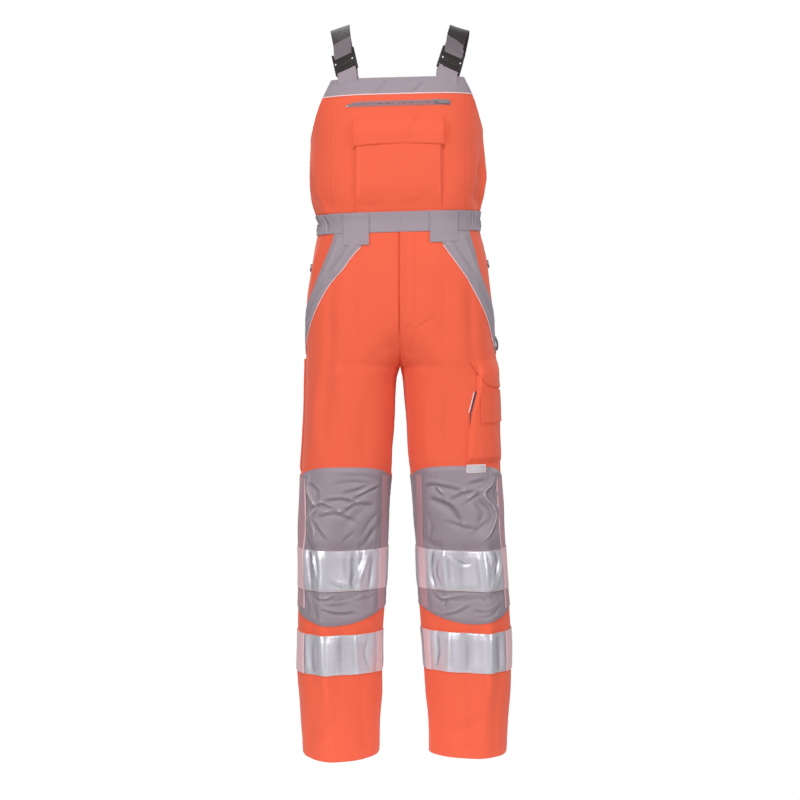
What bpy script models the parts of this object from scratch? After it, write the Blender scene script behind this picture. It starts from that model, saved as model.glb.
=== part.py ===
"""High-visibility bib overalls, filled out as if worn, with nobody inside.

Metres, +Z up, the front faces -Y and the wearer's left is +X. The origin is midway between the tops of the
two shoulders, where the braces rest. Tables are in millimetres.
"""

import itertools
import math
from collections import namedtuple

import bmesh
import bpy
import numpy as np
from mathutils import Matrix

MM = 0.001
SEAM_GAP = 0.3  # between sewn pieces, and between a piece and what it lies on
CLOTH = 1.6  # wall of the body cloth
RIGHT, LEFT = -1, 1

# ---------------------------------------------------------------- the body's level sections

# Half widths to each side, depths to the front and back, and how far from the middle the front and back
# crests lie. power is the squareness of the section's corners: 2 is an ellipse.
Section = namedtuple("Section", "z right left front back crest_right crest_left crest_back power")
SECTIONS = [
    Section(-60, 163, 152, 106, 92, 40, 40, 45, 2.4),
    Section(-110, 169, 157, 112, 98, 40, 40, 45, 2.4),
    Section(-160, 174, 162, 119, 103, 42, 42, 45, 2.4),
    Section(-230, 177, 165, 122, 106, 45, 45, 48, 2.4),
    Section(-300, 181, 167, 122, 105, 45, 45, 50, 2.4),
    Section(-345, 176, 164, 120, 101, 45, 45, 50, 2.4),
    Section(-375, 167, 158, 116, 98, 45, 45, 50, 2.4),
    Section(-395, 160, 156, 114, 97, 45, 45, 50, 2.4),
    Section(-418, 165, 160, 115, 101, 46, 46, 52, 2.4),
    Section(-445, 171, 167, 118, 109, 50, 50, 56, 2.35),
    Section(-490, 178, 176, 121, 124, 56, 56, 64, 2.3),
    Section(-560, 186, 184, 122, 141, 68, 68, 76, 2.3),
    Section(-630, 187, 188, 118, 146, 82, 84, 86, 2.3),
    Section(-680, 188, 194, 113, 140, 92, 96, 92, 2.3),
    Section(-740, 190, 196, 108, 126, 98, 104, 96, 2.3),
    Section(-810, 192, 198, 103, 110, 104, 111, 100, 2.3),
    Section(-900, 199, 202, 99, 90, 116, 124, 106, 2.2),
    Section(-960, 201, 206, 97, 79, 126, 138, 112, 2.1),
    Section(-1040, 203, 209, 91, 77, 142, 162, 118, 1.95),
    Section(-1100, 202, 214, 87, 80, 146, 170, 120, 1.9),
    Section(-1190, 205, 221, 83, 82, 145, 170, 122, 1.9),
    Section(-1290, 206, 224, 80, 80, 146, 171, 122, 1.9),
    Section(-1385, 200, 218, 78, 77, 140, 164, 120, 1.95),
    Section(-1454, 195, 214, 77, 76, 134, 156, 118, 2.0),
]

# Where each leg's inner side runs, and how high its front crease stands.
Leg = namedtuple("Leg", "z inner_right inner_left crease")
LEGS = [
    Leg(-678, 0.15, 0.15, 0),
    Leg(-706, 8, 6, 0),
    Leg(-754, 10, 10, 0),
    Leg(-802, 12, 14, 0),
    Leg(-850, 16, 16, 0),
    Leg(-899, 18, 22, 0.5),
    Leg(-947, 22, 26, 1.5),
    Leg(-1044, 26, 34, 4),
    Leg(-1141, 30, 38, 5),
    Leg(-1238, 36, 46, 5),
    Leg(-1336, 36, 52, 5),
    Leg(-1385, 40, 57, 4),
    Leg(-1454, 43, 59, 3),
]
CROTCH_Z, CROTCH_Y = -678, 10
RISE_START = {"front": -530, "back": -500}  # where the centre seam starts to turn under
RISE_POWER = {"front": 2.6, "back": 2.3}
CREASE_HALF_WIDTH = 26

# The garment hangs a little lower on the wearer's right: how much each metre of +X lifts it.
Lean = namedtuple("Lean", "z lift")
LEANS = [Lean(-60, 0.010), Lean(-115, 0.026), Lean(-420, 0.028), Lean(-600, 0), Lean(-1500, 0)]

# Heights of the rows of facets. A row lies at each seam and at the edges of the tapes.
YOKE_TOP, YOKE_SEAM, WAIST_TOP, WAIST_BOTTOM, HEM = -116, -148, -374.5, -414, -1454
BACK_YOKE_TOP, BACK_YOKE_SEAM = -132, -168
TAPE_UPPER, TAPE_LOWER = (-1038, -1119), (-1205, -1285)
LEVELS = [
    -90, YOKE_TOP, BACK_YOKE_TOP, YOKE_SEAM, BACK_YOKE_SEAM, -198, -238, -288, -335, WAIST_TOP, -394,
    WAIST_BOTTOM, -445, -480, -515, -552, -590, -625, -652, -667, CROTCH_Z, -700, -755, -815, -872, -908,
    -940, -972, -1004, TAPE_UPPER[0], TAPE_UPPER[1], -1162, TAPE_LOWER[0], TAPE_LOWER[1], -1342, -1398, HEM,
]  # fmt: skip
HEM_DIP = {RIGHT: 7, LEFT: 0}  # the hem breaks over the shoe in front
HEM_DIP_START = -1375

COLUMNS = 8  # from the centre or the inner seam to the side seam, in front and again behind
CREST_COLUMN = 5  # the column that runs down a leg's crease
CREST_FROM, CREST_TO = -860, -1000  # above these the columns are even


class Curve:
    """A smooth line through one column of a table, which never overshoots its rows."""

    def __init__(self, rows, column):
        rows = sorted(rows, key=lambda row: row.z)
        self.z = np.array([row.z for row in rows], float)
        self.value = np.array([getattr(row, column) for row in rows], float)
        rise = np.diff(self.value) / np.diff(self.z)
        self.slope = np.concatenate([rise[:1], np.zeros(len(rows) - 2), rise[-1:]])
        for i, (before, after) in enumerate(zip(rise[:-1], rise[1:]), 1):
            if before * after > 0:
                self.slope[i] = 2 * before * after / (before + after)

    def __call__(self, z):
        z = min(max(z, self.z[0]), self.z[-1])
        i = min(max(int(np.searchsorted(self.z, z)) - 1, 0), len(self.z) - 2)
        step = self.z[i + 1] - self.z[i]
        t = (z - self.z[i]) / step
        start, end = self.value[i : i + 2]
        leave, arrive = self.slope[i : i + 2] * step
        bend = (2 * t**3 - 3 * t**2 + 1) * start + (3 * t**2 - 2 * t**3) * end
        return bend + (t**3 - 2 * t**2 + t) * leave + (t**3 - t**2) * arrive


def columns_of(rows):
    return {name: Curve(rows, name) for name in rows[0]._fields if name != "z"}


BODY, INNER = columns_of(SECTIONS), columns_of(LEGS)
LIFT = Curve(LEANS, "lift")
SIDE_NAME = {RIGHT: "right", LEFT: "left"}
HALF_SIGN = {"front": -1, "back": 1}


def rise_fraction(half, z):
    """How far forward, or back, the centre seam still is: 1 above the rise, 0 at the crotch."""
    down = min(max((z - RISE_START[half]) / (CROTCH_Z - RISE_START[half]), 0), 1)
    return (1 - down ** RISE_POWER[half]) ** (1 / RISE_POWER[half])


def half_ring(side, half, z, samples=48):
    """Points x, y of a level section's front or back half, from the centre or inner seam to the side seam."""
    name, sign = SIDE_NAME[side], HALF_SIGN[half]
    power = BODY["power"](z)
    outer, depth = BODY[name](z), BODY[half](z)
    crest = BODY["crest_back"](z) if half == "back" else BODY["crest_" + name](z)
    middle_y = CROTCH_Y * min(max((z + 1000) / (CROTCH_Z + 1000), 0), 1)
    reach = sign * depth - middle_y
    if z >= CROTCH_Z:
        still = min(rise_fraction(half, z), 0.9999)
        inner = crest - crest / (1 - still**power) ** (1 / power)
        last = math.asin(min((crest / (crest - inner)) ** (power / 2), 1))
    else:
        inner, last = INNER["inner_" + name](z), math.pi / 2
    turn = np.linspace(last, 0, samples)
    x = crest - (crest - inner) * np.sin(turn) ** (2 / power)
    y = middle_y + reach * np.cos(turn) ** (2 / power)
    turn = np.linspace(0, math.pi / 2, samples)[1:]
    x = np.append(x, crest + (outer - crest) * np.sin(turn) ** (2 / power))
    y = np.append(y, middle_y + reach * np.maximum(np.cos(turn), 0) ** (2 / power))
    fold = np.maximum(0, 1 - np.abs(x - crest) / CREASE_HALF_WIDTH)
    y += sign * INNER["crease"](z) * fold * (1.0 if half == "front" else 0.6)
    return np.column_stack([side * x, y]), crest


RINGS = {}


def ring(side, half, z):
    key = (side, half, round(z, 4))
    if key not in RINGS:
        points, crest = half_ring(side, half, z)
        along = np.append(0, np.cumsum(np.linalg.norm(np.diff(points, axis=0), axis=1)))
        at_crest = along[np.abs(np.abs(points[:, 0]) - crest).argmin()] / along[-1]
        RINGS[key] = points, along / along[-1], at_crest
    return RINGS[key]


def on_body(side, u, z):
    """The smooth body at column u, from 0 at the front centre or inner seam over COLUMNS at the side seam."""
    half = "front" if u <= COLUMNS else "back"
    if half == "back":
        u = 2 * COLUMNS - u
    points, along, at_crest = ring(side, half, z)
    tied = min(max((z - CREST_FROM) / (CREST_TO - CREST_FROM), 0), 1)
    even = CREST_COLUMN / COLUMNS
    bend = even + tied * (at_crest - even)
    share = np.interp(u / COLUMNS, [0, even, 1], [0, bend, 1])
    x, y = (np.interp(share, along, points[:, i]) for i in (0, 1))
    dip = min(max((z - HEM_DIP_START) / (HEM - HEM_DIP_START), 0), 1) * HEM_DIP[side]
    forward = max(0, -y / BODY["front"](z))
    return np.array([x, y, z + LIFT(z) * x - dip * forward])


def body_normal(side, u, z):
    """Straight out of the smooth body."""
    low, high = max(u - 0.2, 0.02), min(u + 0.2, 2 * COLUMNS - 0.02)
    across = on_body(side, high, z) - on_body(side, low, z)
    if z < CROTCH_Z and not 0.2 <= u <= 2 * COLUMNS - 0.2:
        across = on_body(side, 0.2, z) - on_body(side, 2 * COLUMNS - 0.2, z)
    down = on_body(side, u, z - 4) - on_body(side, u, z + 4)
    out = np.cross(across, down) * -side
    return out / np.linalg.norm(out)


# ---------------------------------------------------------------- large folds of the cloth

# A fold's middle lies `aside` from the side seam round the body (positive in front) at height z. It runs
# `long` to each side along `turn` degrees from level, is `wide` to each side, and stands `out` or sinks in.
Fold = namedtuple("Fold", "side aside z long wide turn out")
FOLDS = [
    Fold(RIGHT, 238, -648, 46, 15, 34, -5),
    Fold(LEFT, 236, -652, 44, 15, 36, -5),
    Fold(RIGHT, 250, -612, 30, 12, 58, 3),
    Fold(LEFT, 205, -588, 38, 13, 40, -4),
    Fold(RIGHT, 60, -470, 50, 18, 78, 3),
    Fold(LEFT, 55, -300, 60, 14, 84, -5),
    Fold(LEFT, 28, -310, 70, 16, 86, 5),
    Fold(RIGHT, 40, -330, 40, 16, 70, -4),
    Fold(LEFT, 70, -350, 45, 14, 12, -4),
    Fold(RIGHT, 95, -352, 40, 14, -14, -3),
    Fold(RIGHT, -70, -330, 60, 18, 20, -5),
    Fold(LEFT, -82, -338, 55, 18, -16, -5),
    Fold(RIGHT, -150, -300, 50, 20, 64, 5),
    Fold(LEFT, -140, -290, 60, 20, -70, 5),
    Fold(RIGHT, -120, -650, 70, 18, -28, -6),
    Fold(LEFT, -115, -660, 74, 18, 26, -6),
    Fold(RIGHT, -140, -700, 60, 16, -20, 5),
    Fold(LEFT, -150, -712, 60, 17, 22, 5),
    Fold(RIGHT, -100, -905, 70, 15, 12, -5),
    Fold(LEFT, -110, -915, 66, 15, -10, -5),
    Fold(RIGHT, -120, -1175, 60, 16, -14, -4),
    Fold(LEFT, -110, -1168, 60, 16, 12, -4),
    Fold(RIGHT, 80, -1400, 55, 15, 24, -5),
    Fold(LEFT, 150, -1390, 50, 15, -20, -4),
    Fold(RIGHT, -90, -1405, 50, 16, -18, 5),
    Fold(LEFT, -95, -1398, 55, 16, 16, 5),
]


def fold_height(side, aside, z):
    """How far the folds move the cloth out at a place."""
    height = 0
    for fold in FOLDS:
        if fold.side != side:
            continue
        east, north = aside - fold.aside, z - fold.z
        turn = math.radians(fold.turn)
        along = east * math.cos(turn) + north * math.sin(turn)
        across = north * math.cos(turn) - east * math.sin(turn)
        height += fold.out * math.exp(-((along / fold.long) ** 2) - (across / fold.wide) ** 2)
    return height


def make_skin(side):
    """The body as a grid of facets: points and outward directions, a row for each level."""
    columns = range(2 * COLUMNS + 1)
    points = np.array([[on_body(side, u, z) for u in columns] for z in LEVELS])
    normals = np.array([[body_normal(side, u, z) for u in columns] for z in LEVELS])
    steps = np.linalg.norm(np.diff(points, axis=1), axis=2)
    around = np.concatenate([np.zeros((len(LEVELS), 1)), np.cumsum(steps, axis=1)], axis=1)
    aside = around[:, COLUMNS : COLUMNS + 1] - around
    for row, z in enumerate(LEVELS):
        for u in columns[1:-1]:
            points[row, u] += normals[row, u] * fold_height(side, aside[row, u], z)
    return points, normals


SKIN = {side: make_skin(side) for side in (RIGHT, LEFT)}


def locate(u):
    """Side and column of a place across both halves: below 0 or past the back centre is the right side."""
    if u < 0:
        return RIGHT, -u
    if u > 2 * COLUMNS:
        return RIGHT, 4 * COLUMNS - u
    return LEFT, u


def skin(u, v, side=None):
    """Point and outward direction on the facets at column u and row v."""
    if side is None:
        side, u = locate(u)
    column, row = min(int(u), 2 * COLUMNS - 1), min(int(v), len(LEVELS) - 2)
    right, down = u - column, v - row
    middle = (row, column + 1) if right >= down else (row + 1, column)
    first, last = (row, column), (row + 1, column + 1)
    share = {first: 1 - max(right, down), middle: abs(right - down), last: min(right, down)}
    points, normals = SKIN[side]
    point = sum(weight * points[corner] for corner, weight in share.items())
    out = sum(weight * normals[corner] for corner, weight in share.items())
    return point, out / np.linalg.norm(out)


def row_at(z):
    return float(np.interp(-z, [-level for level in LEVELS], range(len(LEVELS))))


def height_at(v):
    return float(np.interp(v, range(len(LEVELS)), LEVELS))


def level_points(side, z):
    return np.array([skin(u, row_at(z), side)[0] for u in range(2 * COLUMNS + 1)])


def column_aside(side, aside, z):
    """The column that lies this far from the side seam round the body, positive in front."""
    points = level_points(side, z)
    around = np.append(0, np.cumsum(np.linalg.norm(np.diff(points, axis=0), axis=1)))
    return float(np.interp(around[COLUMNS] - aside, around, range(2 * COLUMNS + 1)))


def column_across(side, x, z, front=True):
    """The column, in front or behind, that lies at this distance from the middle."""
    across = np.abs(level_points(side, z)[:, 0])
    across = across[: COLUMNS + 1] if front else across[COLUMNS:][::-1]
    u = float(np.interp(abs(x), np.maximum.accumulate(across), range(COLUMNS + 1)))
    return u if front else 2 * COLUMNS - u


def aside_of(side, u, v):
    """How far a place is from the side seam round the body, positive in front."""
    points = level_points(side, height_at(v))
    around = np.append(0, np.cumsum(np.linalg.norm(np.diff(points, axis=0), axis=1)))
    return float(around[COLUMNS] - np.interp(u, range(2 * COLUMNS + 1), around))


# ---------------------------------------------------------------- objects and materials

Finish = namedtuple("Finish", "red green blue roughness metallic")
FINISHES = {
    "orange_cloth": Finish(0.93, 0.14, 0.065, 0.75, 0),
    "grey_cloth": Finish(0.35, 0.30, 0.34, 0.75, 0),
    "webbing": Finish(0.25, 0.23, 0.25, 0.7, 0),
    "elastic": Finish(0.11, 0.09, 0.095, 0.8, 0),
    "reflective_tape": Finish(0.60, 0.59, 0.63, 0.35, 0),
    "piping": Finish(0.90, 0.66, 0.62, 0.5, 0),
    "black_plastic": Finish(0.03, 0.027, 0.027, 0.4, 0),
    "metal": Finish(0.45, 0.42, 0.44, 0.35, 1),
    "zip_tape": Finish(0.36, 0.28, 0.32, 0.8, 0),
}


def clear_scene():
    for old in list(bpy.data.objects):
        bpy.data.objects.remove(old)


def finish(name):
    found = bpy.data.materials.get(name)
    if found:
        return found
    look = FINISHES[name]
    made = bpy.data.materials.new(name)
    made.use_nodes = True
    shader = made.node_tree.nodes["Principled BSDF"]
    shader.inputs["Base Color"].default_value = (look.red, look.green, look.blue, 1)
    shader.inputs["Roughness"].default_value = look.roughness
    shader.inputs["Metallic"].default_value = look.metallic
    return made


def add_piece(name, finish_name, mesh, sharp=40):
    """Turns a bmesh in metres into the scene's object of this name."""
    bmesh.ops.recalc_face_normals(mesh, faces=mesh.faces)
    data = bpy.data.meshes.new(name)
    mesh.to_mesh(data)
    mesh.free()
    data.materials.append(finish(finish_name))
    data.shade_smooth()
    data.set_sharp_from_angle(angle=math.radians(sharp))
    piece = bpy.data.objects.new(name, data)
    bpy.context.scene.collection.objects.link(piece)
    return piece


# ---------------------------------------------------------------- walls of cloth cut from the skin


def cut_cloth(outline, side, finer, more):
    """The outline, in columns and rows, cut along every edge between the facets below it.

    finer splits each column and row into more, and each of more is an extra line, as (axis, place).
    """
    mesh = bmesh.new()
    mesh.faces.new([mesh.verts.new((u, v, 0)) for u, v in outline])
    low_u, high_u = min(u for u, v in outline), max(u for u, v in outline)
    low_v, high_v = min(v for u, v in outline), max(v for u, v in outline)

    def cut(place, across, faces):
        near = {part for face in faces for part in (*face.verts, *face.edges, face)}
        bmesh.ops.bisect_plane(mesh, geom=list(near), dist=1e-4, plane_co=(*place, 0), plane_no=(*across, 0))

    def lines(low, high, parts):
        return [i / parts for i in range(math.floor(low * parts) + 1, math.ceil(high * parts))]

    for u in lines(low_u, high_u, finer[0]):
        cut((u, 0), (1, 0), mesh.faces)
    for v in lines(low_v, high_v, finer[1]):
        cut((0, v), (0, 1), mesh.faces)
    for axis, place in more:
        cut((place, place), (1 - axis, axis), mesh.faces)
    zones = [(0, 0, 1)] if side else [(-2 * COLUMNS, 0, -1), (0, 0, 1), (2 * COLUMNS, 4 * COLUMNS, -1)]
    for start, zero, way in zones:
        end = start + 2 * COLUMNS
        inside = [face for face in mesh.faces if start < face.calc_center_median().x < end]
        ends = [way * (vert.co.x - zero) - vert.co.y for face in inside for vert in face.verts]
        for step in lines(min(ends), max(ends), 1) if ends else ():
            faces = [face for face in mesh.faces if start < face.calc_center_median().x < end]
            cut((zero + way * step, 0), (way, -1), faces)
    bmesh.ops.triangulate(mesh, faces=mesh.faces)
    places = [tuple(vert.co[:2]) for vert in mesh.verts]
    mesh.verts.index_update()
    faces = [[vert.index for vert in face.verts] for face in mesh.faces]
    rim = [[vert.index for vert in edge.verts] for edge in mesh.edges if len(edge.link_faces) == 1]
    mesh.free()
    return places, faces, rim


def seam_shift(u, v, side, seams):
    """Moves a place on a seam half a gap into its piece. seams has (axis, line, way) for each."""
    for axis, line, way in seams:
        if abs((u, v)[axis] - line) > 1e-4:
            continue
        step = (0.1 * way, 0) if axis == 0 else (0, 0.1 * way)
        width = np.linalg.norm(skin(u + step[0], v + step[1], side)[0] - skin(u, v, side)[0]) / 0.1
        u, v = u + way * (axis == 0) * SEAM_GAP / 2 / width, v + way * (axis == 1) * SEAM_GAP / 2 / width
    return u, v


def wall(name, finish_name, outline, inner, outer, side=None, finer=(1, 1), seams=(), more=()):
    """A wall of cloth over the outline, between two heights above the skin, as numbers or functions."""
    places, faces, rim = cut_cloth(outline, side, finer, more)
    mesh = bmesh.new()
    layers = []
    for height in (inner, outer):
        layer = []
        for u, v in places:
            u, v = seam_shift(u, v, side, seams)
            point, out = skin(u, v, side)
            point = point + out * (height(u, v) if callable(height) else height)
            if side:
                point[0] = side * max(side * point[0], SEAM_GAP / 2)
            layer.append(mesh.verts.new(point * MM))
        layers.append(layer)
    below, above = layers
    for a, b, c in faces:
        mesh.faces.new((below[a], below[b], below[c]))
        mesh.faces.new((above[c], above[b], above[a]))
    for a, b in rim:
        mesh.faces.new((below[a], below[b], above[b], above[a]))
    bmesh.ops.triangulate(mesh, faces=mesh.faces)
    return add_piece(name, finish_name, mesh)


def steps(start, end, longest):
    """Points from start up to but not at end, none further apart than longest."""
    start, end = np.array(start, float), np.array(end, float)
    count = max(1, math.ceil(np.linalg.norm(end - start) / longest))
    return [tuple(start + (end - start) * i / count) for i in range(count)]


def path_points(points, longest=30, closed=True):
    ends = points[1:] + points[:1] if closed else points[1:]
    found = [place for start, end in zip(points, ends) for place in steps(start, end, longest)]
    return found if closed else found + [tuple(points[-1])]


def round_side(side, points, closed=True):
    """Places in columns and rows from points given as distance in front of the side seam, and height."""
    return [(column_aside(side, aside, z), row_at(z)) for aside, z in path_points(points, closed=closed)]


def across_front(points, side=None, closed=True):
    """Places in columns and rows from points given as x and height, on the front."""
    places = []
    for x, z in path_points(points, closed=closed):
        way = side or (LEFT if x >= 0 else RIGHT)
        u = column_across(way, x, z)
        places.append((u if side else way * u, row_at(z)))
    return places


def strip_beside(places, side, width, start=0):
    """A strip of this width along places, on the side of them that lies towards the middle."""
    near, far = [], []
    for u, v in places:
        step = np.linalg.norm(skin(u, v, side)[0] - skin(u - 0.1, v, side)[0]) / 0.1
        near.append((u - start / step, v))
        far.append((u - (start + width) / step, v))
    return near + far[::-1]


def smooth(t):
    t = min(max(t, 0), 1)
    return t * t * (3 - 2 * t)


# ---------------------------------------------------------------- legs and fly

ON_CLOTH = SEAM_GAP  # height above the body cloth of a piece that lies on it
PATCH = 1.2  # wall of a pocket, patch or facing
TOP_ROW, HEM_ROW = row_at(WAIST_BOTTOM), len(LEVELS) - 1
FLY_WIDTH, FLY_END = 34, -604


def legs():
    for side in (RIGHT, LEFT):
        for half, start in (("front", 0), ("back", COLUMNS)):
            end = start + COLUMNS
            outline = [(start, TOP_ROW), (end, TOP_ROW), (end, HEM_ROW), (start, HEM_ROW)]
            seams = [(0, start, 1), (0, end, -1), (1, TOP_ROW, 1)]
            wall(f"{half}_leg_{SIDE_NAME[side]}", "orange_cloth", outline, -CLOTH, 0, side, seams=seams)


def fly():
    """The lap over the front closing: straight down the middle, with a round lower end."""
    curve = [
        (FLY_WIDTH * math.cos(math.radians(turn)), FLY_END + FLY_WIDTH * (1 - math.sin(math.radians(turn))))
        for turn in range(0, 91, 15)
    ]
    top = WAIST_BOTTOM - 2 * SEAM_GAP
    points = [(SEAM_GAP, top), (FLY_WIDTH, top), *curve[:-1], (SEAM_GAP, FLY_END)]
    wall("fly", "orange_cloth", across_front(points, LEFT), ON_CLOTH, ON_CLOTH + PATCH, LEFT)


# ---------------------------------------------------------------- waistband

BAND = 1.5
BAND_PROUD = 0.8
BAND_FRONT = {RIGHT: 113, LEFT: 115}  # from the middle to where the gathered stretch starts
GATHER_HEIGHT, GATHER_LINES = 1.9, 4  # how far each small fold stands out, and fold edges to a column
LOOP = namedtuple("Loop", "inner outer top bottom")
LOOPS = {RIGHT: LOOP(60, 109.5, -376.5, -438), LEFT: LOOP(58, 111.5, -377.5, -436)}
LOOP_OVER = BAND_PROUD + 1.3


def gathers(u, v, side=None):
    """The small folds that the elastic draws up: none where the band starts or under the side button."""
    if side is None:
        side, u = locate(u)
    edge = abs(u * GATHER_LINES / 2 % 1 - 0.5) * 2
    uneven = 0.75 + 0.25 * math.sin(u * 5.3 + v)
    start = column_across(side, BAND_FRONT[side], height_at(v))
    return GATHER_HEIGHT * edge * uneven * smooth((u - start) / 0.8) * smooth((abs(u - COLUMNS) - 0.4) / 0.3)


def band_wave(side):
    return lambda u, v: gathers(u, v, side)


def raised(wave, height):
    return lambda u, v: wave(u, v) + height


def waistband():
    top, bottom = row_at(WAIST_TOP), TOP_ROW
    seams = [(1, top, 1), (1, bottom, -1)]
    half = SEAM_GAP / 2
    right, left = -BAND_FRONT[RIGHT] + half, BAND_FRONT[LEFT] - half
    corners = [(right, WAIST_TOP), (left, WAIST_TOP), (left, WAIST_BOTTOM), (right, WAIST_BOTTOM)]
    heights = BAND_PROUD - BAND, BAND_PROUD
    wall("waistband_front", "grey_cloth", across_front(corners), *heights, seams=seams)
    for side in (RIGHT, LEFT):
        inner = BAND_FRONT[side] + half
        places = across_front([(inner, WAIST_BOTTOM), (inner, WAIST_TOP)], side, closed=False)
        outline = [*places, (COLUMNS, top), (COLUMNS, bottom)]
        wave = band_wave(side)
        levels = raised(wave, heights[0]), raised(wave, heights[1])
        name = f"waistband_side_{SIDE_NAME[side]}"
        wall(name, "grey_cloth", outline, *levels, side, (GATHER_LINES, 1), [*seams, (0, COLUMNS, -1)])
    outline = [(COLUMNS, top), (3 * COLUMNS, top), (3 * COLUMNS, bottom), (COLUMNS, bottom)]
    levels = raised(gathers, heights[0]), raised(gathers, heights[1])
    ends = [(0, COLUMNS, 1), (0, 3 * COLUMNS, -1)]
    wall("waistband_back", "grey_cloth", outline, *levels, None, (GATHER_LINES, 1), [*seams, *ends])


def belt_loops():
    for side, loop in LOOPS.items():
        corners = [(loop.inner, loop.top), (loop.outer, loop.top)]
        corners += [(loop.outer, loop.bottom), (loop.inner, loop.bottom)]
        outline = across_front(corners, side)
        wall(f"belt_loop_{SIDE_NAME[side]}", "grey_cloth", outline, LOOP_OVER, LOOP_OVER + PATCH, side)


# ---------------------------------------------------------------- bib and back

ARMHOLE_LOW, ARMHOLE_SPREAD = -222, 105  # the armhole is a parabola round the side
BIB_SEAM = {RIGHT: 135.7, LEFT: 127.2}


def armhole(aside):
    return ARMHOLE_LOW + aside**2 / ARMHOLE_SPREAD


def armhole_aside(z):
    return math.sqrt((z - ARMHOLE_LOW) * ARMHOLE_SPREAD)


def armhole_points(top, way):
    """Points down the armhole's edge from this height to the side seam."""
    widest = armhole_aside(top)
    return [(way * widest * (1 - i / 8), armhole(widest * (1 - i / 8))) for i in range(8)]


def bib():
    half = SEAM_GAP / 2
    right, left = -BIB_SEAM[RIGHT] + half, BIB_SEAM[LEFT] - half
    top, bottom = row_at(YOKE_SEAM), row_at(WAIST_TOP)
    corners = [(right, YOKE_SEAM), (left, YOKE_SEAM), (left, WAIST_TOP), (right, WAIST_TOP)]
    wall("bib_front", "orange_cloth", across_front(corners), -CLOTH, 0, seams=[(1, top, 1), (1, bottom, -1)])
    for side in (RIGHT, LEFT):
        seam = BIB_SEAM[side] + half
        inner = across_front([(seam, WAIST_TOP), (seam, YOKE_SEAM)], side, closed=False)
        edge = round_side(side, armhole_points(YOKE_SEAM, 1), closed=False)
        outline = [*inner, *edge, (COLUMNS, row_at(ARMHOLE_LOW)), (COLUMNS, bottom)]
        seams = [(1, top, 1), (1, bottom, -1), (0, COLUMNS, -1)]
        wall(f"bib_side_{SIDE_NAME[side]}", "orange_cloth", outline, -CLOTH, 0, side, seams=seams)


def band_between(name, low, high, way):
    """A grey band across the top of the bib or the back, with both armholes' edges as its ends."""
    edge = {}
    for side in (RIGHT, LEFT):
        edge[side] = []
        for i in range(4):
            z = low + (high - low) * i / 3
            edge[side].append((column_aside(side, way * armhole_aside(z), z), row_at(z)))
    if way > 0:
        right = [(-u, v) for u, v in edge[RIGHT]]
    else:
        right = [(4 * COLUMNS - u, v) for u, v in edge[RIGHT]]
    wall(name, "grey_cloth", right + edge[LEFT][::-1], -CLOTH, 0, seams=[(1, row_at(low), -1)])


def back():
    bottom = row_at(WAIST_TOP)
    left = round_side(LEFT, armhole_points(BACK_YOKE_SEAM, -1), closed=False)
    right = round_side(RIGHT, armhole_points(BACK_YOKE_SEAM, -1), closed=False)
    right = [(4 * COLUMNS - u, v) for u, v in right]
    low = row_at(ARMHOLE_LOW)
    outline = [*left[::-1], *right, (3 * COLUMNS, low), (3 * COLUMNS, bottom), (COLUMNS, bottom)]
    outline.append((COLUMNS, low))
    seams = [(1, row_at(BACK_YOKE_SEAM), 1), (1, bottom, -1), (0, COLUMNS, 1), (0, 3 * COLUMNS, -1)]
    wall("back_bib", "orange_cloth", outline, -CLOTH, 0, seams=seams)
    band_between("back_yoke", BACK_YOKE_SEAM, BACK_YOKE_TOP, -1)


PIPING_WIDTH, PIPING_HEIGHT = 3, 1.3


def yoke():
    band_between("bib_yoke", YOKE_SEAM, YOKE_TOP, 1)
    ends = {side: column_aside(side, armhole_aside(YOKE_SEAM), YOKE_SEAM) for side in (RIGHT, LEFT)}
    top, bottom = row_at(YOKE_SEAM + PIPING_WIDTH / 2), row_at(YOKE_SEAM - PIPING_WIDTH / 2)
    outline = [(-ends[RIGHT], top), (ends[LEFT], top), (ends[LEFT], bottom), (-ends[RIGHT], bottom)]
    wall("yoke_piping", "piping", outline, ON_CLOTH, ON_CLOTH + PIPING_HEIGHT)


# ---------------------------------------------------------------- chest pocket and its flap

CHEST = namedtuple("Chest", "right left top bottom")
POCKET = CHEST(-87.5, 81.5, -206, WAIST_TOP + 0.6)
FLAP = CHEST(-89.5, 83.5, -190, -248)
FLAP_ARCH = 4  # its lower edge is drawn up in the middle
BELLOWS, BELLOWS_RAMP = 7, 12
FLAP_BEND = 15.5  # below its seam the flap bends out over the pocket


def chest_rise(u, v):
    """How far the bellows stand off the bib: full in the middle, down to nothing at the sewn edges."""
    x = skin(u, v)[0][0]
    z = height_at(v)
    edge = min(x - POCKET.right, POCKET.left - x, z - POCKET.bottom)
    return ON_CLOTH + BELLOWS * smooth(edge / BELLOWS_RAMP)


def chest_lines():
    """Extra cut lines that the pocket and its flap share, where the bellows and the flap bend."""
    box = POCKET
    heights = box.bottom + BELLOWS_RAMP, box.top, FLAP.top - FLAP_BEND / 2
    lines = [(1, row_at(z)) for z in heights]
    for side, x in ((RIGHT, box.right), (LEFT, box.left)):
        lines.append((0, side * column_across(side, abs(x) - BELLOWS_RAMP, box.top)))
    return lines


def chest_pocket():
    box = POCKET
    corners = [(box.right, box.top), (box.left, box.top), (box.left, box.bottom), (box.right, box.bottom)]
    levels = chest_rise, lambda u, v: chest_rise(u, v) + PATCH
    wall("chest_pocket", "orange_cloth", across_front(corners), *levels, finer=(2, 1), more=chest_lines())


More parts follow.
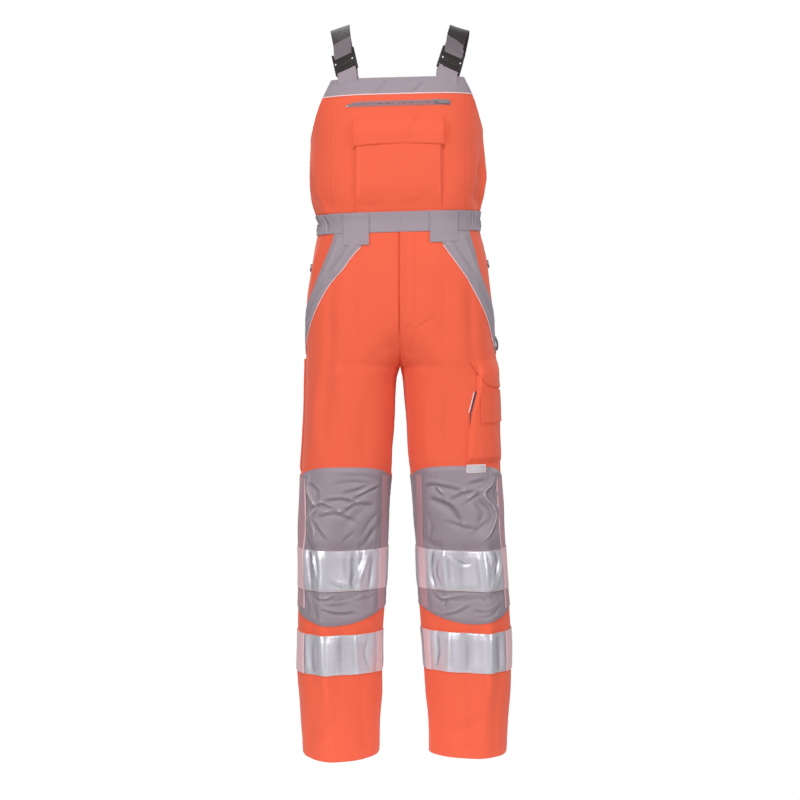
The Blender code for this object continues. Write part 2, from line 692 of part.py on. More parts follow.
def chest_flap():
    def height(u, v):
        return ON_CLOTH + (BELLOWS + PATCH + SEAM_GAP) * smooth((FLAP.top - height_at(v)) / FLAP_BEND)

    middle, half = (FLAP.right + FLAP.left) / 2, (FLAP.left - FLAP.right) / 2
    bottom = [(middle + half * t, FLAP.bottom + FLAP_ARCH * (1 - t * t)) for t in (1, 0.5, 0, -0.5, -1)]
    places = across_front([(FLAP.right, FLAP.top), (FLAP.left, FLAP.top), *bottom])
    levels = height, lambda u, v: height(u, v) + PATCH
    wall("chest_flap", "orange_cloth", places, *levels, finer=(2, 1), more=chest_lines())


# ---------------------------------------------------------------- hip pockets

# The piped edge and the mouth of each hip pocket: distance in front of the side seam, and height.
Edge = namedtuple("Edge", "right left z")
HIP_EDGE = [
    Edge(183, 176, WAIST_BOTTOM - 0.6),
    Edge(174.8, 163, -440),
    Edge(159.5, 153, -460),
    Edge(147, 140, -483),
    Edge(123, 122, -511),
    Edge(108, 107, -537),
    Edge(88, 86, -569),
    Edge(60, 64, -603),
    Edge(24, 40, -640),
]
MOUTH = [
    Edge(110.4, 93.5, WAIST_BOTTOM - 0.6),
    Edge(106, 94.5, -452),
    Edge(86, 86.5, -501),
    Edge(66, 64, -538),
    Edge(28, 26, -566),
]
HIP_END, MOUTH_END = -655, -574
HIP_GAPE = 2.0


def edge_points(rows, side):
    return [(getattr(row, SIDE_NAME[side]), row.z) for row in rows]


def hip_pockets():
    for side in (RIGHT, LEFT):
        name = SIDE_NAME[side]
        piped = edge_points(HIP_EDGE, side)
        mouth = [*edge_points(MOUTH, side), (0, MOUTH_END)]
        line = round_side(side, [*piped, (0.6, HIP_END)], closed=False)
        outline = [*line, *round_side(side, mouth[::-1], closed=False)]
        mouth_z = [-z for _, z in mouth]

        def gape(u, v, side=side, mouth=mouth, mouth_z=mouth_z):
            z = height_at(v)
            from_mouth = aside_of(side, u, v) - np.interp(-z, mouth_z, [aside for aside, _ in mouth])
            open_here = smooth((WAIST_BOTTOM - 20 - z) / 30) * smooth((z - MOUTH_END + 6) / 40)
            return ON_CLOTH + HIP_GAPE * open_here * smooth(1 - from_mouth / 34)

        wall(f"hip_panel_{name}", "grey_cloth", outline, gape, lambda u, v: gape(u, v) + PATCH, side)
        piping = strip_beside(round_side(side, piped[1:], closed=False), side, PIPING_WIDTH, SEAM_GAP)
        wall(f"hip_piping_{name}", "piping", piping, ON_CLOTH, ON_CLOTH + PATCH + 0.7, side)


# ---------------------------------------------------------------- thigh pockets, tool loop and tab

CARGO_EDGE = [(122, -692), (124, -727), (133, -765), (140, -866)]
CARGO_BACK, CARGO_RISE, CARGO_RAMP = -62, 6, 16
CARGO_FLAP_EDGE = [(135, -660), (134, -664), (127, -680), (119, -696), (110, -709), (99, -717), (86, -719.5)]
CARGO_FLAP_BACK = -67


def cargo_rise(u, v):
    """How far the cargo pocket stands off the thigh."""
    z, aside = height_at(v), aside_of(LEFT, u, v)
    front = float(np.interp(-z, [-height for _, height in CARGO_EDGE], [edge for edge, _ in CARGO_EDGE]))
    edge = min((front - aside) * 0.8, aside - CARGO_BACK, z - CARGO_EDGE[-1][1])
    return ON_CLOTH + CARGO_RISE * smooth(edge / CARGO_RAMP)


def above_cargo(height):
    return lambda u, v: cargo_rise(u, v) + PATCH + height


def cargo():
    top, bottom = CARGO_EDGE[0][1], CARGO_EDGE[-1][1]
    points = [*CARGO_EDGE, (CARGO_BACK, bottom), (CARGO_BACK, top)]
    wall("cargo_pocket", "orange_cloth", round_side(LEFT, points), cargo_rise, above_cargo(0), LEFT)

    def flap_height(u, v):
        down = smooth((CARGO_FLAP_EDGE[0][1] - height_at(v)) / (CARGO_FLAP_EDGE[0][1] - top))
        return ON_CLOTH + down * (cargo_rise(u, v) + PATCH + 2 * SEAM_GAP)

    points = [*CARGO_FLAP_EDGE, (CARGO_FLAP_BACK, -719.5), (CARGO_FLAP_BACK, -660)]
    levels = flap_height, lambda u, v: flap_height(u, v) + PATCH
    lines = [(1, row_at(top)), (1, row_at(top + 12))]
    wall("cargo_flap", "orange_cloth", round_side(LEFT, points), *levels, LEFT, more=lines)

    points = [(110, -727), (111, -787), (22, -787), (20, -727)]
    outline = round_side(LEFT, points)
    wall("phone_pocket", "orange_cloth", outline, above_cargo(2 * SEAM_GAP), above_cargo(1.8), LEFT)

    slit = round_side(LEFT, [(126.5, -727), (135.5, -766)], closed=False)
    outline = strip_beside(slit, LEFT, 2.5)
    wall("cargo_piping", "piping", outline, ON_CLOTH, ON_CLOTH + 2, LEFT)

    points = [(139, -867.4), (101, -867.4), (101, -883), (139, -883)]
    height = 3 * ON_CLOTH + PATCH
    wall("cargo_tab", "reflective_tape", round_side(LEFT, points), height, height + 1, LEFT)


TOOL_LOOP = CHEST(-13, 13, -616, -650)


def tool_loop():
    """A short loop of webbing that stands off the hip at the side."""

    def bow(u, v):
        along = (height_at(v) - TOOL_LOOP.bottom) / (TOOL_LOOP.top - TOOL_LOOP.bottom)
        return 2 * ON_CLOTH + PATCH + 6.5 * math.sin(math.pi * min(max(along, 0), 1)) ** 0.8

    t = TOOL_LOOP
    outline = round_side(LEFT, [(t.left, t.top), (t.left, t.bottom), (t.right, t.bottom), (t.right, t.top)])
    wall("tool_loop", "webbing", outline, bow, lambda u, v: bow(u, v) + 1.4, LEFT, (1, 4))


RULE = CHEST(-58, 20, -664, -888)


def rule_pocket():
    """The long pocket on the outside of the right thigh."""

    def rise(u, v):
        z, aside = height_at(v), aside_of(RIGHT, u, v)
        edge = min(RULE.left - aside, aside - RULE.right, z - RULE.bottom)
        return ON_CLOTH + 2.2 * smooth(edge / 12)

    r = RULE
    outline = round_side(RIGHT, [(r.left, r.top), (r.left, r.bottom), (r.right, r.bottom), (r.right, r.top)])
    wall("rule_pocket", "orange_cloth", outline, rise, lambda u, v: rise(u, v) + PATCH, RIGHT)


# ---------------------------------------------------------------- knees and reflective tapes

Knee = namedtuple("Knee", "top top_middle top_half bottom bottom_middle bottom_half")
KNEES = {RIGHT: Knee(-873, 158, 122, -1189, 128, 118), LEFT: Knee(-870, 150, 128, -1184, 128, 122)}
KNEE_TOP_DROP, KNEE_BOTTOM_LIFT = 24, 31
KNEE_BACK = (-895, -1157)
PATCH_INSET = 0.12  # columns between a patch or tape and the seam beside it

# Creases that the knee draws in its patch, in both patches as the photograph shows them.
Crease = namedtuple("Crease", "side aside z long wide turn out")
CREASES = [
    Crease(RIGHT, 128, -940, 34, 5, 2, -1.9),
    Crease(RIGHT, 128, -948, 36, 7, 2, 1.3),
    Crease(RIGHT, 187, -950, 30, 6, 24, -1.7),
    Crease(RIGHT, 197, -938, 30, 6, 22, 1.3),
    Crease(RIGHT, 160, -958, 34, 6, 30, -1.8),
    Crease(RIGHT, 108, -955, 24, 6, -12, -1.7),
    Crease(RIGHT, 140, -971, 34, 6, -6, -1.9),
    Crease(RIGHT, 196, -982, 40, 14, 40, -1.3),
    Crease(RIGHT, 88, -930, 34, 6, 74, 2.1),
    Crease(RIGHT, 84, -985, 32, 6, 104, 2.0),
    Crease(RIGHT, 100, -1010, 30, 9, 62, -1.4),
    Crease(LEFT, 165, -918, 40, 8, -4, -1.8),
    Crease(LEFT, 184, -926, 20, 5, -48, 1.8),
    Crease(LEFT, 150, -936, 36, 8, 10, 1.2),
    Crease(LEFT, 176, -975, 44, 12, -58, -1.9),
    Crease(LEFT, 152, -996, 40, 8, -24, -1.7),
    Crease(LEFT, 100, -965, 34, 12, 62, -1.7),
    Crease(LEFT, 84, -925, 26, 7, 60, 2.1),
    Crease(LEFT, 78, -965, 34, 6, 100, 2.1),
    Crease(LEFT, 92, -1018, 30, 8, 40, -1.5),
    Crease(RIGHT, 60, -1140, 26, 7, 30, 1.2),
    Crease(RIGHT, 150, -1143, 40, 7, -6, -1.2),
    Crease(LEFT, 150, -1140, 40, 7, 8, -1.2),
    Crease(LEFT, 80, -1148, 26, 7, -30, 1.2),
]
CREASE_BASE = 1.9  # lets a crease sink without thinning the wall


def knee_creases(side):
    taken = [crease for crease in CREASES if crease.side == side]

    def height(u, v):
        z, aside = height_at(v), aside_of(side, u, v)
        rise = 0
        for crease in taken:
            east, north, turn = aside - crease.aside, z - crease.z, math.radians(crease.turn)
            along = east * math.cos(turn) + north * math.sin(turn)
            across = north * math.cos(turn) - east * math.sin(turn)
            rise += crease.out * math.exp(-((along / crease.long) ** 2) - (across / crease.wide) ** 2)
        clear = 1 if z > TAPE_UPPER[0] else 0
        gap = (z - TAPE_UPPER[0] if clear else TAPE_UPPER[1] - z) - 2
        edge = COLUMNS / 2 - abs(u - COLUMNS / 2)
        fade = smooth(gap / 14) * smooth(edge / 0.8) * smooth((KNEES[side].top - 18 - z) / 20)
        return ON_CLOTH + PATCH + fade * max(rise + CREASE_BASE * smooth(gap / 30), 0)

    return height


def knees():
    for side, knee in KNEES.items():
        name = SIDE_NAME[side]
        first, last = PATCH_INSET, COLUMNS - PATCH_INSET
        across = [first + (last - first) * i / 12 for i in range(13)]
        top, bottom = [], []
        for u in across:
            aside = aside_of(side, u, row_at(knee.top))
            away = min(abs(aside - knee.top_middle) / knee.top_half, 1)
            top.append((u, row_at(knee.top - KNEE_TOP_DROP * away**2.6)))
            aside = aside_of(side, u, row_at(knee.bottom))
            away = min(abs(aside - knee.bottom_middle) / knee.bottom_half, 1)
            bottom.append((u, row_at(knee.bottom + KNEE_BOTTOM_LIFT * away**1.7)))
        outline = top + bottom[::-1]
        wall(f"knee_patch_{name}", "grey_cloth", outline, ON_CLOTH, knee_creases(side), side, (2, 1))
        rows = [row_at(z) for z in KNEE_BACK]
        first, last = COLUMNS + PATCH_INSET, 2 * COLUMNS - PATCH_INSET
        outline = [(first, rows[0]), (last, rows[0]), (last, rows[1]), (first, rows[1])]
        wall(f"knee_back_{name}", "grey_cloth", outline, ON_CLOTH, ON_CLOTH + PATCH, side)


TAPE = 1.0
TAPES = {"upper": {RIGHT: TAPE_UPPER, LEFT: TAPE_UPPER}, "lower": {RIGHT: TAPE_LOWER, LEFT: TAPE_LOWER}}
TAPE_RAISE = {"upper": {RIGHT: 0, LEFT: 0}, "lower": {RIGHT: -2, LEFT: 2.5}}


def tapes():
    for band in ("upper", "lower"):
        over = 2 * ON_CLOTH + PATCH if band == "upper" else ON_CLOTH
        for side in (RIGHT, LEFT):
            rows = [row_at(z + TAPE_RAISE[band][side]) for z in TAPES[band][side]]
            for half, start in (("front", 0), ("back", COLUMNS)):
                first, last = start + PATCH_INSET, start + COLUMNS - PATCH_INSET
                outline = [(first, rows[0]), (last, rows[0]), (last, rows[1]), (first, rows[1])]
                name = f"tape_{band}_{half}_{SIDE_NAME[side]}"
                wall(name, "reflective_tape", outline, over, over + TAPE, side)


# ---------------------------------------------------------------- shapes for straps and hard pieces


def unit(vector):
    vector = np.array(vector, float)
    return vector / np.linalg.norm(vector)


Place = namedtuple("Place", "origin right up out")  # a point and three directions at right angles


def moved_out(place, height):
    return place._replace(origin=place.origin + place.out * height)


def stand(piece, place):
    """Puts a piece that was made round its own origin at a place."""
    turn = Matrix([place.right, place.up, place.out]).transposed().to_4x4()
    piece.matrix_world = Matrix.Translation(place.origin * MM) @ turn


def blocks(name, finish_name, place, lines, filled):
    """A hard piece made of boxes at a place.

    lines are the cut places along its right, up and out directions, and filled says which cells are solid.
    """
    mesh = bmesh.new()
    corners = {}

    def corner(index):
        if index not in corners:
            corners[index] = mesh.verts.new([lines[axis][i] * MM for axis, i in enumerate(index)])
        return corners[index]

    spans = [range(len(line) - 1) for line in lines]
    cells = {(i, j, k) for i in spans[0] for j in spans[1] for k in spans[2] if filled(i, j, k)}
    for cell in cells:
        for axis, end in itertools.product(range(3), (0, 1)):
            beside = list(cell)
            beside[axis] += 2 * end - 1
            if tuple(beside) in cells:
                continue
            first, second = [other for other in range(3) if other != axis]
            square = []
            for a, b in ((0, 0), (1, 0), (1, 1), (0, 1)):
                index = list(cell)
                index[axis] += end
                index[first] += a
                index[second] += b
                square.append(corner(tuple(index)))
            mesh.faces.new(square)
    bmesh.ops.triangulate(mesh, faces=mesh.faces)
    stand(add_piece(name, finish_name, mesh, sharp=30), place)


def ribbon(name, finish_name, centres, across, width, thick, leave=None, arrive=None):
    """A strap through centres. across gives its direction from one edge to the other at each of them.

    leave and arrive turn its cut ends square to a direction of their own.
    """
    centres = [np.array(centre, float) for centre in centres]
    mesh = bmesh.new()
    rings = []
    for i, centre in enumerate(centres):
        ahead = unit(centres[min(i + 1, len(centres) - 1)] - centres[max(i - 1, 0)])
        if i == 0 and leave is not None:
            ahead = leave
        if i == len(centres) - 1 and arrive is not None:
            ahead = arrive
        side = unit(across[i] - np.dot(across[i], ahead) * ahead)
        out = np.cross(ahead, side)
        bend = 1
        if 0 < i < len(centres) - 1:
            bend = max(np.dot(unit(centres[i + 1] - centre), ahead), 0.7)
        corners = [(-0.5, -0.5), (0, -0.5), (0.5, -0.5), (0.5, 0.5), (0, 0.5), (-0.5, 0.5)]
        points = [centre + side * a * width + out * b * thick / bend for a, b in corners]
        rings.append([mesh.verts.new(point * MM) for point in points])
    for first, second in zip(rings, rings[1:]):
        for i in range(6):
            j = (i + 1) % 6
            mesh.faces.new((first[i], first[j], second[j], second[i]))
    mesh.faces.new(rings[0])
    mesh.faces.new(rings[-1])
    bmesh.ops.triangulate(mesh, faces=mesh.faces)
    add_piece(name, finish_name, mesh)


def disc(name, finish_name, place, profile, around=12):
    """A turned piece at a place. profile is a list of radius and height."""
    mesh = bmesh.new()
    rings = []
    for radius, height in profile:
        turns = [2 * math.pi * i / around for i in range(around if radius else 1)]
        points = [(radius * math.cos(turn), radius * math.sin(turn), height) for turn in turns]
        rings.append([mesh.verts.new([value * MM for value in point]) for point in points])
    for low, high in zip(rings, rings[1:]):
        for i in range(around):
            j = (i + 1) % around
            corners = [low[i % len(low)], low[j % len(low)], high[j % len(high)], high[i % len(high)]]
            mesh.faces.new(list(dict.fromkeys(corners)))
    bmesh.ops.triangulate(mesh, faces=mesh.faces)
    stand(add_piece(name, finish_name, mesh, sharp=30), place)


# ---------------------------------------------------------------- chest zip and side buttons

ZIP = CHEST(-104, 98, -160.1, -171.1)
ZIP_MIDDLE = (ZIP.top + ZIP.bottom) / 2
ZIP_TAPE = 0.7
SLIDER_X = 69.4


def zip_tape():
    """Both sides of the zip in one, held together at the wearer's left end."""
    half = 0.25  # half of the slit between them
    points = [(ZIP.right, ZIP.top), (ZIP.left, ZIP.top), (ZIP.left, ZIP.bottom), (ZIP.right, ZIP.bottom)]
    points += [(ZIP.right, ZIP_MIDDLE - half), (ZIP.left - 6, ZIP_MIDDLE - half)]
    points += [(ZIP.left - 6, ZIP_MIDDLE + half), (ZIP.right, ZIP_MIDDLE + half)]
    wall("zip_tape", "zip_tape", across_front(points), ON_CLOTH, ON_CLOTH + ZIP_TAPE)


# Cut places of the slider and its pull: along the zip, up the chest and out from it.
SLIDER_LINES = [[-4.5, -3, -1.9, 1.9, 3, 4.5], [-4, -0.8, 0.8, 4], [1.3, 2.6, 4.7, 5.9]]
HINGE_OUT = 3.65
PULL_LINES = [[-0.5, 0.5, 4.3, 25.3], [-3.5, -2.4, -1.2, 1.2, 2.4, 3.5], [-0.5, 0.5]]  # from its hinge


def place_on_skin(side, u, z):
    """A place on the body, with its directions to the viewer's right, up and out."""
    v = row_at(z)
    point, out = skin(u, v, side)
    right = side * (skin(u + 0.3, v, side)[0] - skin(u - 0.3, v, side)[0])
    right = unit(right - np.dot(right, out) * out)
    return Place(point, right, np.cross(out, right), out)


def zip_slider_and_pull():
    place = place_on_skin(LEFT, column_across(LEFT, SLIDER_X, ZIP_MIDDLE), ZIP_MIDDLE)

    def slider(i, j, k):
        bridge = 1 <= i <= 3 and j == 1
        return k == 0 or (bridge and (k == 2 or i != 2))

    def pull(i, j, k):
        if i == 2:
            return True
        return 1 <= j <= 3 and (i == 0 or j != 2)

    blocks("zip_slider", "metal", place, SLIDER_LINES, slider)
    blocks("zip_pull", "metal", moved_out(place, HINGE_OUT), PULL_LINES, pull)


BUTTON_UPPER_Z, BUTTON_LOWER_Z = -399, -478
BUTTON_FACE = [(8.5, 0), (8.5, 1.6), (7.4, 2.6), (5.6, 2.0), (0, 2.0)]
SHANK = 2.6  # radius


def buttons():
    """Metal buttons on a shank that stands through the cloth of the side opening."""
    for side in (RIGHT, LEFT):
        for name, z, base, shank in (
            ("upper", BUTTON_UPPER_Z, BAND_PROUD + 2 * SEAM_GAP, 2.4),
            ("lower", BUTTON_LOWER_Z, ON_CLOTH, 0.6),
        ):
            place = moved_out(place_on_skin(side, COLUMNS, z), base)
            profile = [(0, 0), (SHANK, 0), (SHANK, shank)]
            profile += [(radius, shank + height) for radius, height in BUTTON_FACE]
            disc(f"button_{name}_{SIDE_NAME[side]}", "metal", place, profile)


# ---------------------------------------------------------------- braces and buckles

WEB_WIDTH, WEB = 40, 1.4
ELASTIC = 1.6

# Where the middle of each brace runs from the buckle over the shoulder and down the back, and the direction
# across it, from its outer to its inner edge. It turns its face outwards at the shoulder.
Station = namedtuple("Station", "x y z across_x across_y across_z")
BRACES = {
    RIGHT: [
        Station(-113.6, -57, -38.5, 33, -17, 11),
        Station(-115.6, -40, -25, 34, -15, 11.3),
        Station(-117.6, -20, -12.8, 35, -9, 11.6),
        Station(-119.0, 0, -7.4, 35.7, 0, 11.8),
        Station(-118.6, 20, -12.5, 35.5, 8, 11.6),
        Station(-116.5, 40, -26.5, 35, 14, 11),
        Station(-113.0, 57, -46, 36, 14, 9),
        Station(-108.5, 71, -70, 38, 12, 6),
        Station(-103.5, 82, -98, 39, 9, 3),
    ],
    LEFT: [
        Station(108.4, -57, -37.5, -32.5, -18, 12.6),
        Station(112.5, -40, -24.6, -32.6, -17, 12),
        Station(116, -20, -13, -33, -10, 11),
        Station(118.3, 0, -7.6, -34, 0, 10.4),
        Station(119.2, 20, -12.6, -35, 8, 10.5),
        Station(117.5, 40, -26.5, -35, 14, 10.5),
        Station(113.5, 57, -46, -36, 14, 9),
        Station(107, 71, -70, -38, 12, 6),
        Station(99, 82, -98, -39, 9, 3),
    ],
}
WEB_END = 1  # the webbing runs from the buckle to the first station, and the elastic from there

# The buckle: its middle, the direction up along the brace and the direction from the outer to the inner edge.
Buckle = namedtuple("Buckle", "middle up across")
BUCKLES = {
    RIGHT: Buckle((-108.2, -87.5, -84), (-9.75, 22, 42.5), (40.25, -16, 17.5)),
    LEFT: Buckle((99.8, -87.5, -81.5), (13.3, 22, 42.3), (-40.5, -9, 17.25)),
}
BAR_UP, BAR_HALF, BAR_OUT = 21.3, (1.5, 1.3), -0.5  # the two bars that the straps turn round
TURN = 3.2  # from a bar's middle to the middle of the strap's wall
FRAME_LINES = [
    [-23.5, -20.8, 20.8, 23.5],
    [-BAR_UP - BAR_HALF[0], -BAR_UP + BAR_HALF[0], BAR_UP - BAR_HALF[0], BAR_UP + BAR_HALF[0]],
    [BAR_OUT - BAR_HALF[1], BAR_OUT + BAR_HALF[1], 5.0],
]
PLATE_LINES = [[-20.45, 20.45], [-16.5, 15.5], [3.8, 5.6]]
TAB_FRONT_END = -31
TAB_Z = -113, -130, -146  # the tab's heights inside the yoke, from its top edge down
BACK_Z = -126, -145, -163


def buckle_place(side):
    buckle = BUCKLES[side]
    up = unit(buckle.up)
    across = np.array(buckle.across, float)
    right = unit(across - np.dot(across, up) * up) * -side
    out = unit(np.cross(right, up))
    return Place(np.array(buckle.middle, float), right, up, out)


def at(place, up, out):
    return place.origin + place.up * up + place.out * out


def turn_round(place, bar, start, end, count=6):
    """Points round one of the buckle's bars, from one angle to another, where 0 is up the brace."""
    found = []
    for i in range(count + 1):
        angle = math.radians(start + (end - start) * i / count)
        found.append(at(place, bar + TURN * math.cos(angle), BAR_OUT + TURN * math.sin(angle)))
    return found


def inside_cloth(side, x, heights, front):
    """Points just inside the yoke's wall, with the direction across the strap there."""
    points, across = [], []
    for z in heights:
        offsets = -WEB_WIDTH / 2, 0, WEB_WIDTH / 2
        columns = [column_across(side, abs(x) + offset, z, front) for offset in offsets]
        inner, middle, outer = (skin(u, row_at(z), side) for u in columns)
        inner, outer, out = inner[0], outer[0], middle[1]
        chord = (outer + inner) / 2
        points.append(chord - out * (CLOTH + SEAM_GAP + ELASTIC / 2))
        across.append(unit(inner - outer))
    return points, across


def straps():
    for side in (RIGHT, LEFT):
        name = SIDE_NAME[side]
        place = buckle_place(side)
        stations = [np.array(row, float) for row in BRACES[side]]
        inner_way = -side * place.right

        points, across = inside_cloth(side, -101 if side < 0 else 90.5, TAB_Z, front=True)
        points, across = points[::-1], across[::-1]
        tab = [*points, at(place, -30, BAR_OUT - TURN), *turn_round(place, -BAR_UP, -90, 90)]
        tab.append(at(place, TAB_FRONT_END, BAR_OUT + TURN))
        across = [*across, *[inner_way] * (len(tab) - len(across))]
        ribbon(f"strap_tab_{name}", "grey_cloth", tab, across, WEB_WIDTH + 0.6, WEB)

        web = [at(place, 36, BAR_OUT - TURN), *turn_round(place, BAR_UP, 270, 90)]
        web.append(at(place, 27, BAR_OUT + TURN))
        across = [inner_way] * len(web)
        web.append(stations[0][:3])
        across.append(stations[0][3:])
        ahead = unit(stations[1][:3] - web[-2])
        ribbon(f"strap_{name}", "webbing", web, across, WEB_WIDTH, WEB, arrive=ahead)

        start = stations[0][:3] + ahead * SEAM_GAP
        points, across = inside_cloth(side, 97 * side, BACK_Z, front=False)
        elastic = [start, *[row[:3] for row in stations[1:]], *points]
        across = [*[row[3:] for row in stations], *across]
        ribbon(f"elastic_{name}", "elastic", elastic, across, WEB_WIDTH, ELASTIC, leave=ahead)

        def frame(i, j, k):
            return i != 1 or (j != 1 and k == 0)

        blocks(f"buckle_frame_{name}", "black_plastic", place, FRAME_LINES, frame)
        blocks(f"buckle_plate_{name}", "black_plastic", place, PLATE_LINES, lambda i, j, k: True)


def main():
    clear_scene()
    for make in (legs, fly, waistband, belt_loops, bib, back, yoke, chest_pocket, chest_flap, hip_pockets):
        make()
    for make in (cargo, tool_loop, rule_pocket, knees, tapes, zip_tape, zip_slider_and_pull, buttons, straps):
        make()


main()
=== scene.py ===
# %% [markdown]
# # High-visibility bib overalls, filled out as if worn
#
# The real garment is sewn from flat cuts of orange work cloth, with grey yokes, pockets and knee
# patches, silver tape round the shins and braces with side-release buckles. Nobody is inside, so what
# we see is a hollow form of cloth about a millimetre thick. This lesson makes each cut as a thin shell
# that lies on one common body form, then adds folds, seams, stitches and hard trim.
#
# All sizes are in millimetres until a mesh is made. The wearer's left is +X and the front faces -Y.

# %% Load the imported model
import math
from collections import namedtuple
from types import SimpleNamespace

import bmesh
import bpy
import numpy as np
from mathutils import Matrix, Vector

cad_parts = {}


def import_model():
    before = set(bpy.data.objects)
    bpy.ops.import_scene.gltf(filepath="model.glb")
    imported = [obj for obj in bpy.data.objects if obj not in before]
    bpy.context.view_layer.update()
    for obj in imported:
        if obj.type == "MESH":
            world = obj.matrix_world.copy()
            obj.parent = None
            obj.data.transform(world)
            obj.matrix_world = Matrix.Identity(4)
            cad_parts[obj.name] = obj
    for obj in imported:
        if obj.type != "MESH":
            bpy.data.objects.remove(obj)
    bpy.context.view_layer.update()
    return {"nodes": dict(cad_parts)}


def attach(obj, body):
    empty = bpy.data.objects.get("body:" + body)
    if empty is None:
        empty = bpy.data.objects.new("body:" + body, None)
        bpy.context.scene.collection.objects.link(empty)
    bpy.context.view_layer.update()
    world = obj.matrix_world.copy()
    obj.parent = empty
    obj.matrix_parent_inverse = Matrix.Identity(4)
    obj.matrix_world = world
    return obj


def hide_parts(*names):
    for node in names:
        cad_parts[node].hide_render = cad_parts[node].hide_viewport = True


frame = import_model()
MM = 0.001
RIGHT, LEFT = -1, 1
SIDE_NAME = {RIGHT: "right", LEFT: "left"}

# %% [markdown]
# ## The body form
#
# A worn garment is round, so it is described by level sections: half a superellipse to each side, with
# its own depth in front and behind. A tailor would call these the girths. Below the crotch each leg is a
# ring of its own. We could sculpt this by hand, but a table of girths is easy to read and to correct, and
# every piece of cloth that is laid on it fits its neighbours.

# %% Girths of the body and legs
Section = namedtuple("Section", "z right left front back crest_right crest_left crest_back power")
SECTIONS = [
    Section(-60, 163, 152, 106, 92, 40, 40, 45, 2.4),
    Section(-110, 169, 157, 112, 98, 40, 40, 45, 2.4),
    Section(-160, 174, 162, 119, 103, 42, 42, 45, 2.4),
    Section(-230, 177, 165, 122, 106, 45, 45, 48, 2.4),
    Section(-300, 181, 167, 122, 105, 45, 45, 50, 2.4),
    Section(-345, 176, 164, 120, 101, 45, 45, 50, 2.4),
    Section(-375, 167, 158, 116, 98, 45, 45, 50, 2.4),
    Section(-395, 160, 156, 114, 97, 45, 45, 50, 2.4),
    Section(-418, 165, 160, 115, 101, 46, 46, 52, 2.4),
    Section(-445, 171, 167, 118, 109, 50, 50, 56, 2.35),
    Section(-490, 178, 176, 121, 124, 56, 56, 64, 2.3),
    Section(-560, 186, 184, 122, 141, 68, 68, 76, 2.3),
    Section(-630, 187, 188, 118, 146, 82, 84, 86, 2.3),
    Section(-680, 188, 194, 113, 140, 92, 96, 92, 2.3),
    Section(-740, 190, 196, 108, 126, 98, 104, 96, 2.3),
    Section(-810, 192, 198, 103, 110, 104, 111, 100, 2.3),
    Section(-900, 199, 202, 99, 90, 116, 124, 106, 2.2),
    Section(-960, 201, 206, 97, 79, 126, 138, 112, 2.1),
    Section(-1040, 203, 209, 91, 77, 142, 162, 118, 1.95),
    Section(-1100, 202, 214, 87, 80, 146, 170, 120, 1.9),
    Section(-1190, 205, 221, 83, 82, 145, 170, 122, 1.9),
    Section(-1290, 206, 224, 80, 80, 146, 171, 122, 1.9),
    Section(-1385, 200, 218, 78, 77, 140, 164, 120, 1.95),
    Section(-1454, 195, 214, 77, 76, 134, 156, 118, 2.0),
]
Leg = namedtuple("Leg", "z inner_right inner_left crease")
LEGS = [
    Leg(-678, 0.15, 0.15, 0),
    Leg(-706, 8, 6, 0),
    Leg(-754, 10, 10, 0),
    Leg(-802, 12, 14, 0),
    Leg(-850, 16, 16, 0),
    Leg(-899, 18, 22, 0.5),
    Leg(-947, 22, 26, 1.5),
    Leg(-1044, 26, 34, 4),
    Leg(-1141, 30, 38, 5),
    Leg(-1238, 36, 46, 5),
    Leg(-1336, 36, 52, 5),
    Leg(-1385, 40, 57, 4),
    Leg(-1454, 43, 59, 3),
]
Lean = namedtuple("Lean", "z lift")
LEANS = [Lean(-60, 0.010), Lean(-115, 0.026), Lean(-420, 0.028), Lean(-600, 0), Lean(-1500, 0)]

YOKE_TOP, YOKE_SEAM, WAIST_TOP, WAIST_BOTTOM, HEM = -116, -148, -374.5, -414, -1454
BACK_YOKE_TOP, BACK_YOKE_SEAM = -132, -168
CROTCH_Z, CROTCH_Y = -678, 10
RISE_START, RISE_POWER = {"front": -530, "back": -500}, {"front": 2.6, "back": 2.3}
CREASE_HALF_WIDTH, CREASE_SOFT = 26, 2.5
HEM_DIP, HEM_DIP_START = {RIGHT: 7, LEFT: 0}, -1375
COLUMNS = 8  # from the front centre or inner seam to the side seam; 2 * COLUMNS is the back centre
CREST_COLUMN, CREST_FROM, CREST_TO = 5, -860, -1000


class Curve:
    """A smooth line through one column of a table, which never overshoots its rows."""

    def __init__(self, rows, column):
        rows = sorted(rows, key=lambda row: row.z)
        self.z = np.array([row.z for row in rows], float)
        self.value = np.array([getattr(row, column) for row in rows], float)
        rise = np.diff(self.value) / np.diff(self.z)
        before, after = rise[:-1], rise[1:]
        same_way = before * after > 0
        total = np.where(same_way, before + after, 1)
        middle = np.where(same_way, 2 * before * after / total, 0)
        self.slope = np.concatenate([rise[:1], middle, rise[-1:]])

    def __call__(self, z):
        z = np.clip(z, self.z[0], self.z[-1])
        i = np.clip(np.searchsorted(self.z, z) - 1, 0, len(self.z) - 2)
        step = self.z[i + 1] - self.z[i]
        t = (z - self.z[i]) / step
        bend = (2 * t**3 - 3 * t**2 + 1) * self.value[i] + (3 * t**2 - 2 * t**3) * self.value[i + 1]
        leave, arrive = self.slope[i] * step, self.slope[i + 1] * step
        return bend + (t**3 - 2 * t**2 + t) * leave + (t**3 - t**2) * arrive


def columns_of(rows):
    """A curve over height for each column of a table."""
    return {name: Curve(rows, name) for name in rows[0]._fields if name != "z"}


BODY, INNER, LIFT = columns_of(SECTIONS), columns_of(LEGS), Curve(LEANS, "lift")


def smooth(t):
    """An even rise from 0 to 1 that starts and ends level."""
    t = np.clip(t, 0, 1)
    return t * t * (3 - 2 * t)


# %% Level sections as points
RING_SAMPLES = 72


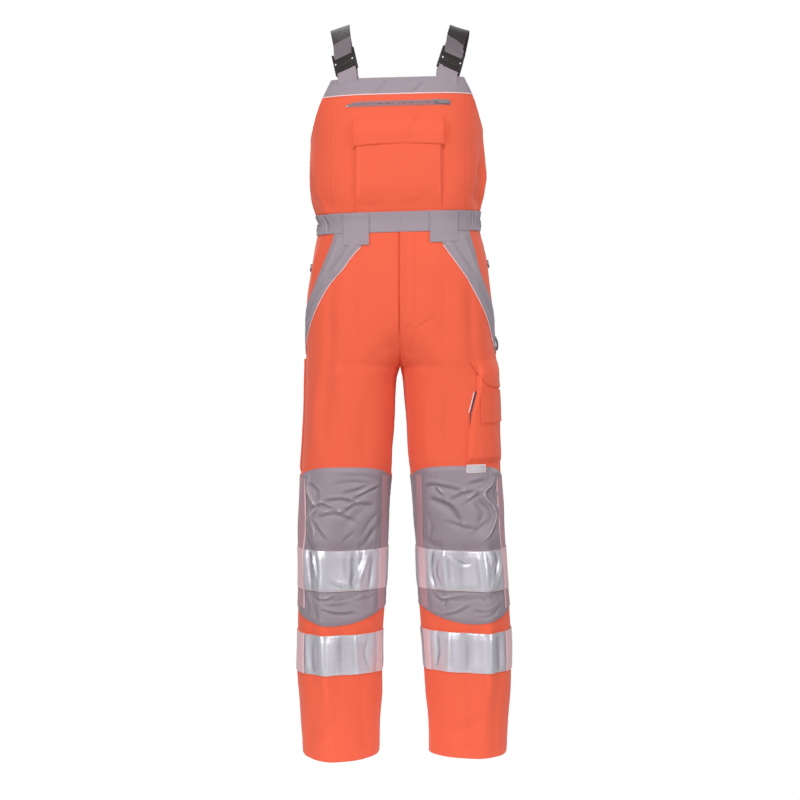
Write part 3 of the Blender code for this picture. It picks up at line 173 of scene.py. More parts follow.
def half_rings(side, half, z):
    """Points x, y of the level sections' front or back halves, from the centre or inner seam outwards."""
    name, sign = SIDE_NAME[side], {"front": -1, "back": 1}[half]
    z = np.asarray(z, float)[:, None]
    power, outer, depth = BODY["power"](z), BODY[name](z), BODY[half](z)
    crest = BODY["crest_back" if half == "back" else "crest_" + name](z)
    middle = CROTCH_Y * np.clip((z + 1000) / (CROTCH_Z + 1000), 0, 1)
    reach = sign * depth - middle
    down = np.clip((z - RISE_START[half]) / (CROTCH_Z - RISE_START[half]), 0, 1)
    still = np.minimum((1 - down ** RISE_POWER[half]) ** (1 / RISE_POWER[half]), 0.9999)
    joined = crest - crest / (1 - still**power) ** (1 / power)
    apart = INNER["inner_" + name](z)
    inner = np.where(z >= CROTCH_Z, joined, apart)
    last = np.arcsin(np.minimum((crest / (crest - joined)) ** (power / 2), 1))
    last = np.where(z >= CROTCH_Z, last, math.pi / 2)
    turn = last * np.linspace(1, 0, RING_SAMPLES)
    x = crest - (crest - inner) * np.sin(turn) ** (2 / power)
    y = middle + reach * np.maximum(np.cos(turn), 0) ** (2 / power)
    turn = np.linspace(0, math.pi / 2, RING_SAMPLES)[1:]
    x = np.hstack([x, crest + (outer - crest) * np.sin(turn) ** (2 / power)])
    y = np.hstack([y, middle + reach * np.maximum(np.cos(turn), 0) ** (2 / power)])
    away = np.sqrt((x - crest) ** 2 + CREASE_SOFT**2) - CREASE_SOFT
    fold = np.maximum(0, 1 - away / CREASE_HALF_WIDTH)
    y = y + sign * INNER["crease"](z) * fold * (1.0 if half == "front" else 0.6)
    return side * x, y


# %% [markdown]
# ## Large folds
#
# Cloth that hangs on a body falls into a few long soft folds, deeper where it is gathered or where the
# leg bends. Each row of the table is one fold: where it starts and ends, measured round the body from the
# side seam and in height, how wide it is, and how far it stands out or sinks in. They are placed from the
# photograph in front, and unevenly in the same way on the hidden sides.

# %% Table of large folds
# aside is the distance from the side seam round the body, positive in front.
Fold = namedtuple("Fold", "side aside z long wide turn out")
FOLDS = [
    Fold(RIGHT, 238, -648, 46, 17, 34, -2.2),
    Fold(LEFT, 236, -652, 44, 17, 36, -2.2),
    Fold(RIGHT, 250, -612, 30, 14, 58, 1.4),
    Fold(LEFT, 205, -588, 38, 15, 40, -1.6),
    Fold(RIGHT, 60, -470, 50, 18, 78, 3),
    Fold(LEFT, 55, -300, 60, 14, 84, -5),
    Fold(LEFT, 28, -310, 70, 16, 86, 5),
    Fold(RIGHT, 40, -330, 40, 16, 70, -4),
    Fold(LEFT, 70, -350, 45, 14, 12, -4),
    Fold(RIGHT, 95, -352, 40, 14, -14, -3),
    Fold(RIGHT, -70, -330, 60, 18, 20, -5),
    Fold(LEFT, -82, -338, 55, 18, -16, -5),
    Fold(RIGHT, -150, -300, 50, 20, 64, 5),
    Fold(LEFT, -140, -290, 60, 20, -70, 5),
    Fold(RIGHT, -120, -650, 70, 18, -28, -6),
    Fold(LEFT, -115, -660, 74, 18, 26, -6),
    Fold(RIGHT, -140, -700, 60, 16, -20, 5),
    Fold(LEFT, -150, -712, 60, 17, 22, 5),
    Fold(RIGHT, -100, -905, 70, 15, 12, -5),
    Fold(LEFT, -110, -915, 66, 15, -10, -5),
    Fold(RIGHT, -120, -1175, 60, 16, -14, -4),
    Fold(LEFT, -110, -1168, 60, 16, 12, -4),
    Fold(RIGHT, 80, -1400, 55, 15, 24, -5),
    Fold(LEFT, 150, -1390, 50, 15, -20, -4),
    Fold(RIGHT, -90, -1405, 50, 16, -18, 5),
    Fold(LEFT, -95, -1398, 55, 16, 16, 5),
]


def fold_height(side, aside, z):
    """How far the large folds move the cloth out."""
    height = np.zeros(np.broadcast(aside, z).shape)
    for fold in FOLDS:
        if fold.side != side:
            continue
        east, north, turn = aside - fold.aside, z - fold.z, math.radians(fold.turn)
        along = east * math.cos(turn) + north * math.sin(turn)
        across = north * math.cos(turn) - east * math.sin(turn)
        height += fold.out * np.exp(-((along / fold.long) ** 2) - (across / fold.wide) ** 2)
    return height


SWAYS = ((71, 210, 0.3, 0.35), (118, 150, 1.9, 0.4), (190, 96, 4.1, 0.35))  # mm round, mm down, phase, out


def sway(side, aside, z):
    """The slight unevenness of cloth that nothing stretches."""
    waves = [
        out * np.sin(aside / round_by * 6.28 + phase * side) * np.sin(z / down_by * 6.28 + phase)
        for round_by, down_by, phase, out in SWAYS
    ]
    return sum(waves)


# %% [markdown]
# ## Creases as lines
#
# A crease isn't an even wave. It starts at a seam or where the cloth is squeezed, runs a little way, bends
# and fades. So each one is drawn as a line of points on the cloth, with its own width and depth. A
# trough often has a lip beside it, where the cloth that was pushed aside stands up. Noise would spread the
# same wrinkle everywhere, and the eye sees that at once.

# %% How a crease lifts the cloth
# points are distances in front of the side seam and heights. lip is the height of the edge to the left of
# the line as it is drawn, or to the right when the trough is negative and the lip is given as negative too.
Crease = namedtuple("Crease", "side points wide out lip", defaults=(0,))
CREASE_TIP = 0.7  # how round a crease is at its bottom
BROAD = 7.5  # a crease wider than this is a soft valley, not a sharp line


def lengths_along(points):
    """The length of a line from its start to each of its points."""
    return np.append(0, np.cumsum(np.linalg.norm(np.diff(points, axis=0), axis=1)))


def read_at(wanted, known, values):
    """Rows of values at wanted places, read in between the rows at known ones."""
    return np.column_stack([np.interp(wanted, known, column) for column in values.T])


def through(points, step=5, soft=True):
    """A line through points: straight between two, otherwise a smooth curve when soft."""
    points = np.array(points, float)
    knots = lengths_along(points)
    count = max(2, int(math.ceil(knots[-1] / step)) + 1)
    at = np.unique(np.concatenate([np.linspace(0, knots[-1], count), knots]))
    if not soft or len(points) < 3:
        return read_at(at, knots, points)
    slope = np.gradient(points, knots, axis=0)
    i = np.clip(np.searchsorted(knots, at, side="right") - 1, 0, len(knots) - 2)
    wide = (knots[i + 1] - knots[i])[:, None]
    t = ((at - knots[i])[:, None]) / wide
    bend = (2 * t**3 - 3 * t**2 + 1) * points[i] + (3 * t**2 - 2 * t**3) * points[i + 1]
    return bend + (t**3 - 2 * t**2 + t) * slope[i] * wide + (t**3 - t**2) * slope[i + 1] * wide


def near_line(line, east, north):
    """The nearest point of a line to each place: distance, left (+) or right (-), and share along it."""
    step = np.diff(line, axis=0)
    long = np.hypot(step[:, 0], step[:, 1])
    before = np.append(0, np.cumsum(long))
    from_x, from_z = east[:, None] - line[:-1, 0], north[:, None] - line[:-1, 1]
    t = np.clip((from_x * step[:, 0] + from_z * step[:, 1]) / long**2, 0, 1)
    off_x, off_z = from_x - t * step[:, 0], from_z - t * step[:, 1]
    away = np.hypot(off_x, off_z)
    nearest = np.argmin(away, axis=1)
    rows = np.arange(len(east))
    turn = step[nearest, 0] * off_z[rows, nearest] - step[nearest, 1] * off_x[rows, nearest]
    share = (before[nearest] + t[rows, nearest] * long[nearest]) / before[-1]
    return away[rows, nearest] * np.where(turn < 0, -1, 1), share


def crease_heights(creases, side, aside, z):
    """How far creases lift each place, from distances in front of the side seam and heights."""
    aside, z = np.broadcast_arrays(aside, z)
    height = np.zeros(aside.shape)
    sides = np.broadcast_to(side, aside.shape)
    for crease in creases:
        line = through(crease.points, step=5)
        reach = 3.2 * crease.wide
        (low_x, low_z), (high_x, high_z) = line.min(axis=0) - reach, line.max(axis=0) + reach
        near = (sides == crease.side) & (aside > low_x) & (aside < high_x) & (z > low_z) & (z < high_z)
        if not np.any(near):
            continue
        away, share = near_line(line, aside[near], z[near])
        depth = np.sqrt(np.maximum(np.sin(math.pi * (0.06 + 0.88 * share)), 0))
        if crease.wide > BROAD:
            form = np.exp(-((away / crease.wide) ** 2))
        else:
            form = np.exp((CREASE_TIP - np.sqrt(away**2 + CREASE_TIP**2)) / crease.wide * 1.25)
        lip_at = math.copysign(1.9 * crease.wide, crease.lip)
        lip = abs(crease.lip) * np.exp(-(((away - lip_at) / crease.wide) ** 2))
        height[near] += depth * (crease.out * form + lip)
    return height


# %% Creases that every layer follows
# Knee, thigh, shin and hem folds bend the patches and tapes along with the cloth under them.
DEEPER = 1.35
DEEP_CREASES = [
    # soft shade down the thighs, with a lit strip beside it
    Crease(RIGHT, [(128, -505), (131, -570), (134, -640), (123, -720), (112, -826)], 13, -3.4),
    Crease(RIGHT, [(98, -700), (92, -750), (84, -826)], 8, 2.4),
    Crease(RIGHT, [(176, -470), (186, -560), (192, -640)], 15, -2.2),
    Crease(RIGHT, [(196, -760), (190, -810), (196, -866)], 12, -2.2),
    Crease(RIGHT, [(150, -690), (156, -760), (150, -850)], 10, 1.8),
    Crease(LEFT, [(124, -520), (128, -590), (129, -640), (128, -690)], 13, -3.2),
    Crease(LEFT, [(176, -500), (184, -570), (188, -650)], 14, -2.4),
    Crease(LEFT, [(182, -730), (188, -790), (176, -862)], 13, -2.6),
    Crease(LEFT, [(216, -730), (222, -800), (214, -868)], 10, 1.8),
    # the crotch
    Crease(RIGHT, [(262, -634), (274, -650)], 3, -1.3, 0.6),
    Crease(RIGHT, [(240, -622), (256, -640), (264, -664)], 8, -1.2, 0.5),
    Crease(LEFT, [(268, -648), (252, -650)], 3, -1.2, 0.6),
    Crease(LEFT, [(244, -618), (254, -640), (260, -668)], 8, -1.2, -0.5),
    Crease(LEFT, [(199, -577), (222, -588), (244, -604)], 2.4, -1.5, 0.3),
    # broad hollows in the knees
    Crease(RIGHT, [(153, -990), (180, -965), (209, -947)], 9, -2.4),
    Crease(RIGHT, [(188, -1031), (215, -1005), (242, -980)], 10, -2.8),
    Crease(LEFT, [(208, -938), (186, -946), (170, -956), (156, -980)], 9, -3.0),
    Crease(LEFT, [(124, -941), (100, -946), (86, -954), (86, -994)], 10, -2.6),
    Crease(LEFT, [(240, -1015), (218, -1026), (196, -1031)], 8, -2.2),
    # facets of the shin, which the tapes show as bright and dark fields
    Crease(RIGHT, [(82, -1020), (80, -1070), (84, -1135)], 9, -3.6),
    Crease(RIGHT, [(102, -1024), (101, -1070), (106, -1160)], 6, 2.0),
    Crease(RIGHT, [(60, -1030), (62, -1120)], 7, 1.8),
    Crease(RIGHT, [(160, -1034), (158, -1080), (166, -1130)], 10, -1.6),
    Crease(RIGHT, [(181, -1024), (179, -1075), (186, -1140)], 6.5, 1.8),
    Crease(RIGHT, [(208, -1020), (206, -1080), (200, -1150)], 9, -1.6),
    Crease(RIGHT, [(104, -1180), (107, -1240), (110, -1330)], 9, 2.6),
    Crease(RIGHT, [(80, -1190), (78, -1250), (84, -1310)], 11, -2.4),
    Crease(RIGHT, [(54, -1196), (54, -1250), (58, -1300)], 7, 1.8),
    Crease(RIGHT, [(138, -1190), (140, -1250), (132, -1320)], 11, -1.8),
    Crease(RIGHT, [(170, -1196), (171, -1240), (176, -1300)], 6.5, 1.4),
    Crease(LEFT, [(112, -1030), (108, -1080), (104, -1140)], 7, 2.4),
    Crease(LEFT, [(86, -1030), (84, -1120)], 11, -2.4),
    Crease(LEFT, [(150, -1034), (156, -1080), (150, -1140)], 11, -2.0),
    Crease(LEFT, [(188, -1026), (190, -1080), (182, -1146)], 6.5, 1.8),
    Crease(LEFT, [(216, -1030), (214, -1120)], 9, -1.6),
    Crease(LEFT, [(100, -1180), (102, -1235), (98, -1326)], 9, 2.6),
    Crease(LEFT, [(76, -1190), (78, -1240), (72, -1310)], 11, -2.4),
    Crease(LEFT, [(51, -1196), (51, -1290)], 7, 1.6),
    Crease(LEFT, [(146, -1188), (144, -1240), (150, -1316)], 12, -2.0),
    Crease(LEFT, [(182, -1196), (182, -1240), (188, -1306)], 6.5, 1.6),
    Crease(LEFT, [(208, -1190), (210, -1290)], 9, -1.6),
    Crease(LEFT, [(232, -1196), (231, -1280)], 6, 1.2),
    # above the hem
    Crease(RIGHT, [(52, -1452), (66, -1390), (100, -1320)], 12, -1.8),
    Crease(RIGHT, [(140, -1454), (136, -1400), (150, -1320)], 12, 1.6),
    Crease(RIGHT, [(186, -1452), (180, -1390), (186, -1310)], 14, -2.2),
    Crease(LEFT, [(70, -1452), (80, -1380), (76, -1310)], 13, -2.0),
    Crease(LEFT, [(128, -1454), (118, -1400), (126, -1330)], 12, 1.4),
    Crease(LEFT, [(196, -1452), (200, -1400), (214, -1340)], 13, -1.6),
    # bib, yoke and waist
    Crease(LEFT, [(206, -180), (222, -205), (230, -232)], 9, -1.6),
    Crease(LEFT, [(60, -292), (74, -320), (70, -362)], 10, -3.0),
    Crease(LEFT, [(30, -300), (40, -330), (36, -366)], 9, 2.6),
    Crease(RIGHT, [(44, -300), (56, -330), (50, -366)], 10, -3.0),
    Crease(RIGHT, [(76, -330), (90, -350), (94, -372)], 8, 1.8),
    Crease(LEFT, [(228, -151), (212, -140), (198, -129)], 4, -1.6, 1.0),
    Crease(RIGHT, [(124, -130), (134, -117)], 4, -1.4, 0.8),
    Crease(RIGHT, [(196, -147), (214, -136), (222, -120)], 5, -1.0, 0.6),
    # the back, where the photograph can't be seen: as uneven as the front
    Crease(RIGHT, [(-60, -500), (-96, -548), (-150, -580)], 11, -3.0),
    Crease(LEFT, [(-56, -512), (-104, -552), (-146, -590)], 11, -3.0),
    Crease(RIGHT, [(-206, -606), (-168, -652), (-110, -690)], 10, -3.4),
    Crease(LEFT, [(-212, -600), (-176, -656), (-120, -700)], 10, -3.4),
    Crease(RIGHT, [(-196, -650), (-150, -690), (-96, -716)], 8, 2.4),
    Crease(LEFT, [(-200, -646), (-150, -694), (-108, -724)], 8, 2.4),
    Crease(RIGHT, [(-60, -896), (-110, -915), (-176, -908)], 8, -3.6, 1.2),
    Crease(RIGHT, [(-76, -936), (-120, -950), (-190, -938)], 6, -3.2, 1.4),
    Crease(RIGHT, [(-96, -968), (-140, -980), (-182, -972)], 6, -2.4, 1.0),
    Crease(LEFT, [(-66, -902), (-120, -918), (-180, -904)], 8, -3.6, 1.2),
    Crease(LEFT, [(-84, -944), (-130, -952), (-196, -944)], 6, -3.2, 1.4),
    Crease(LEFT, [(-90, -980), (-136, -988), (-180, -976)], 6, -2.2, 1.0),
    Crease(RIGHT, [(-90, -1030), (-84, -1080), (-92, -1140)], 9, -2.6),
    Crease(RIGHT, [(-150, -1030), (-156, -1090), (-148, -1140)], 7, 2.0),
    Crease(LEFT, [(-96, -1030), (-100, -1080), (-92, -1140)], 9, -2.6),
    Crease(LEFT, [(-146, -1030), (-140, -1130)], 7, 2.0),
    Crease(RIGHT, [(-110, -1190), (-104, -1250), (-112, -1316)], 10, -2.4),
    Crease(LEFT, [(-120, -1190), (-126, -1250), (-116, -1316)], 10, -2.4),
    Crease(RIGHT, [(-70, -1452), (-84, -1400), (-120, -1350)], 10, -3.0),
    Crease(LEFT, [(-84, -1452), (-100, -1396), (-140, -1350)], 10, -3.0),
    Crease(RIGHT, [(-150, -1454), (-156, -1400)], 8, 2.2),
    Crease(LEFT, [(-36, -1452), (-44, -1390)], 8, 2.0),
    Crease(RIGHT, [(-60, -366), (-76, -336), (-70, -290)], 10, -3.0),
    Crease(LEFT, [(-64, -368), (-58, -330), (-72, -286)], 10, -3.2),
    Crease(RIGHT, [(-130, -370), (-140, -330)], 9, -2.2),
    Crease(LEFT, [(-120, -370), (-136, -326)], 9, -2.2),
]


# %% Lay the body form out as fine grids
FINE = 16  # grid lines to a column
HEIGHT_STEP = 2.0
HEIGHTS = np.arange(-1464, -56, HEIGHT_STEP)


def unit(vectors):
    """Vectors brought to length 1."""
    vectors = np.asarray(vectors, float)
    return vectors / np.maximum(np.linalg.norm(vectors, axis=-1, keepdims=True), 1e-12)


def half_grid(side, half):
    """Points x, y at every fine column of one half, for all heights."""
    x, y = half_rings(side, half, HEIGHTS)
    along = np.cumsum(np.hypot(np.diff(x, axis=1), np.diff(y, axis=1)), axis=1)
    along = np.hstack([np.zeros((len(HEIGHTS), 1)), along])
    at_crest = along[:, RING_SAMPLES - 1] / along[:, -1]
    tied = np.clip((HEIGHTS - CREST_FROM) / (CREST_TO - CREST_FROM), 0, 1)
    even = CREST_COLUMN / COLUMNS
    bend = (even + tied * (at_crest - even))[:, None]
    t = np.linspace(0, 1, COLUMNS * FINE + 1)[None]
    share = np.where(t <= even, t / even * bend, bend + (t - even) / (1 - even) * (1 - bend))
    wanted = share * along[:, -1:]
    rows = range(len(HEIGHTS))
    return [np.array([np.interp(wanted[i], along[i], values[i]) for i in rows]) for values in (x, y)]


def eased(points):
    """The points with the bend where legs meet body softened, but not at the crotch itself."""
    line = np.arange(points.shape[1])
    from_inner = np.minimum(line, line[-1] - line) / FINE
    share = np.exp(-(((HEIGHTS - CROTCH_Z) / 26) ** 4))[:, None] * smooth((from_inner - 0.5) / 1.5)
    weights = np.exp(-((np.arange(-9, 10) / 4.5) ** 2))
    padded = np.pad(points, ((9, 9), (0, 0), (0, 0)), mode="edge")
    soft = sum(weight * padded[i : i + len(points)] for i, weight in enumerate(weights / weights.sum()))
    return points + (soft - points) * share[..., None]


def body_grid(side):
    """The smooth cloth of one side: points, outward directions and distances round from the side seam."""
    front, back = half_grid(side, "front"), half_grid(side, "back")
    x, y = (np.hstack([front[i], back[i][:, -2::-1]]) for i in (0, 1))
    z = HEIGHTS[:, None]
    dip = np.clip((z - HEM_DIP_START) / (HEM - HEM_DIP_START), 0, 1) * HEM_DIP[side]
    forward = np.maximum(0, -y / BODY["front"](z))
    points = np.stack([x, y, z + LIFT(z) * x - dip * forward], axis=-1)
    points = eased(points)
    steps = np.linalg.norm(np.diff(points, axis=1), axis=2)
    around = np.hstack([np.zeros((len(z), 1)), np.cumsum(steps, axis=1)])
    aside = around[:, COLUMNS * FINE, None] - around
    across = np.gradient(points, axis=1)
    legs = HEIGHTS < CROTCH_Z
    across[legs, 0] = across[legs, -1] = points[legs, 1] - points[legs, -2]
    out = unit(np.cross(across, np.gradient(points, axis=0)) * side)
    folds = DEEPER * crease_heights(DEEP_CREASES, side, aside, z)
    moved = fold_height(side, aside, z) + sway(side, aside, z) + folds
    return points + out * moved[..., None], out, aside


GRID = {side: body_grid(side) for side in (RIGHT, LEFT)}
print("body form:", GRID[LEFT][0].shape[0], "rows of", GRID[LEFT][0].shape[1], "columns a side")

# %% [markdown]
# ## Finding a place on the body
#
# Every piece is cut in two numbers: how far round the body, in columns, and how high. Columns run from -16
# at the wearer's right through 0 at the front centre to 8 at the left side seam, 16 at the back centre and
# 24 at the right side seam, so a piece may cross the middle. These helpers turn such a place into a point,
# and turn a measured distance into a column.


# %% Places on the body
def look(table, column, z):
    """Reads one of the body's grids between its lines."""
    i = np.clip((z - HEIGHTS[0]) / HEIGHT_STEP, 0, table.shape[0] - 1.001)
    j = np.clip(column * FINE, 0, table.shape[1] - 1.001)
    row, line = i.astype(int), j.astype(int)
    up, right = i - row, j - line
    if table.ndim == 3:
        up, right = up[..., None], right[..., None]
    low = table[row, line] * (1 - right) + table[row, line + 1] * right
    high = table[row + 1, line] * (1 - right) + table[row + 1, line + 1] * right
    return low * (1 - up) + high * up


def locate(where, z, side):
    """The side and column of places.

    Cloth that runs on past a seam goes round the leg, or across the middle above the crotch.
    """
    last = 2 * COLUMNS
    if side is None:
        sides = np.where((where < 0) | (where > last), RIGHT, LEFT)
        return sides, np.where(where < 0, -where, np.where(where > last, 2 * last - where, where))
    column = where if side == LEFT else np.where(where < COLUMNS, -where, 2 * last - where)
    over = (column < 0) | (column > last)
    across = over & (z >= CROTCH_Z)
    sides = np.where(across, -side, side)
    mirrored = np.where(column < 0, -column, 2 * last - column)
    return sides, np.where(across, mirrored, np.where(over, np.mod(column, last), column))


def cloth_at(where, z, side=None):
    """Points, outward directions and distances from the side seam at columns `where` and heights z."""
    where, z = np.broadcast_arrays(np.asarray(where, float), np.asarray(z, float))
    sides, column = locate(where, z, side)
    is_left = sides == LEFT
    right, left = ([look(table, column, z) for table in GRID[way]] for way in (RIGHT, LEFT))
    wide = is_left[..., None]
    point, out = np.where(wide, left[0], right[0]), np.where(wide, left[1], right[1])
    return point, unit(out), np.where(is_left, left[2], right[2]), sides


def row_of(table, z):
    """One level row of a grid, read between its rows."""
    i = min(max((z - HEIGHTS[0]) / HEIGHT_STEP, 0), len(HEIGHTS) - 1.001)
    row = int(i)
    return table[row] * (1 - i + row) + table[row + 1] * (i - row)


FINE_COLUMNS = np.arange(2 * COLUMNS * FINE + 1) / FINE


def column_aside(side, aside, z):
    """The signed column that lies this far from the side seam round the body, positive in front."""
    return side * float(np.interp(-aside, -row_of(GRID[side][2], z), FINE_COLUMNS))


def column_across(side, x, z, half="front"):
    """The signed column, in front or behind, that lies this far from the middle."""
    across = np.abs(row_of(GRID[side][0], z)[:, 0])
    middle = COLUMNS * FINE
    across = across[: middle + 1] if half == "front" else across[middle:][::-1]
    column = float(np.interp(abs(x), np.maximum.accumulate(across), FINE_COLUMNS[: middle + 1]))
    if half == "front":
        return side * column
    return 2 * COLUMNS + column if side == RIGHT else 2 * COLUMNS - column


def by_girth(side, points, soft=True):
    """An edge from points given as distance in front of the side seam and height."""
    return np.array([(column_aside(side, aside, z), z) for aside, z in through(points, soft=soft)])


def by_x(points, side=None, soft=True):
    """An edge on the front from points given as x and height."""
    found = []
    for x, z in through(points, soft=soft):
        way = side or (LEFT if x >= 0 else RIGHT)
        found.append((column_across(way, x, z), z))
    return np.array(found)


def upright(where, low, high):
    """An edge that follows one column upwards."""
    return through([(where, low), (where, high)])


def level(z, start, end, count=60):
    """An edge that follows one height from one column to another."""
    return np.column_stack([np.linspace(start, end, count), np.full(count, z)])

# %% [markdown]
# ## Finishes
#
# The photograph shows a dense work cloth with a faint twill, two greys of it, ribbed webbing, a dark
# elastic, glass-bead tape and a little plastic and metal. Each finish is a node material. The weave follows
# the cut, because every piece of cloth stores its own measured coordinates in a mesh attribute: millimetres
# across, millimetres up, and millimetres from the nearest edge. A texture image would need unwrapping, and
# this way the thread size is right on each piece.
#
# Painted shade makes the cloth a little darker in its creases, and a painted highlight makes it paler along
# their ridges. A second attribute, `hollow`, says how deep each point lies under its neighbours, and it
# shifts the tone both ways.

# %% Small tools for node materials
FINISHED = {}


def scaled(colour, share):
    """A colour with each channel multiplied, up to full."""
    return tuple(min(channel * share, 1) for channel in colour)


class Finish:
    """A node material under construction. Each method adds one node and gives back its output."""

    def __init__(self, name, colour, roughness, metallic=0.0, sheen=0.0):
        self.material = bpy.data.materials.new(name)
        self.material.use_nodes = True
        self.tree = self.material.node_tree
        self.shader = self.tree.nodes["Principled BSDF"]
        self.set("Base Color", (*colour, 1))
        self.set("Roughness", roughness)
        self.set("Metallic", metallic)
        self.set("Sheen Weight", sheen)
        self.set("Sheen Roughness", 0.45)
        self.colour = colour
        FINISHED[name] = self.material

    def set(self, socket, value):
        """A value that is the same all over the surface."""
        self.shader.inputs[socket].default_value = value

    def add(self, kind, links=(), **values):
        """One node, with its links, settings and input values."""
        node = self.tree.nodes.new(kind)
        inputs = values.pop("inputs", {})
        for name, value in values.items():
            setattr(node, name, value)
        for name, value in inputs.items():
            node.inputs[name].default_value = value
        for name, source in dict(links).items():
            self.tree.links.new(source, node.inputs[name])
        return node

    def cloth(self, part=None):
        """The cloth coordinates, or one of them: 0 across, 1 up, 2 from the edge, in millimetres."""
        vector = self.add("ShaderNodeAttribute", attribute_name="cloth").outputs["Vector"]
        if part is None:
            return vector
        return self.add("ShaderNodeSeparateXYZ", {"Vector": vector}).outputs[part]

    def painted_shading(self, tone, hollow_share, crest, crest_share, crest_from, crest_to):
        """The tone with painted shade in crease hollows, and a painted highlight in the crest colour on
        their ridges.
        """
        sunk = self.add("ShaderNodeAttribute", attribute_name="hollow").outputs["Fac"]
        tone = self.mixed(self.ranged(sunk, 0.1, 1.8, 0, hollow_share), tone, scaled(self.colour, 0.4))
        return self.mixed(self.ranged(sunk, -crest_from, -crest_to, 0, crest_share), tone, crest)

    def place(self):
        """Object coordinates, in metres, for pieces that aren't cloth."""
        return self.add("ShaderNodeTexCoord").outputs["Object"]

    def turned(self, vector, degrees=0, scale=(1, 1, 1)):
        """Coordinates turned and stretched."""
        turn = {"Rotation": (0, 0, math.radians(degrees)), "Scale": scale}
        return self.add("ShaderNodeMapping", {"Vector": vector}, inputs=turn).outputs[0]

    def noise(self, vector, scale, detail=2.0, rough=0.5):
        """Soft uneven patches between 0 and 1."""
        settings = {"Scale": scale, "Detail": detail, "Roughness": rough}
        return self.add("ShaderNodeTexNoise", {"Vector": vector}, inputs=settings).outputs["Fac"]

    def bands(self, vector, pitch, axis="X", distort=0.0):
        """Smooth ridges, one each `pitch` of the vector's units."""
        settings = {"Scale": math.pi / 10 / pitch, "Distortion": distort, "Detail": 1.0}
        node = self.add("ShaderNodeTexWave", {"Vector": vector}, bands_direction=axis, inputs=settings)
        return node.outputs["Fac"]

    def ranged(self, value, low, high, to_low, to_high):
        """A value moved from one range to another."""
        settings = {"From Min": low, "From Max": high, "To Min": to_low, "To Max": to_high}
        return self.add("ShaderNodeMapRange", {"Value": value}, inputs=settings).outputs["Result"]

    def math(self, operation, first, second):
        """Two values combined, each a number or a node's output."""
        node = self.add("ShaderNodeMath", operation=operation)
        for i, value in enumerate((first, second)):
            if isinstance(value, (int, float)):
                node.inputs[i].default_value = value
            else:
                self.tree.links.new(value, node.inputs[i])
        return node.outputs[0]

    def mixed(self, share, first, second):
        """A colour between two others. Each may be three numbers or another node's output."""
        node = self.add("ShaderNodeMix", {"Factor": share}, data_type="RGBA")
        for name, value in (("A", first), ("B", second)):
            socket = [i for i in node.inputs if i.name == name and i.type == "RGBA"][0]
            if isinstance(value, tuple):
                socket.default_value = (*value, 1)
            else:
                self.tree.links.new(value, socket)
        return [output for output in node.outputs if output.type == "RGBA"][0]

    def shaded(self, share, amount):
        """The colour darkened or lightened by amount where share is 1."""
        return self.mixed(share, self.colour, scaled(self.colour, 1 + amount))

    def feed(self, socket, value):
        """Links a node's output to one of the shader's sockets."""
        self.tree.links.new(value, self.shader.inputs[socket])

    def paint(self, colour):
        """The surface's own colour."""
        self.feed("Base Color", colour)

    def relief(self, height, deep, strength=1.0, under=None):
        """Bump of this real depth, in millimetres."""
        settings = {"Strength": strength, "Distance": deep * MM}
        links = {"Height": height}
        if under is not None:
            links["Normal"] = under
        made = self.add("ShaderNodeBump", links, inputs=settings).outputs["Normal"]
        self.feed("Normal", made)
        return made


# %% [markdown]
# ### Work cloth
#
# A 2/1 twill has fine diagonal ribs about 0.8 mm apart, crossed by the weft. Light falls off it softly, with
# a little fuzz at grazing angles. The orange is fluorescent: part of its red is light that the dye gives
# back, so its shaded places stay saturated. A small constant emission of the dye's own colour stands in for
# that, a painted glow that shines the same where no light falls.

# %% Cloth finishes
ORANGE, GREY = (0.665, 0.092, 0.041), (0.318, 0.264, 0.304)
PATCH = (0.285, 0.230, 0.268)


def twill(name, colour, roughness=0.8, rib=0.8, deep=0.10, sheen=0.12, painted_shading=0.10, crest=None):
    """Twill work cloth with a slightly uneven dye, painted shade along its turned edges and in crease
    hollows, and a painted highlight on crease ridges.
    """
    cloth = Finish(name, colour, roughness, sheen=sheen)
    across, edge = cloth.cloth(), cloth.cloth(2)
    ribs = cloth.bands(cloth.turned(across, 58), rib, distort=0.6)
    weft = cloth.bands(across, 0.62, axis="Y", distort=0.4)
    woven = cloth.math("MULTIPLY", cloth.ranged(weft, 0, 1, 0.72, 1), ribs)
    slub = cloth.noise(cloth.turned(across, 0, (0.9, 0.12, 1)), 1.0, 3)
    dye = cloth.noise(cloth.turned(across, 20, (0.012, 0.008, 1)), 1.0, 3)
    tone = cloth.shaded(cloth.ranged(woven, 0, 1, 0.35, 0), -0.30)
    tone = cloth.mixed(cloth.ranged(dye, 0.3, 0.7, 0, 0.12), tone, scaled(colour, 0.8))
    tone = cloth.mixed(cloth.ranged(slub, 0.45, 0.75, 0, 0.10), tone, scaled(colour, 1.2))
    # painted shade in crease hollows, and a painted highlight on crease ridges in the crest colour
    ridges = (0.55, 2.8, 5.0) if crest else (0.25, 0.5, 2.0)
    tone = cloth.painted_shading(tone, 0.3, crest or scaled(colour, 1.3), *ridges)
    # painted shade along the panel's edges, darker within about 1.4 mm of each edge
    rim = cloth.ranged(edge, 0.2, 1.4, painted_shading, 0)
    cloth.paint(cloth.mixed(rim, tone, scaled(colour, 0.55)))
    crumple = cloth.noise(cloth.turned(across, 0, (0.05, 0.05, 1)), 1.0, 4, 0.55)
    under = cloth.relief(crumple, 1.1, 0.16)
    cloth.relief(woven, deep, 0.9, under)
    return cloth


orange = twill("orange_cloth", ORANGE)
# a painted glow: the dye's fluorescence as a constant emission, the same in light and in shade
orange.set("Emission Color", (1.0, 0.105, 0.03, 1))
orange.set("Emission Strength", 0.16)
twill("grey_cloth", GREY)
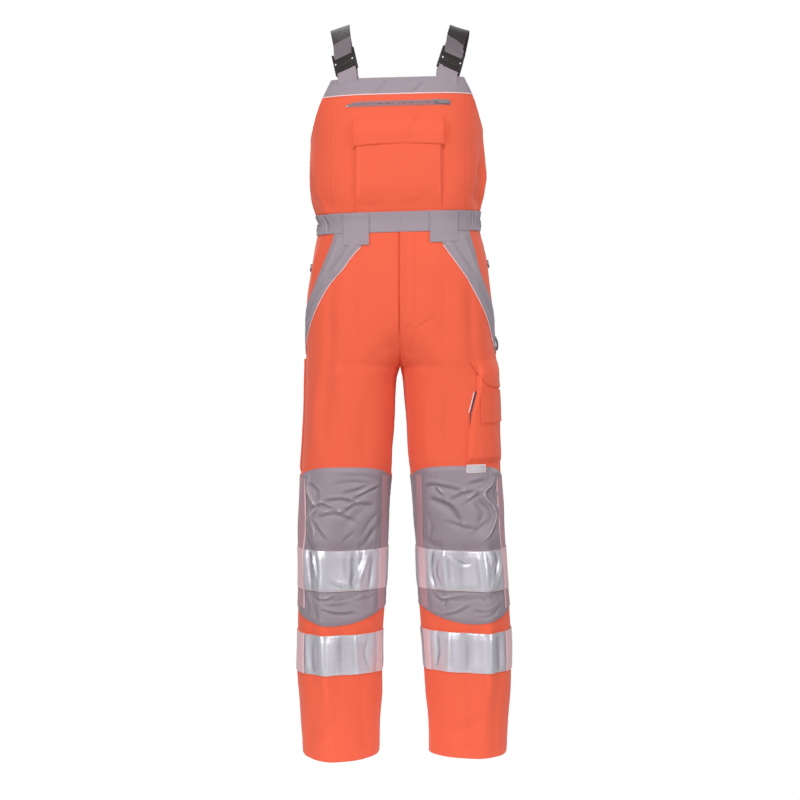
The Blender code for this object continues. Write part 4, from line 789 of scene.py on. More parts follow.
# the crest colour is an ivory painted highlight along the knee patches' crease ridges
twill("patch_cloth", PATCH, 0.5, sheen=0.2, crest=(0.60, 0.52, 0.47))
twill("seam_cloth", (0.44, 0.25, 0.29), rib=0.7, painted_shading=0.2)
twill("pale_cloth", (0.72, 0.48, 0.51), rib=0.7, painted_shading=0)
print("cloth finishes:", ", ".join(FINISHED))


# %% [markdown]
# ### Webbing, elastic and zip tape
#
# Narrow fabrics are woven with ribs along or across their length. The braces are a flat grey webbing with
# fine ribs lengthways, and the elastic is darker, with close cross ribs where its rubber pulls it in.

# %% Narrow fabrics
def narrow(name, colour, length_rib, cross_rib, deep, contrast):
    """A narrow fabric with ribs of these widths, in millimetres, along and across it."""
    tape = Finish(name, colour, 0.78, sheen=0.15)
    place = tape.cloth()
    along, over = tape.bands(place, length_rib, "X", 0.3), tape.bands(place, cross_rib, "Y", 0.3)
    woven = tape.math("MULTIPLY", along, tape.ranged(over, 0, 1, 0.5, 1))
    fuzz = tape.noise(tape.turned(place, 0, (0.4, 0.4, 1)), 1.0, 3)
    tone = tape.shaded(tape.ranged(woven, 0, 1, contrast, 0), -0.6)
    tape.paint(tape.mixed(tape.ranged(fuzz, 0.4, 0.7, 0, 0.2), tone, scaled(colour, 0.75)))
    tape.relief(woven, deep, 0.9)


narrow("webbing", (0.200, 0.172, 0.190), 1.6, 0.8, 0.22, 0.5)
narrow("elastic", (0.024, 0.015, 0.018), 1.2, 1.0, 0.28, 0.3)
narrow("zip_tape", (0.34, 0.20, 0.215), 0.9, 0.7, 0.12, 0.4)

# %% [markdown]
# ### Reflective tape
#
# Glass beads on a silver film send light back. Seen in soft light it is a satin silver that mirrors broad
# light and dark shapes, so its facets read as hard bright and dark fields. Its sewn rim is a pale line where
# the film ends. A half metallic, half glossy shader gives that without any trick of the camera, and painted
# shade in the hollows between facets and a painted reflection along their ridges make the fields stronger.

# %% Tape, piping, plastic and metal
def silver_tape(name, colour, roughness, metallic):
    """Glass-bead tape with uneven gloss, painted shade in the hollows between its facets, a painted
    reflection along their ridges, and a paler rim where the film ends.
    """
    tape = Finish(name, colour, roughness, metallic)
    place, edge = tape.cloth(), tape.cloth(2)
    beads = tape.noise(tape.turned(place, 0, (3.2, 3.2, 1)), 1.0, 2)
    stain = tape.noise(tape.turned(place, 10, (0.03, 0.018, 1)), 1.0, 3)
    tone = tape.shaded(tape.ranged(stain, 0.35, 0.7, 0, 0.4), -0.25)
    # painted shade in the hollows between facets, and a near-white painted reflection along their ridges
    tone = tape.painted_shading(tone, 0.8, (0.80, 0.79, 0.84), 0.5, 0.4, 1.8)
    tape.paint(tape.mixed(tape.ranged(edge, 0.9, 1.6, 0.85, 0), tone, (0.86, 0.66, 0.62)))
    tape.feed("Roughness", tape.ranged(beads, 0.3, 0.7, roughness - 0.05, roughness + 0.05))
    tape.relief(beads, 0.03, 0.7)


def moulded(name, colour, roughness, grain, metallic=0.0):
    """Moulded plastic or cast metal: a fine grain, and slightly uneven gloss."""
    piece = Finish(name, colour, roughness, metallic)
    place = piece.place()
    fine, broad = piece.noise(place, 1 / (grain * MM), 3), piece.noise(place, 60, 2)
    piece.paint(piece.shaded(piece.ranged(broad, 0.35, 0.7, 0, 0.6), 0.35))
    piece.feed("Roughness", piece.ranged(fine, 0.3, 0.7, roughness - 0.08, roughness + 0.1))
    piece.relief(fine, 0.04, 0.6)


def piping_finish():
    """Pale knitted piping."""
    cord = Finish("piping", (0.88, 0.56, 0.55), 0.5, sheen=0.2)
    place = cord.place()
    knit = cord.noise(place, 1500, 2)
    cord.paint(cord.shaded(cord.ranged(knit, 0.35, 0.7, 0, 0.5), -0.15))
    cord.relief(knit, 0.06, 0.6)


silver_tape("reflective_tape", (0.70, 0.675, 0.745), 0.34, 0.5)
silver_tape("label_silver", (0.50, 0.475, 0.505), 0.6, 0.15)
piping_finish()
moulded("black_plastic", (0.022, 0.018, 0.018), 0.42, 0.5)
moulded("plate_plastic", (0.016, 0.011, 0.010), 0.6, 0.35)
moulded("coil", (0.085, 0.052, 0.07), 0.5, 0.3)
moulded("metal", (0.30, 0.265, 0.28), 0.36, 0.4, metallic=0.9)
moulded("rivet", (0.92, 0.92, 0.92), 0.25, 0.6, metallic=0.6)
# near-black purple, painted shade for the inside of the cargo pocket's slit
moulded("painted_slit_shade", (0.075, 0.035, 0.055), 0.8, 0.4)
moulded("thread_orange", (0.62, 0.085, 0.045), 0.6, 0.3)
moulded("thread_grey", (0.27, 0.225, 0.26), 0.6, 0.3)
print(len(FINISHED), "finishes")

# %% [markdown]
# ## Cutting a panel
#
# A panel is a four-sided cut. Its sides are lines on the body form, and a Coons patch fills the middle, so
# its grid follows the cut as a tailor's cloth follows the pattern. Grid lines are placed at fixed distances
# from each edge, where the cloth is turned in and stitched, and evenly elsewhere. A Boolean or a projected
# plane would give ragged triangles along the seams.
#
# An edge is one of a few kinds. A lap lies on its neighbour and carries two rows of stitching. A tuck runs
# on under its neighbour, so no gap shows. A hem is turned up and free.

# %% Kinds of edges
# lines are distances of grid lines from the edge and rows are stitch rows. The turned-in edge is raised,
# and rolls down over its reach. above and below say how deep it is tucked above and below the crotch.
EdgeKind = namedtuple("EdgeKind", "lines rows raised roll reach above below", defaults=(0, 0.5, 1.3, 0, 0))
LAP_LINES = (0, 0.5, 1.2, 2, 2.8, 4.6, 6.4, 7.2, 8, 8.8, 10.6)
TUCK_LINES = (-5, -3.4, -2, -0.8, 0.4, 1.6, 3.2)
TUCK_DEEP = 1.5
EDGES = {
    "lap": EdgeKind(LAP_LINES, (2, 8), 0.45),
    "single": EdgeKind((0, 0.5, 1.2, 2, 2.8, 4.6), (2,), 0.3),
    "bound": EdgeKind((0, 0.5, 1.2, 2.6, 5.2, 6, 6.8, 9, 12), (6,), 0.5),
    "hem": EdgeKind((0, 0.5, 1.2, 3, 7, 12, 16, 17, 18, 19, 20, 23), (18,), 0.5),
    "flush": EdgeKind((0, 1, 2, 3, 4, 5, 6, 7, 9, 12), (4, 7), 0, 0.93, 12),
    "tuck": EdgeKind(TUCK_LINES, (), above=TUCK_DEEP, below=TUCK_DEEP),
    "cover": EdgeKind((-5, -4.4, -3.6, -3, -2, -0.4, 1.4, 3, 4.4), (-3, 3), 0.3, below=TUCK_DEEP),
    "under": EdgeKind((-5, -4.4, -3.6, -3, -2, -0.4, 1.4, 3, 4.4), (3,), 0.3, above=TUCK_DEEP),
    "tape": EdgeKind((0, 0.4, 1.2, 1.8, 2.6), (1.4,), 0.1, 0.25),
    "flush_thin": EdgeKind((0, 0.5, 1.2, 2), (), 0, 0.6),
    "plain": EdgeKind((0, 1.5), (), 0, 0),
}
ALL_ROUND = ("left", "right", "bottom", "top")
STITCH_SINK, STITCH_SINK_WIDE = 0.28, 0.9
PUCKER, PUCKER_REACH = 0.28, 8
CLOTH = 1.0  # thickness of the shells


def ripple(along, seed):
    """An uneven wave between -1 and 1."""
    slow = np.sin(along * 0.137 + seed * 2.3) * 1.7
    return np.sin(along * 0.41 + slow + seed) * (0.65 + 0.35 * np.sin(along * 0.053 + seed * 1.3))


def edge_height(kind, away, along, z, seed):
    """How an edge of this kind shapes the cloth at a distance from it."""
    edge = EDGES[kind]
    start = edge.lines[0]
    height = -edge.roll * (1 - smooth((away - start) / edge.reach))
    if edge.rows:
        height += edge.raised * (1 - smooth((away - edge.rows[-1] - 0.6) / 2.5))
        height += PUCKER * ripple(along, seed) * np.exp(-((away / PUCKER_REACH) ** 2))
    for row in edge.rows:
        height -= STITCH_SINK * np.exp(-(((away - row) / STITCH_SINK_WIDE) ** 2))
    deep = edge.above + (edge.below - edge.above) * smooth((CROTCH_Z + 14 - z) / 28)
    under = 1 - smooth((away + 1) / 3.2)
    return height * (1 - under * np.minimum(deep, 1)) - deep * under


# %% Lines of a panel's grid
def grid_rule(first, last, length, grid):
    """Grid lines across a panel: distance from the start, share of the middle, distance from the end."""
    start, end = EDGES[first].lines, EDGES[last].lines
    count = max(1, math.ceil((length - start[-1] - end[-1]) / grid))
    middle = np.arange(1, count) / count
    from_start = np.concatenate([start, np.full(len(middle), start[-1]), np.zeros(len(end))])
    share = np.concatenate([np.zeros(len(start)), middle, np.ones(len(end))])
    from_end = np.concatenate([np.zeros(len(start)), np.full(len(middle), end[-1]), end[::-1]])
    return from_start, share, from_end


def ruled(rule, lengths):
    """Where the grid lines lie on stretches of these lengths, in millimetres from the start."""
    from_start, share, from_end = rule
    lengths = np.asarray(lengths, float)[:, None]
    fit = np.minimum(1, lengths / (from_start.max() + from_end.max() + 0.5))
    room = np.maximum(lengths - fit * (from_start.max() + from_end.max()), 0)
    at_start = share == 0
    at_end = share == 1
    middle = fit * from_start.max() + share * room
    return np.where(at_start, fit * from_start, np.where(at_end, lengths - fit * from_end, middle))


def measured(edge, side):
    """An edge with the share of its real length at each of its points."""
    along = lengths_along(cloth_at(edge[:, 0], edge[:, 1], side)[0])
    return along / along[-1], edge, along[-1]


def on_edge(edge, share):
    """Places at these shares of an edge's length."""
    return np.stack([np.interp(share, edge[0], edge[1][:, axis]) for axis in (0, 1)], axis=-1)


def coons(sides, s, t):
    """Places inside four edges at shares s across and t up."""
    left, right, bottom, top = sides
    s1, t1 = s[..., None], t[..., None]
    at_left = (1 - t1) * left[1][0] + t1 * left[1][-1]
    at_right = (1 - t1) * right[1][0] + t1 * right[1][-1]
    flat = (1 - s1) * at_left + s1 * at_right
    ruled_across = (1 - s1) * on_edge(left, t) + s1 * on_edge(right, t)
    ruled_up = (1 - t1) * on_edge(bottom, s) + t1 * on_edge(top, s)
    return ruled_across + ruled_up - flat


def run_on(sides, s, t):
    """Places of the patch, also beyond its edges, where it goes on as it leaves them."""
    inside_s, inside_t = np.clip(s, 0, 1), np.clip(t, 0, 1)
    places = coons(sides, inside_s, inside_t)
    found = places.copy()
    small = 0.01
    for value, inside, step in ((s, inside_s, (small, 0)), (t, inside_t, (0, small))):
        over = value - inside
        if not np.any(over):
            continue
        back = np.where(over > 0, -1, 1)
        near = coons(sides, inside_s + back * step[0], inside_t + back * step[1])
        found += (places - near) / small * np.abs(over)[..., None]
    return found


# %% The panel itself
SEED = 0


def lengths_of(sides, shares, side, axis):
    """The lengths of a patch on the body: of its rows for axis 1, or of its columns for axis 0."""
    places = coons(sides, *np.meshgrid(shares, shares))
    points = cloth_at(places[..., 0], places[..., 1], side)[0]
    return np.linalg.norm(np.diff(points, axis=axis), axis=2).sum(axis=axis)


def laid_out(cut, kinds, side, grid):
    """A panel's grid: its places on the body, and how far each of them lies from the four edges."""
    sides = [measured(np.asarray(edge, float), side) for edge in cut]
    even = np.linspace(0, 1, 40)
    widths, heights = (lengths_of(sides, even, side, axis) for axis in (1, 0))
    across = grid_rule(kinds[0], kinds[1], widths.max(), grid)
    up = grid_rule(kinds[2], kinds[3], heights.max(), grid)
    t = ruled(up, [heights.mean()])[0] / heights.mean()
    s = ruled(across, [widths.mean()])[0] / widths.mean()
    row_width = np.interp(np.clip(t, 0, 1), even, widths)
    line_tall = np.interp(np.clip(s, 0, 1), even, heights)
    left, bottom = ruled(across, row_width), ruled(up, line_tall).T
    places = run_on(sides, left / row_width[:, None], bottom / line_tall[None])
    right, top = row_width[:, None] - left, line_tall[None] - bottom
    return SimpleNamespace(
        where=places[..., 0], z=places[..., 1], left=left, right=right, bottom=bottom, top=top,
        width=widths.max(), tall=heights.max(),
    )  # fmt: skip


def panel(name, finish, cut, kinds, side=None, grid=5, lift=0.0, shape=None, thick=CLOTH):
    """Cuts a panel and lays it on the body.

    cut is its left, right, bottom and top edge, as seen from outside, and kinds says of which kind each
    is. grid is the mesh's size. lift and shape say how far the panel stands off the body's cloth.
    """
    global SEED
    SEED += 1
    made = laid_out(cut, kinds, side, grid)
    made.name, made.finish, made.kinds, made.thick = name, finish, kinds, thick
    made.base, made.out, made.aside, made.side = cloth_at(made.where, made.z, side)
    made.edge_here = np.minimum(np.minimum(made.left, made.right), np.minimum(made.bottom, made.top))
    height = np.full(made.z.shape, float(lift))
    if shape is not None:
        height = height + shape(made)
    along = (made.bottom, made.bottom, made.left, made.left)
    for i, (kind, edge) in enumerate(zip(kinds, ALL_ROUND)):
        height = height + edge_height(kind, getattr(made, edge), along[i], made.z, SEED + 1.7 * i)
    made.outer = made.base + made.out * height[..., None]
    made.normal = unit(np.cross(np.gradient(made.outer, axis=1), np.gradient(made.outer, axis=0)))
    made.object = shell_of(made, finish)
    return made


def hollow_of(cut, reach=6):
    """How far each place lies under its neighbours this many millimetres away: ridges come out negative."""
    found = np.zeros(cut.outer.shape[:2])
    for turned, distance in ((False, cut.left), (True, cut.bottom)):
        points, normals = cut.outer, cut.normal
        if turned:
            points, normals, distance = points.transpose(1, 0, 2), normals.transpose(1, 0, 2), distance.T
        sunk = np.zeros(points.shape[:2])
        for i, along in enumerate(distance):
            for way in (-reach, reach):
                beside = read_at(along + way, along, points[i])
                sunk[i] += np.sum((beside - points[i]) * normals[i], axis=1) / 2
        found += sunk.T if turned else sunk
    return found * smooth((cut.edge_here - 1) / reach)


def new_mesh(name, points, faces, finish, sharp=45):
    """A smooth-shaded object from points in millimetres and faces of three or four corners."""
    mesh = bpy.data.meshes.new(name)
    points = np.asarray(points, float)
    if isinstance(faces, list):
        sizes, corners = np.array([len(face) for face in faces]), np.concatenate(faces)
    else:
        sizes, corners = np.full(len(faces), faces.shape[1]), faces.reshape(-1)
    mesh.vertices.add(len(points))
    mesh.vertices.foreach_set("co", (points * MM).astype(np.float32).reshape(-1))
    mesh.loops.add(len(corners))
    mesh.loops.foreach_set("vertex_index", corners.astype(np.int32))
    mesh.polygons.add(len(sizes))
    mesh.polygons.foreach_set("loop_start", np.append(0, np.cumsum(sizes)[:-1]).astype(np.int32))
    mesh.update(calc_edges=True)
    mesh.validate()
    mesh.shade_smooth()
    mesh.set_sharp_from_angle(angle=math.radians(sharp))
    mesh.materials.append(FINISHED[finish])
    made = bpy.data.objects.new(name, mesh)
    bpy.context.scene.collection.objects.link(made)
    return made


def store_cloth(thing, across, up, edge):
    """Keeps the cloth coordinates that the weave follows, in millimetres."""
    attribute = thing.data.attributes.new("cloth", "FLOAT_VECTOR", "POINT")
    values = np.column_stack([across.reshape(-1), up.reshape(-1), edge.reshape(-1)])
    attribute.data.foreach_set("vector", values.astype(np.float32).reshape(-1))


def shell_faces(rows, lines):
    """Faces of a closed shell: a grid of outer points, the same grid inside it, and the rim between."""
    index = np.arange(rows * lines).reshape(rows, lines)
    quads = [index[:-1, :-1], index[:-1, 1:], index[1:, 1:], index[1:, :-1]]
    quads = np.stack(quads, axis=-1).reshape(-1, 4)
    rim = np.concatenate([index[0], index[1:, -1], index[-1, -2::-1], index[-2:0:-1, 0]])
    after, total = np.roll(rim, -1), rows * lines
    sides = np.column_stack([rim, rim + total, after + total, after])
    return np.vstack([quads, quads[:, ::-1] + total, sides])


def shell_of(cut, finish):
    """The closed shell of a panel: its outer face, its inner face and the rim between them."""
    inner = cut.outer - cut.normal * cut.thick
    points = np.vstack([cut.outer.reshape(-1, 3), inner.reshape(-1, 3)])
    made = new_mesh("cloth_" + cut.name, points, shell_faces(*cut.outer.shape[:2]), finish)
    twice = [np.concatenate([values.reshape(-1)] * 2) for values in (cut.left, cut.z, cut.edge_here)]
    store_cloth(made, *twice)
    # the hollow attribute drives the painted shade in crease hollows and the painted highlights on their
    # ridges
    hollow = made.data.attributes.new("hollow", "FLOAT", "POINT")
    hollow.data.foreach_set("value", np.tile(hollow_of(cut).reshape(-1), 2).astype(np.float32))
    return made


# %% [markdown]
# ## Stitches
#
# Seams on work clothes are topstitched in a matching thread, three or four stitches to the centimetre. Each
# stitch is a small bead of thread that sinks in at both ends. All stitches of one colour become one mesh,
# which renders far faster than thousands of objects.

# %% Collect and make stitches
STITCH_PITCH, STITCH_LONG, STITCH_WIDE, STITCH_HIGH = 3.3, 2.5, 0.62, 0.42
THREADS = {"thread_orange": [], "thread_grey": []}


def line_at(cut, edge, away):
    """Points and normals of a panel's outer face along a line at this distance from one of its edges."""
    distance = getattr(cut, edge)
    if edge in ("bottom", "top"):
        distance, points, normals = distance.T, cut.outer.transpose(1, 0, 2), cut.normal.transpose(1, 0, 2)
    else:
        points, normals = cut.outer, cut.normal
    if edge in ("right", "top"):
        distance, points, normals = distance[:, ::-1], points[:, ::-1], normals[:, ::-1]
    found = []
    for table in (points, normals):
        found.append(np.vstack([read_at([away], known, values) for known, values in zip(distance, table)]))
    return found[0], unit(found[1])


def sew_line(points, normals, thread, trim=0.0):
    """One row of stitches along a line."""
    along = lengths_along(points)
    count = int((along[-1] - 2 * trim) / STITCH_PITCH)
    if count < 1:
        return
    at = trim + (np.arange(count) + 0.5) * (along[-1] - 2 * trim) / count
    ends = [read_at(at + offset, along, points) for offset in (-STITCH_LONG / 2, 0, STITCH_LONG / 2)]
    up = unit(read_at(at, along, normals))
    across = unit(np.cross(ends[2] - ends[0], up))
    middle = ends[1] + up * STITCH_HIGH * 0.4
    corners = [ends[0] - up * 0.1, ends[2] - up * 0.1]
    corners += [middle + across * STITCH_WIDE / 2, middle - across * STITCH_WIDE / 2]
    corners += [middle + up * STITCH_HIGH * 0.6, middle - up * STITCH_HIGH * 0.6]
    THREADS[thread].append(np.stack(corners, axis=1))


def sew(cut, edges=ALL_ROUND, trim=2.0):
    """Sews a panel along the named edges, in the rows of their kind, in the thread that goes with it."""
    thread = "thread_orange" if cut.finish == "orange_cloth" else "thread_grey"
    for edge in edges:
        for away in EDGES[cut.kinds[ALL_ROUND.index(edge)]].rows:
            sew_line(*line_at(cut, edge, away), thread, trim)


# the six corners of a bead are its two ends, its two sides, its top and its underside
STITCH_FACES = np.array([
    (2, 4, 0), (5, 2, 0), (3, 5, 0), (4, 3, 0),
    (4, 2, 1), (2, 5, 1), (5, 3, 1), (3, 4, 1),
])  # fmt: skip


def make_stitches():
    """Makes one mesh of all the stitches in each thread."""
    for thread, runs in THREADS.items():
        stitches = np.concatenate(runs)
        points = stitches.reshape(-1, 3)
        faces = STITCH_FACES[None] + len(stitches[0]) * np.arange(len(stitches))[:, None, None]
        name = thread.replace("thread", "stitching")
        made = new_mesh(name, points, faces.reshape(-1, 3), thread, 180)
        ride(made, thread.replace("thread_", "") + "_cloth")
        print(f"{name}: {len(stitches)} stitches")


# %% Attach each piece to its body and hide its plain solids
def ride(made, slot, *nodes, body="garment"):
    """Makes a piece move with its body, and hides the plain solids that it stands for."""
    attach(made, body)
    if nodes:
        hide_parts(*nodes)
    return made


SLOTS = {"patch_cloth": "grey_cloth", "label_silver": "reflective_tape"}  # finishes passed on under another finish's name


def sheet(cut):
    """Attaches a panel to the garment in place of its plain solid, which it hides."""
    made = cut.object
    ride(made, SLOTS.get(cut.finish, cut.finish), cut.name)

# %% [markdown]
# ## Trouser legs
#
# Each leg is a front and a back. The fronts lap over the backs at the side and inner seams with two rows of
# topstitching, the left front laps over the right one down the middle, and the right back over the left one.
# Their tops are tucked into the waistband.

# %% Cut the legs
def flat_cut(low, high, start, end):
    """Four edges between two heights and two columns."""
    left, right = (upright(where, low, high) for where in (start, end))
    return left, right, level(low, start, end), level(high, start, end)


def under_fly(made):
    """The right front sinks where the fly's edge lies over it."""
    return -2.2 * np.exp(-(((made.right - 0.9) / 1.7) ** 2)) * smooth((made.z + 625) / 30)


def leg(half, side, start, end, kinds, grid, shape=None):
    """One of the four leg cuts, from hem to waistband."""
    name = f"{half}_leg_{SIDE_NAME[side]}"
    cut = flat_cut(HEM, WAIST_BOTTOM, start, end)
    made = panel(name, "orange_cloth", cut, kinds, side, grid, shape=shape)
    sew(made, ("left", "right", "bottom"))
    sheet(made)


leg("front", RIGHT, -COLUMNS, 0, ("lap", "under", "hem", "tuck"), 6, under_fly)
leg("front", LEFT, 0, COLUMNS, ("lap", "lap", "hem", "tuck"), 6)
leg("back", LEFT, COLUMNS, 2 * COLUMNS, ("tuck", "tuck", "hem", "tuck"), 7.5)
leg("back", RIGHT, 2 * COLUMNS, 3 * COLUMNS, ("cover", "tuck", "hem", "tuck"), 7.5)


# %% The fly: a lap over the front closing, sewn down along a J
FLY_WIDTH, FLY_END = 34, -604
ON_ONE, ON_TWO, ON_THREE = 1.35, 2.6, 3.9  # outer faces of the first, second and third layer on the body


def fly_form(made):
    """The fly stands up along the front opening, and lies down towards its stitched curve."""
    return 1.9 * np.exp(-((made.left / 7) ** 2)) * smooth(made.bottom / 40)


def fly():
    """The fly: straight along the opening, curved below, and tucked under the waistband."""
    turn = [math.radians(angle) for angle in range(0, 91, 9)]
    curve = [(max(FLY_WIDTH * math.cos(t), 0.2), FLY_END + FLY_WIDTH * (1 - math.sin(t))) for t in turn]
    left = upright(0.02, FLY_END, WAIST_BOTTOM)
    right = by_x([*curve[:6][::-1], (FLY_WIDTH, WAIST_BOTTOM)], LEFT, soft=False)
    bottom = by_x(curve[5:][::-1], LEFT, soft=False)
    top = by_x([(0.2, WAIST_BOTTOM), (FLY_WIDTH, WAIST_BOTTOM)], LEFT)
    kinds = ("single", "flush", "flush", "tuck")
    made = panel("fly", "orange_cloth", (left, right, bottom, top), kinds, LEFT, 4, 0.8, fly_form, thick=0.6)
    sew(made, ("left", "right", "bottom"))
    sheet(made)


fly()

# %% [markdown]
# ## Waistband
#
# The band is flat in front and gathered on elastic at the sides and back. Gathers are short upright folds,
# each with its own width and lean, that the two rows of stitching hold down.

# %% Waistband with gathers
BAND_OUT = 0.95
BAND_FRONT = {RIGHT: 113, LEFT: 115}
GATHER_PITCH, GATHER_OUT = 12.5, 3.4


def gathers(made):
    """Upright folds that fade towards the flat front and under the side buttons."""
    along = np.abs(made.aside)
    lean = 0.22 * np.sin(along / 31 + made.side) * (made.z - WAIST_BOTTOM)
    place = (along + lean) / GATHER_PITCH + 0.42 * np.sin(along / 19 + 2 * made.side)
    uneven = 0.7 + 0.3 * np.sin(along / 13.7 + made.side + made.z / 40)
    wave = (0.5 + 0.5 * np.cos(2 * math.pi * place)) ** 1.5 * uneven
    cross = 0.7 * np.sin(made.z / 6.1 + along / 23) * np.sin(along / 8.3)
    front = made.aside > 0
    start = np.where(front, smooth((104 - along) / 26), 1) * smooth((along - 9) / 14)
    return (GATHER_OUT * wave + cross) * start


def waistband():
    """The flat front, the two gathered sides and the gathered back."""
    low, high = WAIST_BOTTOM, WAIST_TOP
    right, left = (column_across(side, BAND_FRONT[side], WAIST_TOP) for side in (RIGHT, LEFT))
    cut = flat_cut(low, high, right, left)
    kinds = ("single",) * 4
    made = panel("waistband_front", "grey_cloth", cut, kinds, grid=4, lift=BAND_OUT + 0.3)
    sew(made)
    sheet(made)
    for side, start, end in ((RIGHT, -COLUMNS, right), (LEFT, left, COLUMNS)):
        name = f"waistband_side_{SIDE_NAME[side]}"
        kinds = ("tuck", "single") if side == LEFT else ("single", "tuck")
        cut = flat_cut(low, high, start, end)
        made = panel(name, "grey_cloth", cut, (*kinds, "single", "single"), side, 2, BAND_OUT, gathers)
        sew(made, ("bottom", "top"))
        sheet(made)
    cut = flat_cut(low, high, COLUMNS, 3 * COLUMNS)
    kinds = ("tuck", "tuck", "single", "single")
    made = panel("waistband_back", "grey_cloth", cut, kinds, None, 2.2, BAND_OUT, gathers)
    sew(made, ("bottom", "top"))
    sheet(made)


waistband()


# %% Belt loops: wide tunnels, sewn down at both ends
Box = namedtuple("Box", "right left top bottom")
LOOPS = {RIGHT: Box(-109.5, -60, -376.5, -438), LEFT: Box(58, 111.5, -377.5, -436)}


def front_cut(box, side=None):
    """Four edges of a box on the front: its x from right to left, and its heights."""
    right = by_x([(box.right, box.bottom), (box.right, box.top)], side)
    left = by_x([(box.left, box.bottom), (box.left, box.top)], side)
    low, high = (by_x([(box.right, z), (box.left, z)], side) for z in (box.bottom, box.top))
    return right, left, low, high


def loop_bow(made):
    """A loop lies close where it is sewn down, and stands off between."""
    return 0.5 * np.sin(math.pi * np.clip(made.bottom / made.tall, 0, 1)) ** 0.7


for side, box in LOOPS.items():
    kinds = ("single", "single", "bound", "bound")
    cut = front_cut(box, side)
    made = panel(f"belt_loop_{SIDE_NAME[side]}", "grey_cloth", cut, kinds, side, 4, ON_TWO + 0.1, loop_bow)
    sew(made)
    sheet(made)

# %% [markdown]
# ## Bib, back and yokes
#
# The bib is a flat front between two shaped sides. The armholes are parabolas round each side. A grey yoke
# closes the top of bib and back, and where one cloth runs under another it steps in by its own thickness,
# so nothing shows through.

# %% Bib and back
ARMHOLE_LOW, ARMHOLE_SPREAD = -222, 105
BIB_SEAM = {RIGHT: 135.7, LEFT: 127.2}
UNDER_YOKE = 6


def armhole_aside(z):
    """How far the armhole's edge lies from the side seam at a height."""
    return math.sqrt(max(z - ARMHOLE_LOW, 0) * ARMHOLE_SPREAD)


def armhole_points(top, way):
    """Points down the armhole's edge from this height to the side seam, way 1 in front and -1 behind."""
    widest = armhole_aside(top)
    asides = [widest * (1 - i / 12) for i in range(13)]
    return [(way * aside, ARMHOLE_LOW + aside**2 / ARMHOLE_SPREAD) for aside in asides]


def stepped_in(seam, way=1):
    """Cloth steps in where it runs under its neighbour beyond a level seam."""
    return lambda made: -TUCK_DEEP * smooth((way * (made.z - seam) + 1.2) / 3)


def bib():
    """The bib's front and its two sides, which run up to the armholes."""
    box = Box(-BIB_SEAM[RIGHT], BIB_SEAM[LEFT], YOKE_SEAM, WAIST_TOP)
    kinds = ("single", "single", "tuck", "tuck")
    made = panel("bib_front", "orange_cloth", front_cut(box), kinds, None, 4.5)
    sew(made, ("left", "right"))
    sheet(made)
    for side in (RIGHT, LEFT):
        top = YOKE_SEAM + UNDER_YOKE
        seam = by_x([(side * BIB_SEAM[side], WAIST_TOP), (side * BIB_SEAM[side], top)], side)
        edge = by_girth(side, armhole_points(top, 1), soft=False)
        outer = upright(side * COLUMNS, WAIST_TOP, ARMHOLE_LOW)
        upper = np.vstack([seam[-1:], edge])
        lower = level(WAIST_TOP, seam[0, 0], side * COLUMNS)
        if side == LEFT:
            cut, kinds = (seam, outer, lower, upper), ("tuck", "lap", "tuck", "bound")
        else:
            cut, kinds = (outer, seam, lower[::-1], upper[::-1]), ("lap", "tuck", "tuck", "bound")
        name = f"bib_side_{SIDE_NAME[side]}"
        made = panel(name, "orange_cloth", cut, kinds, side, 4.5, shape=stepped_in(YOKE_SEAM))
        sew(made, ("right" if side == LEFT else "left", "top"))
        sheet(made)


def back():
    """One cut from armhole to armhole behind."""
    top = BACK_YOKE_SEAM + UNDER_YOKE
    left = by_girth(LEFT, armhole_points(top, -1), soft=False)[::-1]
    right = by_girth(RIGHT, armhole_points(top, -1), soft=False) + [4 * COLUMNS, 0]
    upper = np.vstack([left, right])
    low = level(WAIST_TOP, COLUMNS, 3 * COLUMNS)
    cut = upright(COLUMNS, WAIST_TOP, ARMHOLE_LOW), upright(3 * COLUMNS, WAIST_TOP, ARMHOLE_LOW), low, upper
    kinds = ("tuck", "tuck", "tuck", "bound")
    made = panel("back_bib", "orange_cloth", cut, kinds, None, 6.2, shape=stepped_in(BACK_YOKE_SEAM))
    sew(made, ("top",))
    sheet(made)


def yoke(name, low, high, way):
    """A grey band across the top, with both armholes' edges as its ends."""
    heights = np.linspace(low, high, 12)
    ends = {side: [(way * armhole_aside(z), z) for z in heights] for side in (RIGHT, LEFT)}
    left, right = (by_girth(side, ends[side], soft=False) for side in (LEFT, RIGHT))
    if way > 0:
        first, last = right, left
    else:
        first, last = left, right + [4 * COLUMNS, 0]
    cut = first, last, level(low, first[0, 0], last[0, 0], 90), level(high, first[-1, 0], last[-1, 0], 90)
    kinds = ("bound", "bound", "single", "bound")
    made = panel(name, "grey_cloth", cut, kinds, None, 4, lift=0.25, thick=1.2)
    sew(made)
    sheet(made)


bib()
back()
yoke("bib_yoke", YOKE_SEAM, YOKE_TOP, 1)
yoke("back_yoke", BACK_YOKE_SEAM, BACK_YOKE_TOP, -1)


# %% [markdown]
# ## Chest pocket
#
# The pocket is a patch with bellows, so it stands off the bib in its middle. Its flap starts flat at the
# seam under the zip, bends out over the pocket's fullness and ends in a shallow arch.

